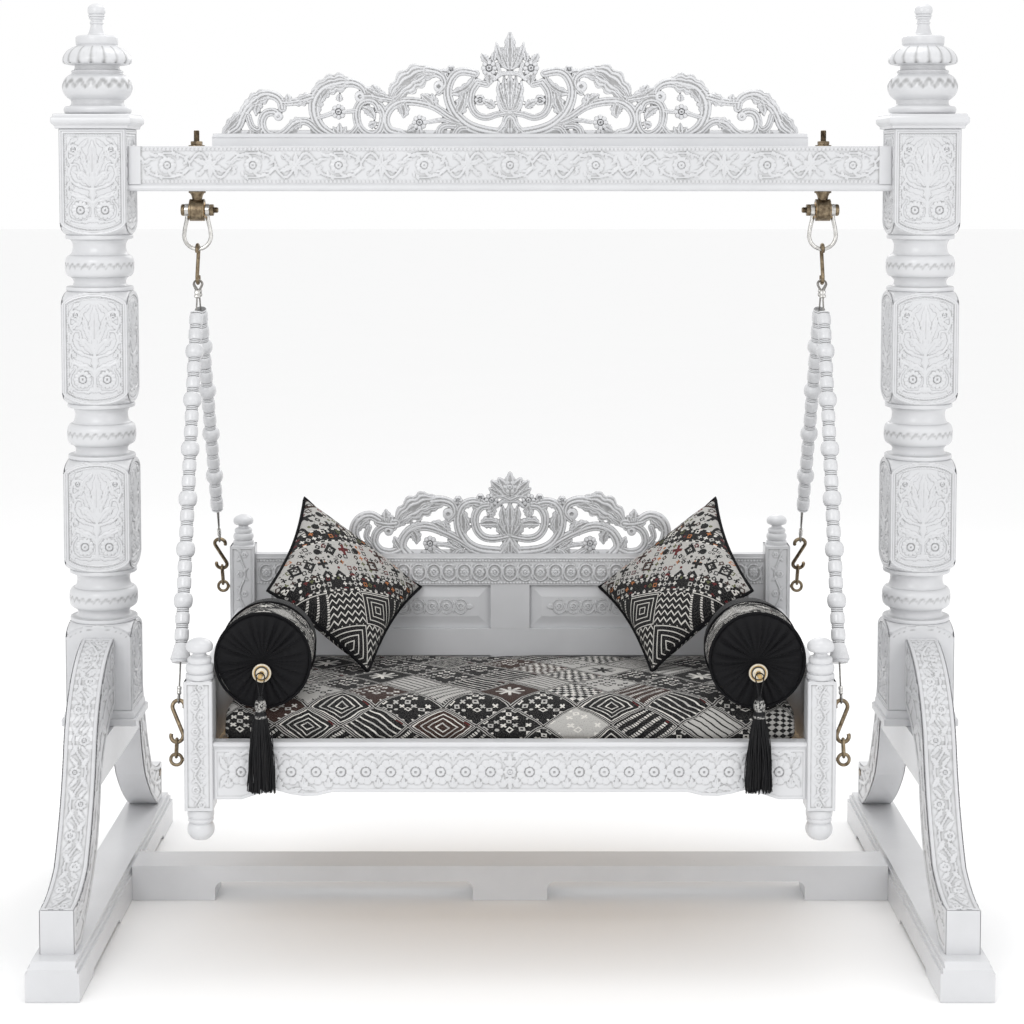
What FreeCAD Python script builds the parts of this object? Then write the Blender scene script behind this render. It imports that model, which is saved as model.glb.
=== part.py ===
import FreeCAD, Part
import math
import os

os.makedirs("parts", exist_ok=True)

# A jhoola swing: a carved seat hung on beaded strands from a free-standing frame.
# Millimetres. X runs from the left post to the right one, the front faces -Y, the floor is Z = 0.

V = FreeCAD.Vector

# Clearances
SEAM = 0.2              # glue line between fixed pieces
SOFT_GAP = 0.4          # between a soft piece and what it lies on
RUN_FIT = 0.05          # radial, a shaft turning in its bearing
PEG_FIT = 0.2           # radial, a peg or bolt in its hole
HANG_GAP = 1.1          # between a loop and the wire that it hangs on, their curves being cut as flats
LOOSE_LOOP_GAP = 1.2    # under the lower hook, where the strand leans sideways
OVERRUN = 5.0           # how far every cut runs past the face that it opens

# Flats that stand for a round, and steps along an arc of wire
POST_FLAT_COUNT = 16
FINIAL_FLAT_COUNT = 12
SEAT_FLAT_COUNT = 10
BEAD_FLAT_COUNT = 7
BOLSTER_FLAT_COUNT = 16
PEG_FLAT_COUNT = 8
WIRE_FLAT_COUNT = 6
THIN_FLAT_COUNT = 5
ARC_STEP_COUNT = 6
LINK_STEP_COUNT = 4
LATCH_STEP_COUNT = 8
NUT_FLAT_COUNT = 6
PEG_OUTER_SHARE = 1 / math.cos(math.pi / PEG_FLAT_COUNT)

# Stand: overall stance
POST_SPACING = 1940.0   # between the centres of the two posts
SLEDGE_LENGTH = 1280.0
SLEDGE_WIDTH = 116.0
SLEDGE_HEIGHT = 84.0
SLEDGE_RELIEF = 13.0    # how far the sledge clears the floor between its feet
SLEDGE_END_FOOT = 150.0
SLEDGE_MID_FOOT = 310.0
SLEDGE_STEP = 5.0       # each of the two mouldings along the top edges
SLEDGE_STEP_HEIGHT = 11.0
SLEDGE_CHAMFER = 14.0

# Stand: posts
POST_FOOT_Z = 450.0
PLINTH_SIDE = 176.0
PLINTH_HEIGHT = 35.0
PLINTH_STEP = 6.0
BLOCK_SIDE = 156.0
BLOCK_CHAMFER = 5.0
LOWEST_BLOCK = 205.0
LOWER_BLOCK = 262.0
UPPER_BLOCK = 265.0
TOP_BLOCK = 247.0
LOWER_COLLAR = 125.0
COLLAR = 133.0
SHOULDER = 34.0         # height of the turned shoulder that makes the round-headed block ends
CAP_SIDE = 187.0
CAP_HEIGHT = 35.0
CAP_LIP = 9.0
FINIAL_HEIGHT = 260.0
FINIAL_RADIUS = 81.0
PEG_RADIUS = 15.0
PEG_DEPTH = 40.0        # how deep the finial's peg goes into the post

# Stand: braces, tie block and floor stretcher
BRACE_WIDTH = 72.0
BRACE_REACH = 507.0
BRACE_RISE = 572.0
TIE_BLOCK_DROP = 92.0
TIE_BLOCK_HALF = 258.0
LATCH_RADIUS = 15.0
LATCH_THICKNESS = 3.0
LATCH_INSET = 25.0      # from the brace's toe
LATCH_LIFT = 79.0       # above the sledge
STRETCHER_FRONT_Y = 5.0
STRETCHER_WIDTH = 113.0
STRETCHER_THIN = 38.0
STRETCHER_END_FOOT = 200.0
STRETCHER_MID_FOOT = 180.0
STRETCHER_RADIUS = 20.0

# Stand: top beam, crest rail and crest
BEAM_Z = 1710.0
BEAM_HEIGHT = 105.0
BEAM_DEPTH = 104.0
BEAM_LIP = 16.0
BEAM_LIP_PROUD = 4.0
TENON_LENGTH = 60.0
TENON_HEIGHT = 70.0
TENON_DEPTH = 40.0
CREST_RAIL_GAP = 38.0   # from each end of the crest rail to the middle of the hanger's stem
CREST_RAIL_HEIGHT = 30.0
CREST_RAIL_DEPTH = 30.0
CREST_RAIL_SLOPE = 9.0
CREST_INSET = 10.0      # the crest's ends from the crest rail's ends
CREST_RISE = 237.0
CREST_DEPTH = 22.0

# Hangers: what turns on the beam's two pivots
HANG_X = 738.0
PIVOT_DROP = 45.0       # from the beam's underside to the pivot's axis
STEM_RADIUS = 7.0
STEM_STUB = 26.0        # thread above the nut
STEM_NUT_RADIUS = 15.0
STEM_NUT_HEIGHT = 9.0
WASHER_RADIUS = 19.0
WASHER_THICKNESS = 2.5
FLANGE_RADIUS = 20.0
FLANGE_THICKNESS = 5.0
NECK_RADIUS = 10.0
NECK_TOP_RADIUS = 16.0
DRUM_RADIUS = 26.0
DRUM_LENGTH = 36.0
BEARING_RADIUS = 19.0
PIVOT_RADIUS = 7.0
PIVOT_HEAD_RADIUS = 14.0
PIVOT_HEAD = 9.0
PIVOT_NUT_RADIUS = 15.5
PIVOT_STUB = 11.0
EAR_RADIUS = 15.0
EAR_THICKNESS = 10.4
EAR_GAP = 1.0
EAR_LEG_SHARE = 0.7     # of the ear's radius, down to where the bow's wire leaves it
BOW_WIRE = 5.0          # radius
BOW_HALF = 31.5         # half the bow's width, to the middle of its wire
BOW_DROP = 92.0         # from the pivot to the middle of the bow's wire at its bottom
UPPER_HOOK_WIRE = 3.75
UPPER_HOOK_ARC = 13.0
UPPER_HOOK_HEIGHT = 98.0
HOOK_WIRE = 3.0
HOOK_ARC = 13.5
HOOK_HEIGHT = 98.0
HOOK_TIP_ANGLE = 20.0   # how far each hook's tip turns past level
LOOP_TIP_ANGLE = 25.0   # how far each rope loop turns past level
TASSEL_TIP_ANGLE = 20.0 # the same for the tassel's loop

# Strands
ROPE_WIRE = 2.0
LOOP_HALF = 10.0
UPPER_LOOP = 44.0
LOWER_LOOP = 37.0
CLIP_LENGTH = 18.0
CLIP_HALF_WIDTH = 7.0
CLIP_HALF_DEPTH = 5.0
BEAD_RADIUS = 21.5
BEAD_LENGTH = 44.0
SMALL_BEAD_RADIUS = 16.0
BELL_RADIUS = 23.0
BELL_LENGTH = 45.0
BEAD_BORE = 2.6
FRONT_BEAD_PITCH = 117.5
FRONT_BEAD_COUNT = 6
BACK_BEAD_PITCH = 126.0
BACK_BEAD_COUNT = 4
BARE_ROPE = 36.0        # between the upper clip and the first bead
FRONT_LINK = 44.0
BACK_LINK = 60.0
LINK_WIRE = 2.5
LINK_ARC = 8.5
EYE_ARC = 12.5
EYE_WIRE = 3.0
EYE_SHANK = 3.5
EYE_COLLAR_RADIUS = 6.5
EYE_COLLAR = 3.0
EYE_DEPTH = 30.0

# Seat: where its four posts stand and how high the strands hold them
SEAT_X = 685.0
SEAT_FRONT_Y = -405.0
SEAT_BACK_Y = 401.0
FRONT_EYE_Z = 459.0
BACK_EYE_Z = 690.0
SEAT_POST = 64.0
SEAT_POST_CHAMFER = 3.0
SEAT_BLOCK_Z = 351.0
FRONT_BLOCK = 290.0
BACK_BLOCK = 448.0
BUN_HEIGHT = 69.0
BUN_RADIUS = 30.0
KNOB_HEIGHT = 91.0
KNOB_RADIUS = 34.0
BACK_KNOB_SCALE = 0.85
RAIL_THICKNESS = 30.0
FRONT_RAIL_TOP = 504.0
FRONT_RAIL_DEPTH = 112.0
FRONT_RAIL_LIP = 12.0
SIDE_BOARD = 26.0
SIDE_BOARD_Z = 390.0
SIDE_BOARD_HEIGHT = 251.0
BOTTOM_RAIL_Z = 380.0
BOTTOM_RAIL_HEIGHT = 60.0
MID_RAIL_Z = 513.0
MID_RAIL_HEIGHT = 69.0
TOP_RAIL_Z = 695.0
TOP_RAIL_HEIGHT = 81.0
RAIL_ROUND = 6.0
RAIL_FRONT_SHARE = 0.75 # of the front rail's thickness, in front of its posts' middle line
END_STILE = 40.0
CENTRE_STILE = 100.0
PANEL_BACK_SHARE = 0.75 # of the back rails' thickness, to the panels' back
PANEL_THICKNESS = 8.0
PANEL_FIELD = 8.0
PANEL_BEVEL = 31.0
BACK_CREST_HALF = 417.0
BACK_CREST_RISE = 216.0
BACK_CREST_DEPTH = 20.0

# Seat: deck
DECK_GAP = 2.0          # between the front rail and the first slat
DECK_SLOPE = 5.0        # degrees, down towards the back
DECK_FRONT_Z = 487.0
SLAT_COUNT = 8
SLAT_WIDTH = 76.0
SLAT_THICKNESS = 16.0
SLAT_END_GAP = 3.0
BEARER_WIDTH = 30.0
BEARER_HEIGHT = 26.0
BEARER_START = 6.0      # the middle bearer's gap behind the front rail

# Seat: soft pieces
MATTRESS_SIDE_GAP = 32.0
MATTRESS_END_GAP = 13.4852
MATTRESS_THICKNESS = 96.0
MATTRESS_CROWN = 8.0
MATTRESS_BULGE = 7.0
BOLSTER_SIDE_GAP = 18.0
BOLSTER_RADIUS = 108.0
BOLSTER_LENGTH = 270.0
BOLSTER_FRONT_Y = -415.0
BOLSTER_Z = 680.0
BUTTON_DROP = 24.0      # the button sits below the bolster's middle
BUTTON_RADIUS = 21.5
BUTTON_THICKNESS = 13.0
BUTTON_STEM_RADIUS = 4.0
BUTTON_KNOT_RADIUS = 5.0
TASSEL_REACH = 33.0     # from the bolster's front to the tassel's plane
TASSEL_LOOP_ARC = 9.5
TASSEL_LOOP = 52.0
TASSEL_CORD = 1.5
TASSEL_HEAD_HEIGHT = 49.0
TASSEL_HEAD_RADIUS = 13.5
TASSEL_SKIRT = 174.0
TASSEL_TOP_HALF = 24.0
TASSEL_HEM_HALF = 36.0
TASSEL_HALF_DEPTH = 11.0
CUSHION_SIDE = 372.0
CUSHION_HALF_THICKNESS = 66.0
CUSHION_EDGE = 4.0
CUSHION_FROM_BOARD = 252.0
CUSHION_FROM_BACK = 182.1
CUSHION_Z = 723.7

# Derived places
POST_X = POST_SPACING / 2
HALF_BLOCK = BLOCK_SIDE / 2
POST_TOP_Z = (POST_FOOT_Z + PLINTH_HEIGHT + LOWEST_BLOCK + LOWER_COLLAR + LOWER_BLOCK
              + COLLAR + UPPER_BLOCK + COLLAR + TOP_BLOCK)
BEAM_TOP_Z = BEAM_Z + BEAM_HEIGHT
BEAM_HALF = POST_X - HALF_BLOCK - SEAM
CREST_RAIL_HALF = HANG_X - CREST_RAIL_GAP
CREST_HALF = CREST_RAIL_HALF - CREST_INSET
PIVOT_Z = BEAM_Z - PIVOT_DROP
UPPER_HOOK_TOP_Z = PIVOT_Z - BOW_DROP + BOW_WIRE + HANG_GAP + UPPER_HOOK_WIRE
UPPER_HOOK_LOW_Z = UPPER_HOOK_TOP_Z - (UPPER_HOOK_HEIGHT - 2 * UPPER_HOOK_WIRE)
APEX_Z = UPPER_HOOK_LOW_Z + UPPER_HOOK_ARC
HALF_SEAT_POST = SEAT_POST / 2
SEAT_INNER_X = SEAT_X - HALF_SEAT_POST
SIDE_BOARD_FACE_X = SEAT_X - SIDE_BOARD / 2
MATTRESS_HALF = SIDE_BOARD_FACE_X - MATTRESS_SIDE_GAP
BOLSTER_X = SIDE_BOARD_FACE_X - BOLSTER_SIDE_GAP - BOLSTER_RADIUS
CUSHION_X = SIDE_BOARD_FACE_X - CUSHION_FROM_BOARD
SIDE_LENGTH = SEAT_BACK_Y - SEAT_FRONT_Y - SEAT_POST
BACK_FACE_Y = SEAT_BACK_Y - RAIL_THICKNESS / 2
CUSHION_Y = BACK_FACE_Y - CUSHION_FROM_BACK
RAIL_FRONT_Y = SEAT_FRONT_Y - RAIL_THICKNESS * RAIL_FRONT_SHARE
DECK_FRONT_Y = RAIL_FRONT_Y + RAIL_THICKNESS + DECK_GAP
DECK_RUN = (BACK_FACE_Y - DECK_FRONT_Y) / math.cos(math.radians(DECK_SLOPE)) - OVERRUN
MATTRESS_LENGTH = DECK_RUN - MATTRESS_END_GAP
BOLSTER_BUTTON_Z = BOLSTER_Z - BUTTON_DROP
TASSEL_Y = BOLSTER_FRONT_Y - TASSEL_REACH

# Turned outlines, as shares: (height, radius)
COLLAR_SHARES = [
    (0.00, 0.98), (0.06, 0.98), (0.10, 0.78), (0.21, 0.80), (0.32, 0.96), (0.56, 0.96), (0.66, 0.80),
    (0.88, 0.78), (0.94, 0.98), (1.00, 0.98),
]
FINIAL_SHARES = [
    (0.000, 0.88), (0.035, 0.97), (0.070, 0.88), (0.085, 0.77), (0.130, 0.84),
    (0.215, 1.00), (0.310, 0.95), (0.395, 0.74), (0.425, 0.78),
    (0.500, 0.97), (0.575, 0.80), (0.615, 0.63), (0.670, 0.61), (0.685, 0.28),
    (0.730, 0.21), (0.870, 0.18), (0.935, 0.26), (0.980, 0.17), (1.000, 0.03),
]
BUN_SHARES = [
    (0.00, 0.60), (0.12, 0.86), (0.32, 1.00), (0.52, 0.84), (0.62, 0.92),
    (0.95, 0.95), (1.00, 0.90),
]
KNOB_SHARES = [
    (0.00, 1.00), (0.14, 1.00), (0.22, 0.92), (0.32, 0.98), (0.45, 0.96),
    (0.52, 0.72), (0.64, 0.84), (0.80, 0.88), (0.93, 0.66), (1.00, 0.10),
]
BEAD_SHARES = [(0.00, 0.60), (0.20, 0.88), (0.50, 1.00), (0.82, 0.86), (1.00, 0.60)]
SMALL_BEAD_SHARES = [(0.00, 0.80), (0.50, 1.00), (1.00, 0.80)]
BELL_SHARES = [(0.00, 0.56), (0.30, 0.80), (0.80, 1.00), (1.00, 0.86)]
BOLSTER_SHARES = [
    (0.045, 0.20), (0.000, 0.36), (0.010, 0.68), (0.050, 0.92), (0.070, 0.90),
    (0.120, 0.97), (0.300, 1.00), (0.500, 0.99), (0.530, 0.96), (0.720, 0.97),
    (0.880, 0.86), (0.970, 0.62), (1.000, 0.30),
]
TASSEL_HEAD_SHARES = [
    (0.00, 0.90), (0.18, 1.00), (0.30, 0.80), (0.55, 0.95), (0.80, 0.60),
    (1.00, 0.30),
]

# Brace outline, as shares of its reach from the post and its rise from the sledge
BRACE_UPPER_SHARES = [
    (0.000, 1.000), (0.241, 0.920), (0.462, 0.640), (0.572, 0.404), (0.690, 0.243), (0.840, 0.185),
    (1.000, 0.168),
]
BRACE_UNDER_SHARES = [
    (0.872, 0.000), (0.682, 0.096), (0.500, 0.230), (0.416, 0.358), (0.370, 0.485), (0.250, 0.620),
    (0.000, 0.724),
]

# Front rail's lower edge, as shares of the rail's half length and depth
FRONT_RAIL_SHARES = [
    (0.000, 0.145), (0.600, 0.145), (0.650, 0.075), (0.700, 0.065), (0.745, 0.110), (0.795, 0.190),
    (0.850, 0.110), (0.905, 0.000), (1.000, 0.000),
]

# Openwork crests, as shares of half width and rise, from the middle outwards
CREST_TOP_SHARES = [
    (0.000, 1.000), (0.022, 0.900), (0.042, 0.890), (0.040, 0.800), (0.085, 0.780), (0.105, 0.650),
    (0.130, 0.620), (0.205, 0.665), (0.265, 0.645), (0.315, 0.610), (0.360, 0.555), (0.420, 0.385),
    (0.455, 0.385), (0.478, 0.470), (0.535, 0.495), (0.595, 0.505), (0.650, 0.460), (0.695, 0.350),
    (0.740, 0.335), (0.770, 0.385), (0.845, 0.395), (0.895, 0.365), (0.935, 0.270), (0.950, 0.150),
    (0.985, 0.000),
]
CREST_HOLE_SHARES = [
    [(0.040, 0.500), (0.075, 0.505), (0.112, 0.475), (0.095, 0.375), (0.055, 0.370), (0.036, 0.430)],
    [(0.055, 0.230), (0.085, 0.285), (0.120, 0.270), (0.115, 0.190), (0.085, 0.155)],
    [(0.140, 0.510), (0.165, 0.475), (0.180, 0.250), (0.165, 0.125), (0.140, 0.270)],
    [(0.245, 0.520), (0.275, 0.575), (0.300, 0.530), (0.305, 0.430), (0.275, 0.375), (0.255, 0.420)],
    [(0.222, 0.380), (0.245, 0.370), (0.240, 0.290), (0.212, 0.180)],
    [(0.315, 0.330), (0.350, 0.415), (0.385, 0.325), (0.350, 0.315)],
    [(0.315, 0.275), (0.355, 0.285), (0.375, 0.170), (0.415, 0.215), (0.400, 0.060), (0.345, 0.020)],
    [(0.455, 0.240), (0.480, 0.285), (0.505, 0.230), (0.515, 0.110), (0.480, 0.035), (0.450, 0.110)],
    [(0.530, 0.400), (0.565, 0.455), (0.590, 0.370), (0.585, 0.270), (0.540, 0.260)],
    [(0.620, 0.395), (0.650, 0.395), (0.670, 0.295), (0.655, 0.180), (0.622, 0.240)],
    [(0.700, 0.270), (0.755, 0.250), (0.795, 0.250), (0.822, 0.140), (0.785, 0.060), (0.745, 0.140),
     (0.700, 0.150)],
    [(0.832, 0.330), (0.865, 0.320), (0.880, 0.190), (0.850, 0.190)],
]
BACK_CREST_TOP_SHARES = [
    (0.000, 1.000), (0.035, 0.885), (0.075, 0.915), (0.130, 0.825), (0.120, 0.745), (0.190, 0.715),
    (0.215, 0.640), (0.285, 0.618), (0.325, 0.670), (0.370, 0.618), (0.450, 0.631), (0.560, 0.604),
    (0.660, 0.523), (0.722, 0.455), (0.790, 0.482), (0.868, 0.455), (0.950, 0.387), (0.985, 0.270),
    (0.995, 0.000),
]
BACK_CREST_HOLE_SHARES = [
    [(0.090, 0.540), (0.125, 0.590), (0.165, 0.540), (0.160, 0.400), (0.100, 0.400)],
    [(0.095, 0.260), (0.125, 0.305), (0.180, 0.280), (0.160, 0.200), (0.115, 0.180)],
    [(0.055, 0.120), (0.105, 0.125), (0.165, 0.060), (0.060, 0.040)],
    [(0.220, 0.530), (0.265, 0.500), (0.285, 0.350), (0.250, 0.170), (0.225, 0.280)],
    [(0.385, 0.520), (0.425, 0.520), (0.435, 0.420), (0.385, 0.400)],
    [(0.475, 0.430), (0.520, 0.455), (0.590, 0.370), (0.500, 0.320)],
    [(0.520, 0.250), (0.570, 0.280), (0.640, 0.210), (0.600, 0.060), (0.540, 0.080)],
    [(0.800, 0.370), (0.850, 0.400), (0.915, 0.330), (0.890, 0.200), (0.830, 0.250)],
]

# Cushion: its corners as shares of its side from its middle, in order round it: the top one, the one
# by the side board, the front one and the one towards the seat's middle; then which way it faces
CUSHION_CORNER_SHARES = [
    (0.285, 0.485, 0.530), (0.444, -0.402, 0.060), (-0.215, -0.545, -0.440), (-0.513, 0.485, -0.090),
]
CUSHION_FACING_SHARES = (-0.502, -0.507, 0.702)
# Cushion stations across it and the fullness there, as shares
CUSHION_SHARES = [
    (-1.00, 0.00), (-0.88, 0.42), (-0.55, 0.84), (0.00, 1.00), (0.55, 0.84), (0.88, 0.42), (1.00, 0.00),
]
CUSHION_DRAW_SHARE = 0.05
# Mattress stations: (place along the half width, thickness)
MATTRESS_SHARES = [
    (-1.00, 0.70), (-0.975, 0.96), (-0.50, 1.00), (0.50, 1.00), (0.975, 0.96), (1.00, 0.70),
]
# Mattress section, from the lower front edge round: (place along the depth, bulge, height, crown)
PAD_SHARES = [
    (0.0, 1.0, 0.0, 0.0), (0.0, 0.0, 0.5, 0.0), (0.0, 1.0, 1.0, 0.0), (0.25, 0.0, 1.0, 0.8),
    (0.5, 0.0, 1.0, 1.0), (0.75, 0.0, 1.0, 0.8), (1.0, -1.0, 1.0, 0.0), (1.0, 0.0, 0.5, 0.0),
    (1.0, -1.0, 0.0, 0.0),
]
# A rope clip's section, as shares of its half width and half depth
CLIP_SHARES = [
    (1.0, 0.5), (0.6, 1.0), (-0.6, 1.0), (-1.0, 0.5), (-1.0, -0.5), (-0.6, -1.0), (0.6, -1.0), (1.0, -0.5),
]
# Tassel skirt stations: (drop, width between the top's and the hem's), and its flat oval section
SKIRT_SHARES = [(0.00, 0.00), (0.30, 0.45), (0.70, 0.75), (1.00, 1.00)]
OVAL_SHARES = [
    (1.0, 0.4), (0.6, 0.9), (0.0, 1.0), (-0.6, 0.9), (-1.0, 0.4), (-1.0, -0.4), (-0.6, -0.9), (0.0, -1.0),
    (0.6, -0.9), (1.0, -0.4),
]


def box(x, y, z, low, middle=True):
    """A block x by y by z whose lowest corner is low, or whose middle in X and Y is there."""
    shift = V(x / 2, y / 2, 0) if middle else V(0, 0, 0)
    return Part.makeBox(x, y, z, low - shift)


def face(points):
    return Part.Face(Part.makePolygon(points + [points[0]]))


def line(start, end):
    return Part.LineSegment(start, end).toShape()


def arc(start, middle, end):
    return Part.Arc(start, middle, end).toShape()


def arcs(points):
    """Arcs through every other point: each arc ends where the next one starts."""
    return [arc(points[i], points[i + 1], points[i + 2]) for i in range(0, len(points) - 2, 2)]


def rod(radius, length, base, axis):
    """A true round, for what turns or goes through a hole."""
    return Part.makeCylinder(radius, length, base, axis)


def peg(radius, length, base, axis, sides=PEG_FLAT_COUNT):
    """A round piece that never turns, cut as flats."""
    other = V(0, 1, 0) if abs(axis.y) < 0.9 else V(0, 0, 1)
    return wire_form([base, base + axis * length], axis.cross(other).normalize(), radius, sides)


def ring_of(middle, radius, sides):
    """The corners of a level regular outline, with flats square to X and Y."""
    corners = []
    for k in range(sides):
        turn = 2 * math.pi * (k + 0.5) / sides
        corners.append(middle + V(radius * math.cos(turn), radius * math.sin(turn), 0))
    return corners


def cap(ring):
    """Triangles that zigzag across a ring, for one that isn't quite flat."""
    faces = []
    near, far = 0, len(ring) - 1
    while far - near > 1:
        faces.append(face([ring[near], ring[near + 1], ring[far]]))
        near += 1
        if far - near > 1:
            faces.append(face([ring[near], ring[far - 1], ring[far]]))
            far -= 1
    return faces


def skin(rings, closed=False, twisted=False):
    """A solid whose sides join each ring of corners to the next; a ring of one point is a tip.

    Twisted sides are halved into triangles, which are flat whatever the corners.
    """
    faces = []
    count = len(rings)
    for i in range(count if closed else count - 1):
        near, far = rings[i], rings[(i + 1) % count]
        sides = max(len(near), len(far))
        for k in range(sides):
            n = (k + 1) % sides
            if len(near) == 1:
                faces.append(face([near[0], far[n], far[k]]))
            elif len(far) == 1:
                faces.append(face([near[k], near[n], far[0]]))
            elif twisted:
                faces += [face([near[k], near[n], far[n]]), face([near[k], far[n], far[k]])]
            else:
                faces.append(face([near[k], near[n], far[n], far[k]]))
    for ring in [] if closed else [rings[0], rings[-1]]:
        if len(ring) > 1:
            faces += cap(ring) if twisted else [face(ring)]
    solid = Part.Solid(Part.Shell(faces))
    if solid.Volume < 0:
        solid.reverse()
    return solid


def turned(shares, height, radius, sides, foot=V(0, 0, 0)):
    """A turned piece standing on foot, from height and radius shares, its round cut as flats."""
    rings = []
    for h, r in shares:
        middle = foot + V(0, 0, height * h)
        rings.append(ring_of(middle, radius * r, sides) if r else [middle])
    return skin(rings)


def wire_form(path, normal, radius, sides=WIRE_FLAT_COUNT, closed=False):
    """Bend a wire of the given radius along a flat path, with mitred corners."""
    count = len(path)
    rings = []
    for i in range(count):
        before = path[i] - path[i - 1] if closed or i > 0 else path[i + 1] - path[i]
        after = path[(i + 1) % count] - path[i] if closed or i < count - 1 else before
        before, after = before.normalize(), after.normalize()
        along = (before + after).normalize()
        across = normal.cross(along)
        stretch = 1 / max(along.dot(before), 0.5)
        ring = []
        for k in range(sides):
            turn = 2 * math.pi * (k + 0.5) / sides
            ring.append(path[i] + across * (radius * math.cos(turn) * stretch)
                        + normal * (radius * math.sin(turn)))
        rings.append(ring)
    return skin(rings, closed)


def arc_points(middle, first, second, radius, start, end, steps):
    """Points on an arc round middle, from start to end degrees, first being 0 and second 90."""
    points = []
    for i in range(steps + 1):
        turn = math.radians(start + (end - start) * i / steps)
        points.append(middle + first * (radius * math.cos(turn)) + second * (radius * math.sin(turn)))
    return points


def s_hook(low, up, side, height, arc_radius, wire):
    """An S-hook: low is the middle of its wire at the bottom, side is where its top tip points."""
    rise = height - 2 * wire
    lower = low + up * arc_radius
    upper = low + up * (rise - arc_radius)
    half_gap = (rise - 2 * arc_radius) / 2
    lean = math.degrees(math.acos(arc_radius / half_gap))
    tip = HOOK_TIP_ANGLE
    top = arc_points(upper, side, up, arc_radius, -tip, 270 - lean, ARC_STEP_COUNT)
    bottom = arc_points(lower, side, up, arc_radius, 90 - lean, -180 - tip, ARC_STEP_COUNT)
    return wire_form(top + bottom, side.cross(up), wire, THIN_FLAT_COUNT)


def ring_link(low, up, side, length, arc_radius, wire):
    """A chain link: low is the middle of its wire at the bottom end."""
    lower = low + up * arc_radius
    upper = low + up * (length - 2 * wire - arc_radius)
    path = arc_points(lower, side, up, arc_radius, -180, 0, LINK_STEP_COUNT)
    path += arc_points(upper, side, up, arc_radius, 0, 180, LINK_STEP_COUNT)
    return wire_form(path, side.cross(up), wire, THIN_FLAT_COUNT, True)


def rope_loop(end, inward, side, length):
    """A loop of rope whose two legs lie together in its clip; end is its wire's middle at the end."""
    middle = end + inward * LOOP_HALF
    legs = end + inward * length
    leg = side * (ROPE_WIRE + SEAM)
    turn = arc_points(middle, side, inward, LOOP_HALF, LOOP_TIP_ANGLE,
                      -180 - LOOP_TIP_ANGLE, ARC_STEP_COUNT)
    path = [legs + leg, legs + leg - inward * CLIP_LENGTH] + turn
    path += [legs - leg - inward * CLIP_LENGTH, legs - leg]
    return wire_form(path, side.cross(inward), ROPE_WIRE, THIN_FLAT_COUNT)


def save(node, shape):
    shape.exportStep("parts/" + node + ".step")


def mirrored(shape):
    return shape.mirror(V(0, 0, 0), V(1, 0, 0))


def save_pair(node, right):
    """Save the right-hand piece and its mirror image on the left."""
    save("right_" + node, right)
    save("left_" + node, mirrored(right))


def save_group(node, right_pieces):
    """Save one node that holds the right-hand pieces and their mirror images."""
    save(node, Part.makeCompound(right_pieces + [mirrored(piece) for piece in right_pieces]))


def sledge():
    half = SLEDGE_WIDTH / 2
    top = SLEDGE_HEIGHT
    low, high = top - 2 * SLEDGE_STEP_HEIGHT, top - SLEDGE_STEP_HEIGHT
    inner = half - SLEDGE_STEP
    steps = [(half, 0), (half, low), (inner, low), (inner, high), (inner - SLEDGE_STEP, high),
             (inner - SLEDGE_STEP, top)]
    section = steps + [(-x, z) for x, z in reversed(steps)]
    length = SLEDGE_LENGTH
    bar = face([V(x, -length / 2, z) for x, z in section]).extrude(V(0, length, 0))
    end = length / 2
    inner = end - SLEDGE_END_FOOT
    middle = SLEDGE_MID_FOOT / 2
    side = [(end, 0), (end, top - SLEDGE_CHAMFER), (end - SLEDGE_CHAMFER, top)]
    side += [(-y, z) for y, z in reversed(side)]
    side += [(-inner, 0), (-inner + SLEDGE_RELIEF, SLEDGE_RELIEF), (-middle - SLEDGE_RELIEF, SLEDGE_RELIEF),
             (-middle, 0), (middle, 0), (middle + SLEDGE_RELIEF, SLEDGE_RELIEF),
             (inner - SLEDGE_RELIEF, SLEDGE_RELIEF), (inner, 0)]
    outline = face([V(-half, y, z) for y, z in side]).extrude(V(SLEDGE_WIDTH, 0, 0))
    return bar.common(outline).translated(V(POST_X, 0, 0))


def brace():
    """The front right brace; it curves from the post's lowest block down to the sledge's toe."""
    root = -HALF_BLOCK - SEAM
    x = POST_X - BRACE_WIDTH / 2
    upper = [V(x, root - BRACE_REACH * r, SLEDGE_HEIGHT + BRACE_RISE * h) for r, h in BRACE_UPPER_SHARES]
    under = [V(x, root - BRACE_REACH * r, SLEDGE_HEIGHT + BRACE_RISE * h) for r, h in BRACE_UNDER_SHARES]
    toe = V(x, upper[-1].y, SLEDGE_HEIGHT)
    foot = [line(upper[-1], toe), line(toe, under[0])]
    edges = arcs(upper) + foot + arcs(under) + [line(under[-1], upper[0])]
    return Part.Face(Part.Wire(edges)).extrude(V(BRACE_WIDTH, 0, 0))


def tie_block(front):
    block = box(BRACE_WIDTH, 2 * TIE_BLOCK_HALF, TIE_BLOCK_DROP, V(POST_X, 0, POST_FOOT_Z - TIE_BLOCK_DROP))
    nearer = front.translated(V(0, 2 * SEAM, -2 * SEAM))
    return block.cut(nearer).cut(nearer.mirror(V(0, 0, 0), V(0, 1, 0)))


def brace_latch():
    """A half-round plate low on the inner face of the back brace."""
    x = POST_X - BRACE_WIDTH / 2 - SEAM
    y = HALF_BLOCK + BRACE_REACH - LATCH_INSET
    middle = V(x, y, SLEDGE_HEIGHT + LATCH_LIFT)
    rim = arc_points(middle, V(0, 1, 0), V(0, 0, 1), LATCH_RADIUS, 0, -180, LATCH_STEP_COUNT)
    return face(rim).extrude(V(-LATCH_THICKNESS, 0, 0))


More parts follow.
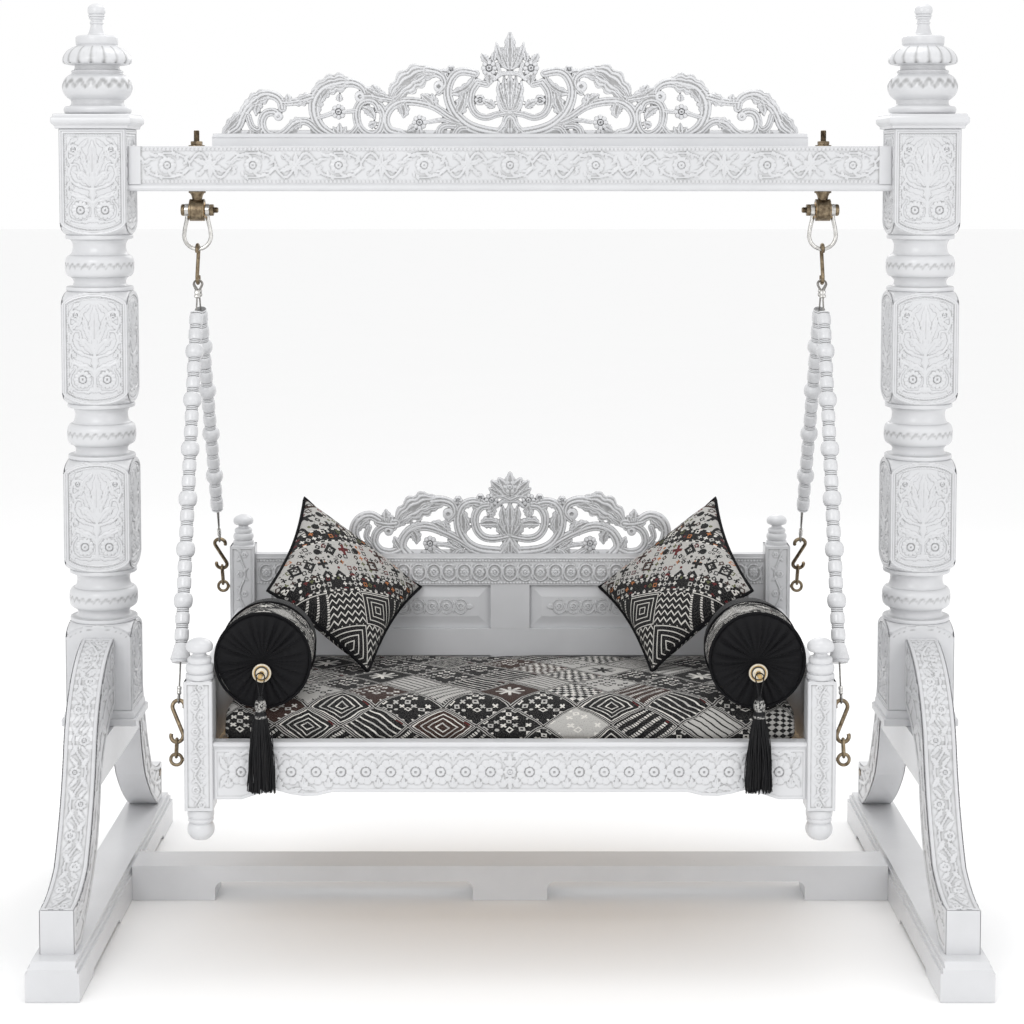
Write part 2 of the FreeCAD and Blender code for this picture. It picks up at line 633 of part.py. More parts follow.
def floor_stretcher():
    half = POST_X - SLEDGE_WIDTH / 2 - SEAM
    bar = box(2 * half, STRETCHER_WIDTH, SLEDGE_HEIGHT, V(-half, STRETCHER_FRONT_Y, 0), False)
    height = SLEDGE_HEIGHT - STRETCHER_THIN
    start = STRETCHER_MID_FOOT / 2
    gap = half - STRETCHER_END_FOOT - start
    relief = box(gap, STRETCHER_WIDTH + 2 * OVERRUN, height + OVERRUN,
                 V(start, STRETCHER_FRONT_Y - OVERRUN, -OVERRUN), False)
    heads = [e for e in relief.Edges if abs(e.CenterOfMass.z - height) < SEAM and e.Length > STRETCHER_WIDTH
             and abs(e.tangentAt(e.FirstParameter).y) > 0.9]
    relief = relief.makeFillet(STRETCHER_RADIUS, heads)
    return bar.cut(relief).cut(mirrored(relief))


def post_profile():
    """The turner's outline of the whole post, wider than the block where the corners stay square."""
    reach = BLOCK_SIDE
    z = POST_FOOT_Z + PLINTH_HEIGHT
    points = [(z, reach)]
    blocks = [LOWEST_BLOCK, LOWER_BLOCK, UPPER_BLOCK, TOP_BLOCK]
    collars = [LOWER_COLLAR, COLLAR, COLLAR]
    rim = HALF_BLOCK * COLLAR_SHARES[0][1]
    for block, collar in zip(blocks, collars):
        z += block
        points += [(z - SHOULDER, reach - SHOULDER), (z, rim)]
        points += [(z + collar * h, HALF_BLOCK * r) for h, r in COLLAR_SHARES[1:-1]]
        z += collar
        points += [(z, rim), (z + SHOULDER, reach - SHOULDER)]
    points.append((z + blocks[-1], reach - SHOULDER))
    return points


def post():
    levels = post_profile()
    top = V(0, 0, levels[-1][0])
    foot = V(0, 0, levels[0][0])
    turning = skin([ring_of(V(0, 0, z), r, POST_FLAT_COUNT) for z, r in levels])
    square = box(BLOCK_SIDE, BLOCK_SIDE, top.z - foot.z, foot)
    corners = [e for e in square.Edges if abs(e.tangentAt(e.FirstParameter).z) > 0.9]
    square = square.makeChamfer(BLOCK_CHAMFER, corners)
    body = square.common(turning)
    step = PLINTH_HEIGHT / 2
    plinth = box(PLINTH_SIDE, PLINTH_SIDE, step, V(0, 0, POST_FOOT_Z))
    upper_side = PLINTH_SIDE - 2 * PLINTH_STEP
    upper = box(upper_side, upper_side, step, V(0, 0, POST_FOOT_Z + step))
    body = body.fuse(plinth).fuse(upper).removeSplitter().translated(V(POST_X, 0, 0))
    depth = PEG_DEPTH + OVERRUN
    socket = peg(PEG_RADIUS + PEG_FIT, depth + OVERRUN, V(POST_X, 0, POST_TOP_Z - depth), V(0, 0, 1))
    mortise = tenon(PEG_FIT)
    return body.cut(socket).cut(mortise)


def tenon(gap):
    """The beam's right-hand tenon, or with a gap the mortise that takes it."""
    low = V(BEAM_HALF, -TENON_DEPTH / 2 - gap, BEAM_Z + (BEAM_HEIGHT - TENON_HEIGHT) / 2 - gap)
    return box(TENON_LENGTH + 2 * gap, TENON_DEPTH + 2 * gap, TENON_HEIGHT + 2 * gap, low, False)


def post_cap():
    cap = box(CAP_SIDE, CAP_SIDE, CAP_HEIGHT - SEAM, V(POST_X, 0, POST_TOP_Z + SEAM))
    level = [e for e in cap.Edges if abs(e.tangentAt(e.FirstParameter).z) < 0.1]
    low = [e for e in level if e.CenterOfMass.z < POST_TOP_Z + CAP_HEIGHT / 2]
    cap = cap.makeChamfer(CAP_LIP, low)
    high = [e for e in cap.Edges if abs(e.CenterOfMass.z - POST_TOP_Z - CAP_HEIGHT) < SEAM]
    cap = cap.makeChamfer(CAP_LIP / 2, high)
    bore = peg(PEG_RADIUS + PEG_FIT, CAP_HEIGHT + 2 * OVERRUN, V(POST_X, 0, POST_TOP_Z - OVERRUN), V(0, 0, 1))
    return cap.cut(bore)


def finial():
    foot = V(POST_X, 0, POST_TOP_Z + CAP_HEIGHT + SEAM)
    knob = turned(FINIAL_SHARES, FINIAL_HEIGHT - SEAM, FINIAL_RADIUS, FINIAL_FLAT_COUNT, foot)
    depth = PEG_DEPTH + CAP_HEIGHT + SEAM
    return knob.fuse(peg(PEG_RADIUS, depth, foot - V(0, 0, depth), V(0, 0, 1)))


def top_beam():
    half = BEAM_DEPTH / 2
    lip_z = BEAM_Z + BEAM_LIP
    bulge = half + BEAM_LIP_PROUD
    x = -BEAM_HALF
    right = [line(V(x, half, BEAM_TOP_Z), V(x, half, lip_z)),
             arc(V(x, half, lip_z), V(x, bulge, BEAM_Z + BEAM_LIP / 2), V(x, half, BEAM_Z))]
    left = [line(V(x, -half, BEAM_Z), V(x, half, BEAM_Z)),
            arc(V(x, -half, BEAM_Z), V(x, -bulge, BEAM_Z + BEAM_LIP / 2), V(x, -half, lip_z)),
            line(V(x, -half, lip_z), V(x, -half, BEAM_TOP_Z)),
            line(V(x, -half, BEAM_TOP_Z), V(x, half, BEAM_TOP_Z))]
    beam = Part.Face(Part.Wire(Part.__sortEdges__(right + left))).extrude(V(2 * BEAM_HALF, 0, 0))
    beam = beam.fuse(tenon(0)).fuse(mirrored(tenon(0)))
    hole = peg(STEM_RADIUS + PEG_FIT, BEAM_HEIGHT + 2 * OVERRUN, V(HANG_X, 0, BEAM_Z - OVERRUN), V(0, 0, 1))
    return beam.cut(hole).cut(mirrored(hole))


def crest_rail():
    low = BEAM_TOP_Z
    high = low + CREST_RAIL_HEIGHT
    wide = CREST_RAIL_HALF
    narrow = wide - CREST_RAIL_SLOPE
    y = -CREST_RAIL_DEPTH / 2
    outline = [V(-wide, y, low), V(wide, y, low), V(wide, y, high - CREST_RAIL_SLOPE), V(narrow, y, high),
               V(-narrow, y, high), V(-wide, y, high - CREST_RAIL_SLOPE)]
    return face(outline).extrude(V(0, CREST_RAIL_DEPTH, 0))


def openwork(top_shares, hole_shares, half, rise, depth, y, z):
    """A flat carved crest: its upper outline, mirrored about the middle, less its openings."""
    place = lambda s, side: V(side * half * s[0], y, z + rise * s[1])
    right = [place(s, 1) for s in top_shares]
    left = [place(s, -1) for s in reversed(top_shares[1:])]
    board = face(left + right).extrude(V(0, depth, 0))
    reach = V(0, depth + 2 * OVERRUN, 0)
    cutters = []
    for shares in hole_shares:
        for side in (1, -1):
            cutters.append(face([place(s, side) - V(0, OVERRUN, 0) for s in shares]).extrude(reach))
    return board.cut(Part.makeCompound(cutters))


def hanger_stem():
    """Threaded stem through the beam, with the flange under it and the drum that holds the bearing."""
    middle = V(HANG_X, 0, PIVOT_Z)
    up = V(0, 0, 1)
    top = BEAM_TOP_Z + WASHER_THICKNESS + STEM_NUT_HEIGHT + STEM_STUB
    stem = peg(STEM_RADIUS, top - PIVOT_Z, middle, up)
    flange_foot = V(HANG_X, 0, BEAM_Z - SEAM - FLANGE_THICKNESS)
    flange = peg(FLANGE_RADIUS, FLANGE_THICKNESS, flange_foot, up, SEAT_FLAT_COUNT)
    neck = skin([ring_of(middle, NECK_RADIUS, PEG_FLAT_COUNT),
                 ring_of(middle + up * (PIVOT_DROP - FLANGE_THICKNESS), NECK_TOP_RADIUS, PEG_FLAT_COUNT)])
    across = V(1, 0, 0)
    drum = peg(DRUM_RADIUS, DRUM_LENGTH, middle - across * (DRUM_LENGTH / 2), across, POST_FLAT_COUNT)
    bore = peg(BEARING_RADIUS + SEAM, DRUM_LENGTH + 2 * OVERRUN,
               middle - across * (DRUM_LENGTH / 2 + OVERRUN), across, POST_FLAT_COUNT)
    return stem.fuse(flange).fuse(neck).fuse(drum).cut(bore)


def hex_nut(radius, height, base, axis, bore):
    nut = peg(radius, height, base, axis, NUT_FLAT_COUNT)
    return nut.cut(peg(bore, height + 2 * OVERRUN, base - axis * OVERRUN, axis))


def stem_nut():
    up = V(0, 0, 1)
    base = V(HANG_X, 0, BEAM_TOP_Z + SEAM)
    washer = peg(WASHER_RADIUS, WASHER_THICKNESS, base, up, SEAT_FLAT_COUNT)
    washer = washer.cut(peg(STEM_RADIUS + PEG_FIT, WASHER_THICKNESS + 2 * OVERRUN, base - up * OVERRUN, up))
    nut_foot = base + up * (WASHER_THICKNESS + SEAM)
    nut = hex_nut(STEM_NUT_RADIUS, STEM_NUT_HEIGHT, nut_foot, up, STEM_RADIUS + PEG_FIT)
    return [washer, nut]


def bearing():
    start = V(HANG_X - DRUM_LENGTH / 2, 0, PIVOT_Z)
    across = V(1, 0, 0)
    ring = peg(BEARING_RADIUS, DRUM_LENGTH, start, across, POST_FLAT_COUNT)
    return ring.cut(rod(PIVOT_RADIUS + RUN_FIT, DRUM_LENGTH + 2 * OVERRUN, start - across * OVERRUN, across))


def ear_outer():
    return DRUM_LENGTH / 2 + EAR_GAP + EAR_THICKNESS


def shackle():
    """The bow that hangs on the pivot bolt by two ears."""
    middle = V(HANG_X, 0, PIVOT_Z)
    bottom = middle - V(0, 0, BOW_DROP - BOW_HALF)
    ear_middle = ear_outer() - EAR_THICKNESS / 2
    leg_top = EAR_RADIUS * EAR_LEG_SHARE
    path = [middle + V(ear_middle, 0, -leg_top)]
    path += arc_points(bottom, V(1, 0, 0), V(0, 0, 1), BOW_HALF, 0, -180, ARC_STEP_COUNT)
    path.append(middle + V(-ear_middle, 0, -leg_top))
    bow = wire_form(path, V(0, 1, 0), BOW_WIRE)
    for side in (1, -1):
        inner = side * (ear_outer() - EAR_THICKNESS)
        ear_foot = middle + V(inner, 0, 0)
        bow = bow.fuse(peg(EAR_RADIUS, EAR_THICKNESS, ear_foot, V(side, 0, 0), SEAT_FLAT_COUNT))
    length = 2 * ear_outer() + 2 * OVERRUN
    hole = (PIVOT_RADIUS + PEG_FIT) * PEG_OUTER_SHARE
    return bow.cut(peg(hole, length, middle - V(length / 2, 0, 0), V(1, 0, 0)))


def pivot_bolt():
    outer = ear_outer() + SEAM
    start = V(HANG_X - outer - PIVOT_HEAD - PIVOT_STUB, 0, PIVOT_Z)
    shank = rod(PIVOT_RADIUS, 2 * outer + PIVOT_HEAD + PIVOT_STUB, start, V(1, 0, 0))
    head = peg(PIVOT_HEAD_RADIUS, PIVOT_HEAD, V(HANG_X + outer, 0, PIVOT_Z), V(1, 0, 0), SEAT_FLAT_COUNT)
    return shank.fuse(head)


def pivot_nut():
    base = V(HANG_X - ear_outer() - SEAM, 0, PIVOT_Z)
    bore = (PIVOT_RADIUS + PEG_FIT) * PEG_OUTER_SHARE
    return hex_nut(PIVOT_NUT_RADIUS, PIVOT_HEAD, base, V(-1, 0, 0), bore)


def upper_hook():
    return s_hook(V(HANG_X, 0, UPPER_HOOK_LOW_Z), V(0, 0, 1), V(0, -1, 0), UPPER_HOOK_HEIGHT,
                  UPPER_HOOK_ARC, UPPER_HOOK_WIRE)


class Strand:
    """One beaded strand: its line runs from the upper hook's arc down to the screw eye in a seat post."""

    def __init__(self, eye_y, eye_z, link, pitch, count, bell):
        self.top = V(HANG_X, 0, APEX_Z)
        eye = V(HANG_X, eye_y, eye_z + EYE_ARC)
        run = eye - self.top
        self.length = run.Length
        self.down = V(run.x, run.y, run.z).normalize()
        self.up = self.down * -1
        self.flat = V(1, 0, 0).cross(self.down)
        self.link, self.pitch, self.count, self.bell = link, pitch, count, bell
        self.link_low = self.length + EYE_WIRE + LINK_WIRE + HANG_GAP
        self.hook_low = self.link_low - (link - 2 * LINK_WIRE) + LINK_WIRE + HOOK_WIRE + HANG_GAP
        hook_top = self.hook_low - (HOOK_HEIGHT - 2 * HOOK_WIRE)
        self.loop_low = hook_top + HOOK_WIRE + ROPE_WIRE + LOOSE_LOOP_GAP
        self.loop_high = UPPER_HOOK_ARC - UPPER_HOOK_WIRE - HANG_GAP - ROPE_WIRE

    def at(self, distance):
        return self.top + self.down * distance

    def rope(self):
        start, end = self.loop_high, self.loop_low
        upper = rope_loop(self.at(start), self.down, V(1, 0, 0), UPPER_LOOP)
        lower = rope_loop(self.at(end), self.up, self.flat, LOWER_LOOP)
        core_start = start + UPPER_LOOP - CLIP_LENGTH / 2
        core_end = end - LOWER_LOOP + CLIP_LENGTH / 2
        core = wire_form([self.at(core_start), self.at(core_end)], V(1, 0, 0), ROPE_WIRE, THIN_FLAT_COUNT)
        whole = upper.fuse(lower).fuse(core)
        for place, wide in ((start + UPPER_LOOP, V(1, 0, 0)), (end - LOWER_LOOP + CLIP_LENGTH, self.flat)):
            whole = whole.fuse(self.clip(place - CLIP_LENGTH, wide))
        return whole

    def clip(self, start, wide):
        deep = wide.cross(self.down)
        corners = []
        for a, b in CLIP_SHARES:
            corners.append(self.at(start) + wide * (CLIP_HALF_WIDTH * a) + deep * (CLIP_HALF_DEPTH * b))
        return face(corners).extrude(self.down * CLIP_LENGTH)

    def beads(self):
        """The wooden beads, threaded on the rope end to end."""
        small = (self.pitch - BEAD_LENGTH) / 2
        z = 0
        outline = []
        for i in range(self.count + 1):
            runs = [(SMALL_BEAD_SHARES, small, SMALL_BEAD_RADIUS)] * 2
            if i < self.count:
                runs.append((BEAD_SHARES, BEAD_LENGTH, BEAD_RADIUS))
            elif self.bell:
                runs.append((BELL_SHARES, BELL_LENGTH, BELL_RADIUS))
            for shares, length, radius in runs:
                outline += [(z + length * h, radius * r) for h, r in shares]
                z += length
        rings = [outline[0]]
        for level in outline[1:]:
            if level[0] - rings[-1][0] > SEAM or abs(level[1] - rings[-1][1]) > SEAM:
                rings.append(level)
        string = skin([ring_of(V(0, 0, level), radius, BEAD_FLAT_COUNT) for level, radius in rings])
        string = string.cut(peg(BEAD_BORE, z + 2 * OVERRUN, V(0, 0, -OVERRUN), V(0, 0, 1), THIN_FLAT_COUNT))
        turn = FreeCAD.Rotation(V(0, 0, 1), self.down)
        string.Placement = FreeCAD.Placement(self.at(self.loop_high + UPPER_LOOP + BARE_ROPE), turn)
        return string

    def hook(self):
        return s_hook(self.at(self.hook_low), self.up, V(-1, 0, 0), HOOK_HEIGHT, HOOK_ARC, HOOK_WIRE)

    def chain_link(self):
        return ring_link(self.at(self.link_low), self.up, self.flat, self.link, LINK_ARC, LINK_WIRE)


def screw_eye(eye_y, eye_z):
    """A ring on a threaded shank, driven into the outer face of a seat post."""
    middle = V(HANG_X, eye_y, eye_z)
    around = 2 * LINK_STEP_COUNT
    rim = arc_points(middle, V(1, 0, 0), V(0, 0, 1), EYE_ARC, 0, 360 - 360 / around, around - 1)
    ring = wire_form(rim, V(0, 1, 0), EYE_WIRE, THIN_FLAT_COUNT, True)
    face_x = SEAT_X + HALF_SEAT_POST
    reach = HANG_X - EYE_ARC - face_x
    across = V(1, 0, 0)
    shank = peg(EYE_SHANK, EYE_DEPTH + reach, V(face_x - EYE_DEPTH, eye_y, eye_z), across, THIN_FLAT_COUNT)
    collar = peg(EYE_COLLAR_RADIUS, EYE_COLLAR, V(face_x + SEAM, eye_y, eye_z), across, WIRE_FLAT_COUNT)
    return ring.fuse(shank).fuse(collar)


def seat_post(y, block_height, scale, bun, eye_z):
    """A square post with a turned knob on top, a bun foot where it is a front one, and its eye's hole."""
    block = box(SEAT_POST, SEAT_POST, block_height, V(SEAT_X, y, SEAT_BLOCK_Z))
    corners = [e for e in block.Edges if abs(e.tangentAt(e.FirstParameter).z) > 0.9]
    block = block.makeChamfer(SEAT_POST_CHAMFER, corners)
    top = V(SEAT_X, y, SEAT_BLOCK_Z + block_height)
    whole = block.fuse(turned(KNOB_SHARES, KNOB_HEIGHT * scale, KNOB_RADIUS * scale, SEAT_FLAT_COUNT, top))
    if bun:
        foot = V(SEAT_X, y, SEAT_BLOCK_Z - BUN_HEIGHT)
        whole = whole.fuse(turned(BUN_SHARES, BUN_HEIGHT, BUN_RADIUS, SEAT_FLAT_COUNT, foot))
    depth = EYE_DEPTH + SEAM
    start = V(SEAT_X + HALF_SEAT_POST - depth, y, eye_z)
    hole = (EYE_SHANK + PEG_FIT) * PEG_OUTER_SHARE
    return whole.cut(peg(hole, depth + OVERRUN, start, V(1, 0, 0)))


def front_rail():
    half = SEAT_INNER_X - SEAM
    y = RAIL_FRONT_Y
    foot = FRONT_RAIL_TOP - FRONT_RAIL_DEPTH
    base = foot - FRONT_RAIL_DEPTH * FRONT_RAIL_SHARES[0][1]
    right = [V(half * a, y, base + FRONT_RAIL_DEPTH * b) for a, b in FRONT_RAIL_SHARES]
    left = [V(-p.x, y, p.z) for p in reversed(right[1:])]
    outline = [V(-half, y, FRONT_RAIL_TOP)] + left + right + [V(half, y, FRONT_RAIL_TOP)]
    rail = face(outline).extrude(V(0, RAIL_THICKNESS, 0))
    lip = peg(FRONT_RAIL_LIP / 2, 2 * half, V(-half, y, FRONT_RAIL_TOP - FRONT_RAIL_LIP / 2), V(1, 0, 0))
    return rail.fuse(lip)


def rounded_rail(x, y_low, z, length_x, length_y, height):
    """A rail with its upper long edges rounded."""
    rail = box(length_x, length_y, height, V(x, y_low, z), False)
    along_x = length_x > length_y
    edges = [e for e in rail.Edges if abs(e.CenterOfMass.z - z - height) < SEAM
             and e.Length > min(length_x, length_y) + SEAM]
    return rail.makeFillet(RAIL_ROUND, edges) if along_x or edges else rail


def side_board():
    return rounded_rail(SEAT_X - SIDE_BOARD / 2, SEAT_FRONT_Y + HALF_SEAT_POST + SEAM, SIDE_BOARD_Z,
                        SIDE_BOARD, SIDE_LENGTH - 2 * SEAM, SIDE_BOARD_HEIGHT)


def back_rail(z, height):
    half = SEAT_INNER_X - SEAM
    return box(2 * half, RAIL_THICKNESS, height, V(-half, BACK_FACE_Y, z), False)


def back_stile(x, width, z, height):
    return box(width, RAIL_THICKNESS, height - 2 * SEAM, V(x, BACK_FACE_Y, z + SEAM), False)


def back_stiles():
    stiles = []
    lower = (BOTTOM_RAIL_Z + BOTTOM_RAIL_HEIGHT, MID_RAIL_Z)
    upper = (MID_RAIL_Z + MID_RAIL_HEIGHT, TOP_RAIL_Z)
    for z, top in (lower, upper):
        end = back_stile(SEAT_INNER_X - SEAM - END_STILE, END_STILE, z, top - z)
        stiles += [end, mirrored(end), back_stile(-CENTRE_STILE / 2, CENTRE_STILE, z, top - z)]
    return stiles


def raised_panel(z, top):
    """A panel with a bevel rising to a flat field, seen from the front."""
    x0 = CENTRE_STILE / 2 + SEAM
    x1 = SEAT_INNER_X - 2 * SEAM - END_STILE
    z0, z1 = z + SEAM, top - SEAM
    back_y = BACK_FACE_Y + RAIL_THICKNESS * PANEL_BACK_SHARE
    front_y = back_y - PANEL_THICKNESS
    bevel = min(PANEL_BEVEL, (z1 - z0) / 3)
    rings = []
    for y, inset in ((back_y, 0), (front_y, 0), (front_y - PANEL_FIELD, bevel)):
        left, right, low, high = x0 + inset, x1 - inset, z0 + inset, z1 - inset
        rings.append([V(left, y, low), V(right, y, low), V(right, y, high), V(left, y, high)])
    return skin(rings)


def on_deck(shape):
    """Tilt a piece that was laid out level, so that the deck falls towards the back."""
    shape.rotate(V(0, 0, 0), V(1, 0, 0), -DECK_SLOPE)
    return shape.translated(V(0, DECK_FRONT_Y, DECK_FRONT_Z))


def seat_slats():
    half = SEAT_INNER_X - SLAT_END_GAP
    step = (DECK_RUN - SLAT_WIDTH) / (SLAT_COUNT - 1)
    slats = []
    for i in range(SLAT_COUNT):
        low = V(-half, i * step, -SLAT_THICKNESS)
        slats.append(on_deck(box(2 * half, SLAT_WIDTH, SLAT_THICKNESS, low, False)))
    return slats


def slat_bearers():
    top = -SLAT_THICKNESS - SEAM
    low = top - BEARER_HEIGHT
    outer = SEAT_X - SIDE_BOARD / 2 - SEAM
    start = SEAT_POST
    run = DECK_RUN - SEAT_POST - SEAT_POST / 2
    side = on_deck(box(BEARER_WIDTH, run, BEARER_HEIGHT, V(outer - BEARER_WIDTH, start, low), False))
    start = BEARER_START
    place = V(-BEARER_WIDTH / 2, start, low)
    middle = on_deck(box(BEARER_WIDTH, DECK_RUN - start, BEARER_HEIGHT, place, False))
    return [side, mirrored(side), middle]


def mattress():
    """A stuffed pad with a crowned top and full edges, hollowed under the two bolsters."""
    rings = []
    for along, thick in MATTRESS_SHARES:
        inset = MATTRESS_THICKNESS * (1 - thick)
        length = MATTRESS_LENGTH - 2 * inset
        ring = []
        for run, bulge, height, crown in PAD_SHARES:
            y = inset + length * run + MATTRESS_BULGE * bulge
            z = inset / 2 + MATTRESS_THICKNESS * thick * height + MATTRESS_CROWN * crown
            ring.append(V(MATTRESS_HALF * along, y, z))
        rings.append(ring)
    pad = on_deck(skin(rings, twisted=True).translated(V(0, 0, SOFT_GAP)))
    start = V(BOLSTER_X, BOLSTER_FRONT_Y - OVERRUN, BOLSTER_Z)
    run = BOLSTER_LENGTH + 2 * OVERRUN
    hollow = peg(BOLSTER_RADIUS + SOFT_GAP, run, start, V(0, 1, 0), BOLSTER_FLAT_COUNT)
    return pad.cut(hollow).cut(mirrored(hollow))


def bolster():
    roll = turned(BOLSTER_SHARES, BOLSTER_LENGTH, BOLSTER_RADIUS, BOLSTER_FLAT_COUNT)
    lie = FreeCAD.Rotation(V(0, 0, 1), V(0, 1, 0))
    roll.Placement = FreeCAD.Placement(V(BOLSTER_X, BOLSTER_FRONT_Y, BOLSTER_Z), lie)
    return roll


def bolster_button():
    """A domed button on the bolster's gathered end, with the stem and knot that the tassel hangs on."""
    back = V(BOLSTER_X, BOLSTER_FRONT_Y - SOFT_GAP, BOLSTER_BUTTON_Z)
    front = V(0, -1, 0)
    disc = peg(BUTTON_RADIUS, BUTTON_THICKNESS, back, front, SEAT_FLAT_COUNT)
    reach = TASSEL_REACH + TASSEL_CORD + BUTTON_KNOT_RADIUS
    stem = peg(BUTTON_STEM_RADIUS, reach, back, front)
    knot = peg(BUTTON_KNOT_RADIUS, BUTTON_KNOT_RADIUS, back + front * (reach - BUTTON_KNOT_RADIUS / 2), front)
    return disc.fuse(stem).fuse(knot)


def tassel_pivot():
    return V(BOLSTER_X, TASSEL_Y, BOLSTER_BUTTON_Z + BUTTON_STEM_RADIUS + HANG_GAP + TASSEL_CORD)


def tassel():
    """A loop over the button's stem, a wound head and a flat skirt of thread."""
    top = tassel_pivot()
    down = V(0, 0, -1)
    middle = top + down * TASSEL_LOOP_ARC
    legs = top + down * TASSEL_LOOP
    leg = V(TASSEL_CORD + SEAM, 0, 0)
    turn = arc_points(middle, V(1, 0, 0), V(0, 0, 1), TASSEL_LOOP_ARC, -TASSEL_TIP_ANGLE,
                      180 + TASSEL_TIP_ANGLE, LINK_STEP_COUNT)
    loop = wire_form([legs + leg] + turn + [legs - leg], V(0, 1, 0), TASSEL_CORD, THIN_FLAT_COUNT)
    head_foot = legs + down * (TASSEL_HEAD_HEIGHT - TASSEL_CORD)
    head = turned(TASSEL_HEAD_SHARES, TASSEL_HEAD_HEIGHT, TASSEL_HEAD_RADIUS, SEAT_FLAT_COUNT, head_foot)
    rings = []
    for drop, spread in SKIRT_SHARES:
        half = TASSEL_TOP_HALF + (TASSEL_HEM_HALF - TASSEL_TOP_HALF) * spread
        middle = head_foot + down * (SEAM + TASSEL_SKIRT * drop)
        rings.append([middle + V(half * a, TASSEL_HALF_DEPTH * b, 0) for a, b in OVAL_SHARES])
    return Part.makeCompound([loop.fuse(head), skin(rings, twisted=True)])


def cushion():
    """A square pillow: crowned, pointed at its corners and drawn in between them."""
    middle = V(CUSHION_X, CUSHION_Y, CUSHION_Z)
    corners = [middle + V(a, b, c) * CUSHION_SIDE for a, b, c in CUSHION_CORNER_SHARES]
    facing = V(CUSHION_FACING_SHARES[0], CUSHION_FACING_SHARES[1], CUSHION_FACING_SHARES[2])

    def on_sheet(u, v):
        draw = CUSHION_DRAW_SHARE
        a = (1 + u * (1 - draw * (1 - v * v))) / 2
        b = (1 + v * (1 - draw * (1 - u * u))) / 2
        near = corners[0] * (1 - a) + corners[1] * a
        far = corners[3] * (1 - a) + corners[2] * a
        return near * (1 - b) + far * b

    rings = []
    for u, full in CUSHION_SHARES:
        front, back = [], []
        for v, swell in CUSHION_SHARES:
            half = facing * (CUSHION_EDGE + CUSHION_HALF_THICKNESS * math.sqrt(full * swell))
            front.append(on_sheet(u, v) + half)
            back.append(on_sheet(u, v) - half)
        rings.append(front + back[::-1])
    return skin(rings, twisted=True)


def build_stand():
    front = brace()
    back = front.mirror(V(0, 0, 0), V(0, 1, 0))
    save_pair("sledge", sledge())
    save_pair("front_brace", front)
    save_pair("back_brace", back)
    save_group("tie_blocks", [tie_block(front)])
    save_group("brace_latches", [brace_latch()])
    save("floor_stretcher", floor_stretcher())
    save_pair("post", post())
    save_group("post_caps", [post_cap()])
    save_group("finials", [finial()])
    save("top_beam", top_beam())
    save("crest_rail", crest_rail())
    crest_foot = BEAM_TOP_Z + CREST_RAIL_HEIGHT + SEAM
    save("top_crest", openwork(CREST_TOP_SHARES, CREST_HOLE_SHARES, CREST_HALF, CREST_RISE, CREST_DEPTH,
                               -CREST_DEPTH / 2, crest_foot))
    save_group("hanger_stems", [hanger_stem()])
    save_group("hanger_nuts", stem_nut())
    save_group("pivot_bearings", [bearing()])


def build_hangers():
    save_pair("shackle", shackle())
    save_group("pivot_bolts", [pivot_bolt()])
    save_group("pivot_nuts", [pivot_nut()])
    save_group("upper_hooks", [upper_hook()])


def build_strands():
    front = Strand(SEAT_FRONT_Y, FRONT_EYE_Z, FRONT_LINK, FRONT_BEAD_PITCH, FRONT_BEAD_COUNT, True)
    back = Strand(SEAT_BACK_Y, BACK_EYE_Z, BACK_LINK, BACK_BEAD_PITCH, BACK_BEAD_COUNT, False)
    for name, strand in (("front", front), ("back", back)):
        save_pair(name + "_rope", strand.rope())
        save_pair(name + "_beads", strand.beads())
        pivot = strand.at(UPPER_HOOK_ARC)
        print(name, "strand pivot", pivot, "drop to the lower hook", pivot.z - strand.at(strand.loop_low).z)
    save_group("lower_hooks", [front.hook(), back.hook()])
    save_group("chain_links", [front.chain_link(), back.chain_link()])


def build_seat():
    save_group("screw_eyes", [screw_eye(SEAT_FRONT_Y, FRONT_EYE_Z), screw_eye(SEAT_BACK_Y, BACK_EYE_Z)])
    save_pair("front_seat_post", seat_post(SEAT_FRONT_Y, FRONT_BLOCK, 1, True, FRONT_EYE_Z))
    save_pair("back_seat_post", seat_post(SEAT_BACK_Y, BACK_BLOCK, BACK_KNOB_SCALE, False, BACK_EYE_Z))
    save("front_rail", front_rail())
    save_pair("side_board", side_board())
    save("back_bottom_rail", back_rail(BOTTOM_RAIL_Z, BOTTOM_RAIL_HEIGHT))
    save("back_mid_rail", back_rail(MID_RAIL_Z, MID_RAIL_HEIGHT))
    save("back_top_rail", back_rail(TOP_RAIL_Z, TOP_RAIL_HEIGHT))
    save("back_stiles", Part.makeCompound(back_stiles()))
    save_group("upper_back_panels", [raised_panel(MID_RAIL_Z + MID_RAIL_HEIGHT, TOP_RAIL_Z)])
    save_group("lower_back_panels", [raised_panel(BOTTOM_RAIL_Z + BOTTOM_RAIL_HEIGHT, MID_RAIL_Z)])
    crest_y = SEAT_BACK_Y - BACK_CREST_DEPTH / 2
    crest_foot = TOP_RAIL_Z + TOP_RAIL_HEIGHT + SEAM
    save("back_crest", openwork(BACK_CREST_TOP_SHARES, BACK_CREST_HOLE_SHARES, BACK_CREST_HALF,
                                BACK_CREST_RISE, BACK_CREST_DEPTH, crest_y, crest_foot))
    save("seat_slats", Part.makeCompound(seat_slats()))
    save("slat_bearers", Part.makeCompound(slat_bearers()))


def build_soft_pieces():
    save("mattress", mattress())
    save_pair("bolster", bolster())
    save_group("bolster_buttons", [bolster_button()])
    save_pair("tassel", tassel())
    save_pair("cushion", cushion())
    print("tassel pivot", tassel_pivot())


build_stand()
build_hangers()
build_strands()
build_seat()
build_soft_pieces()
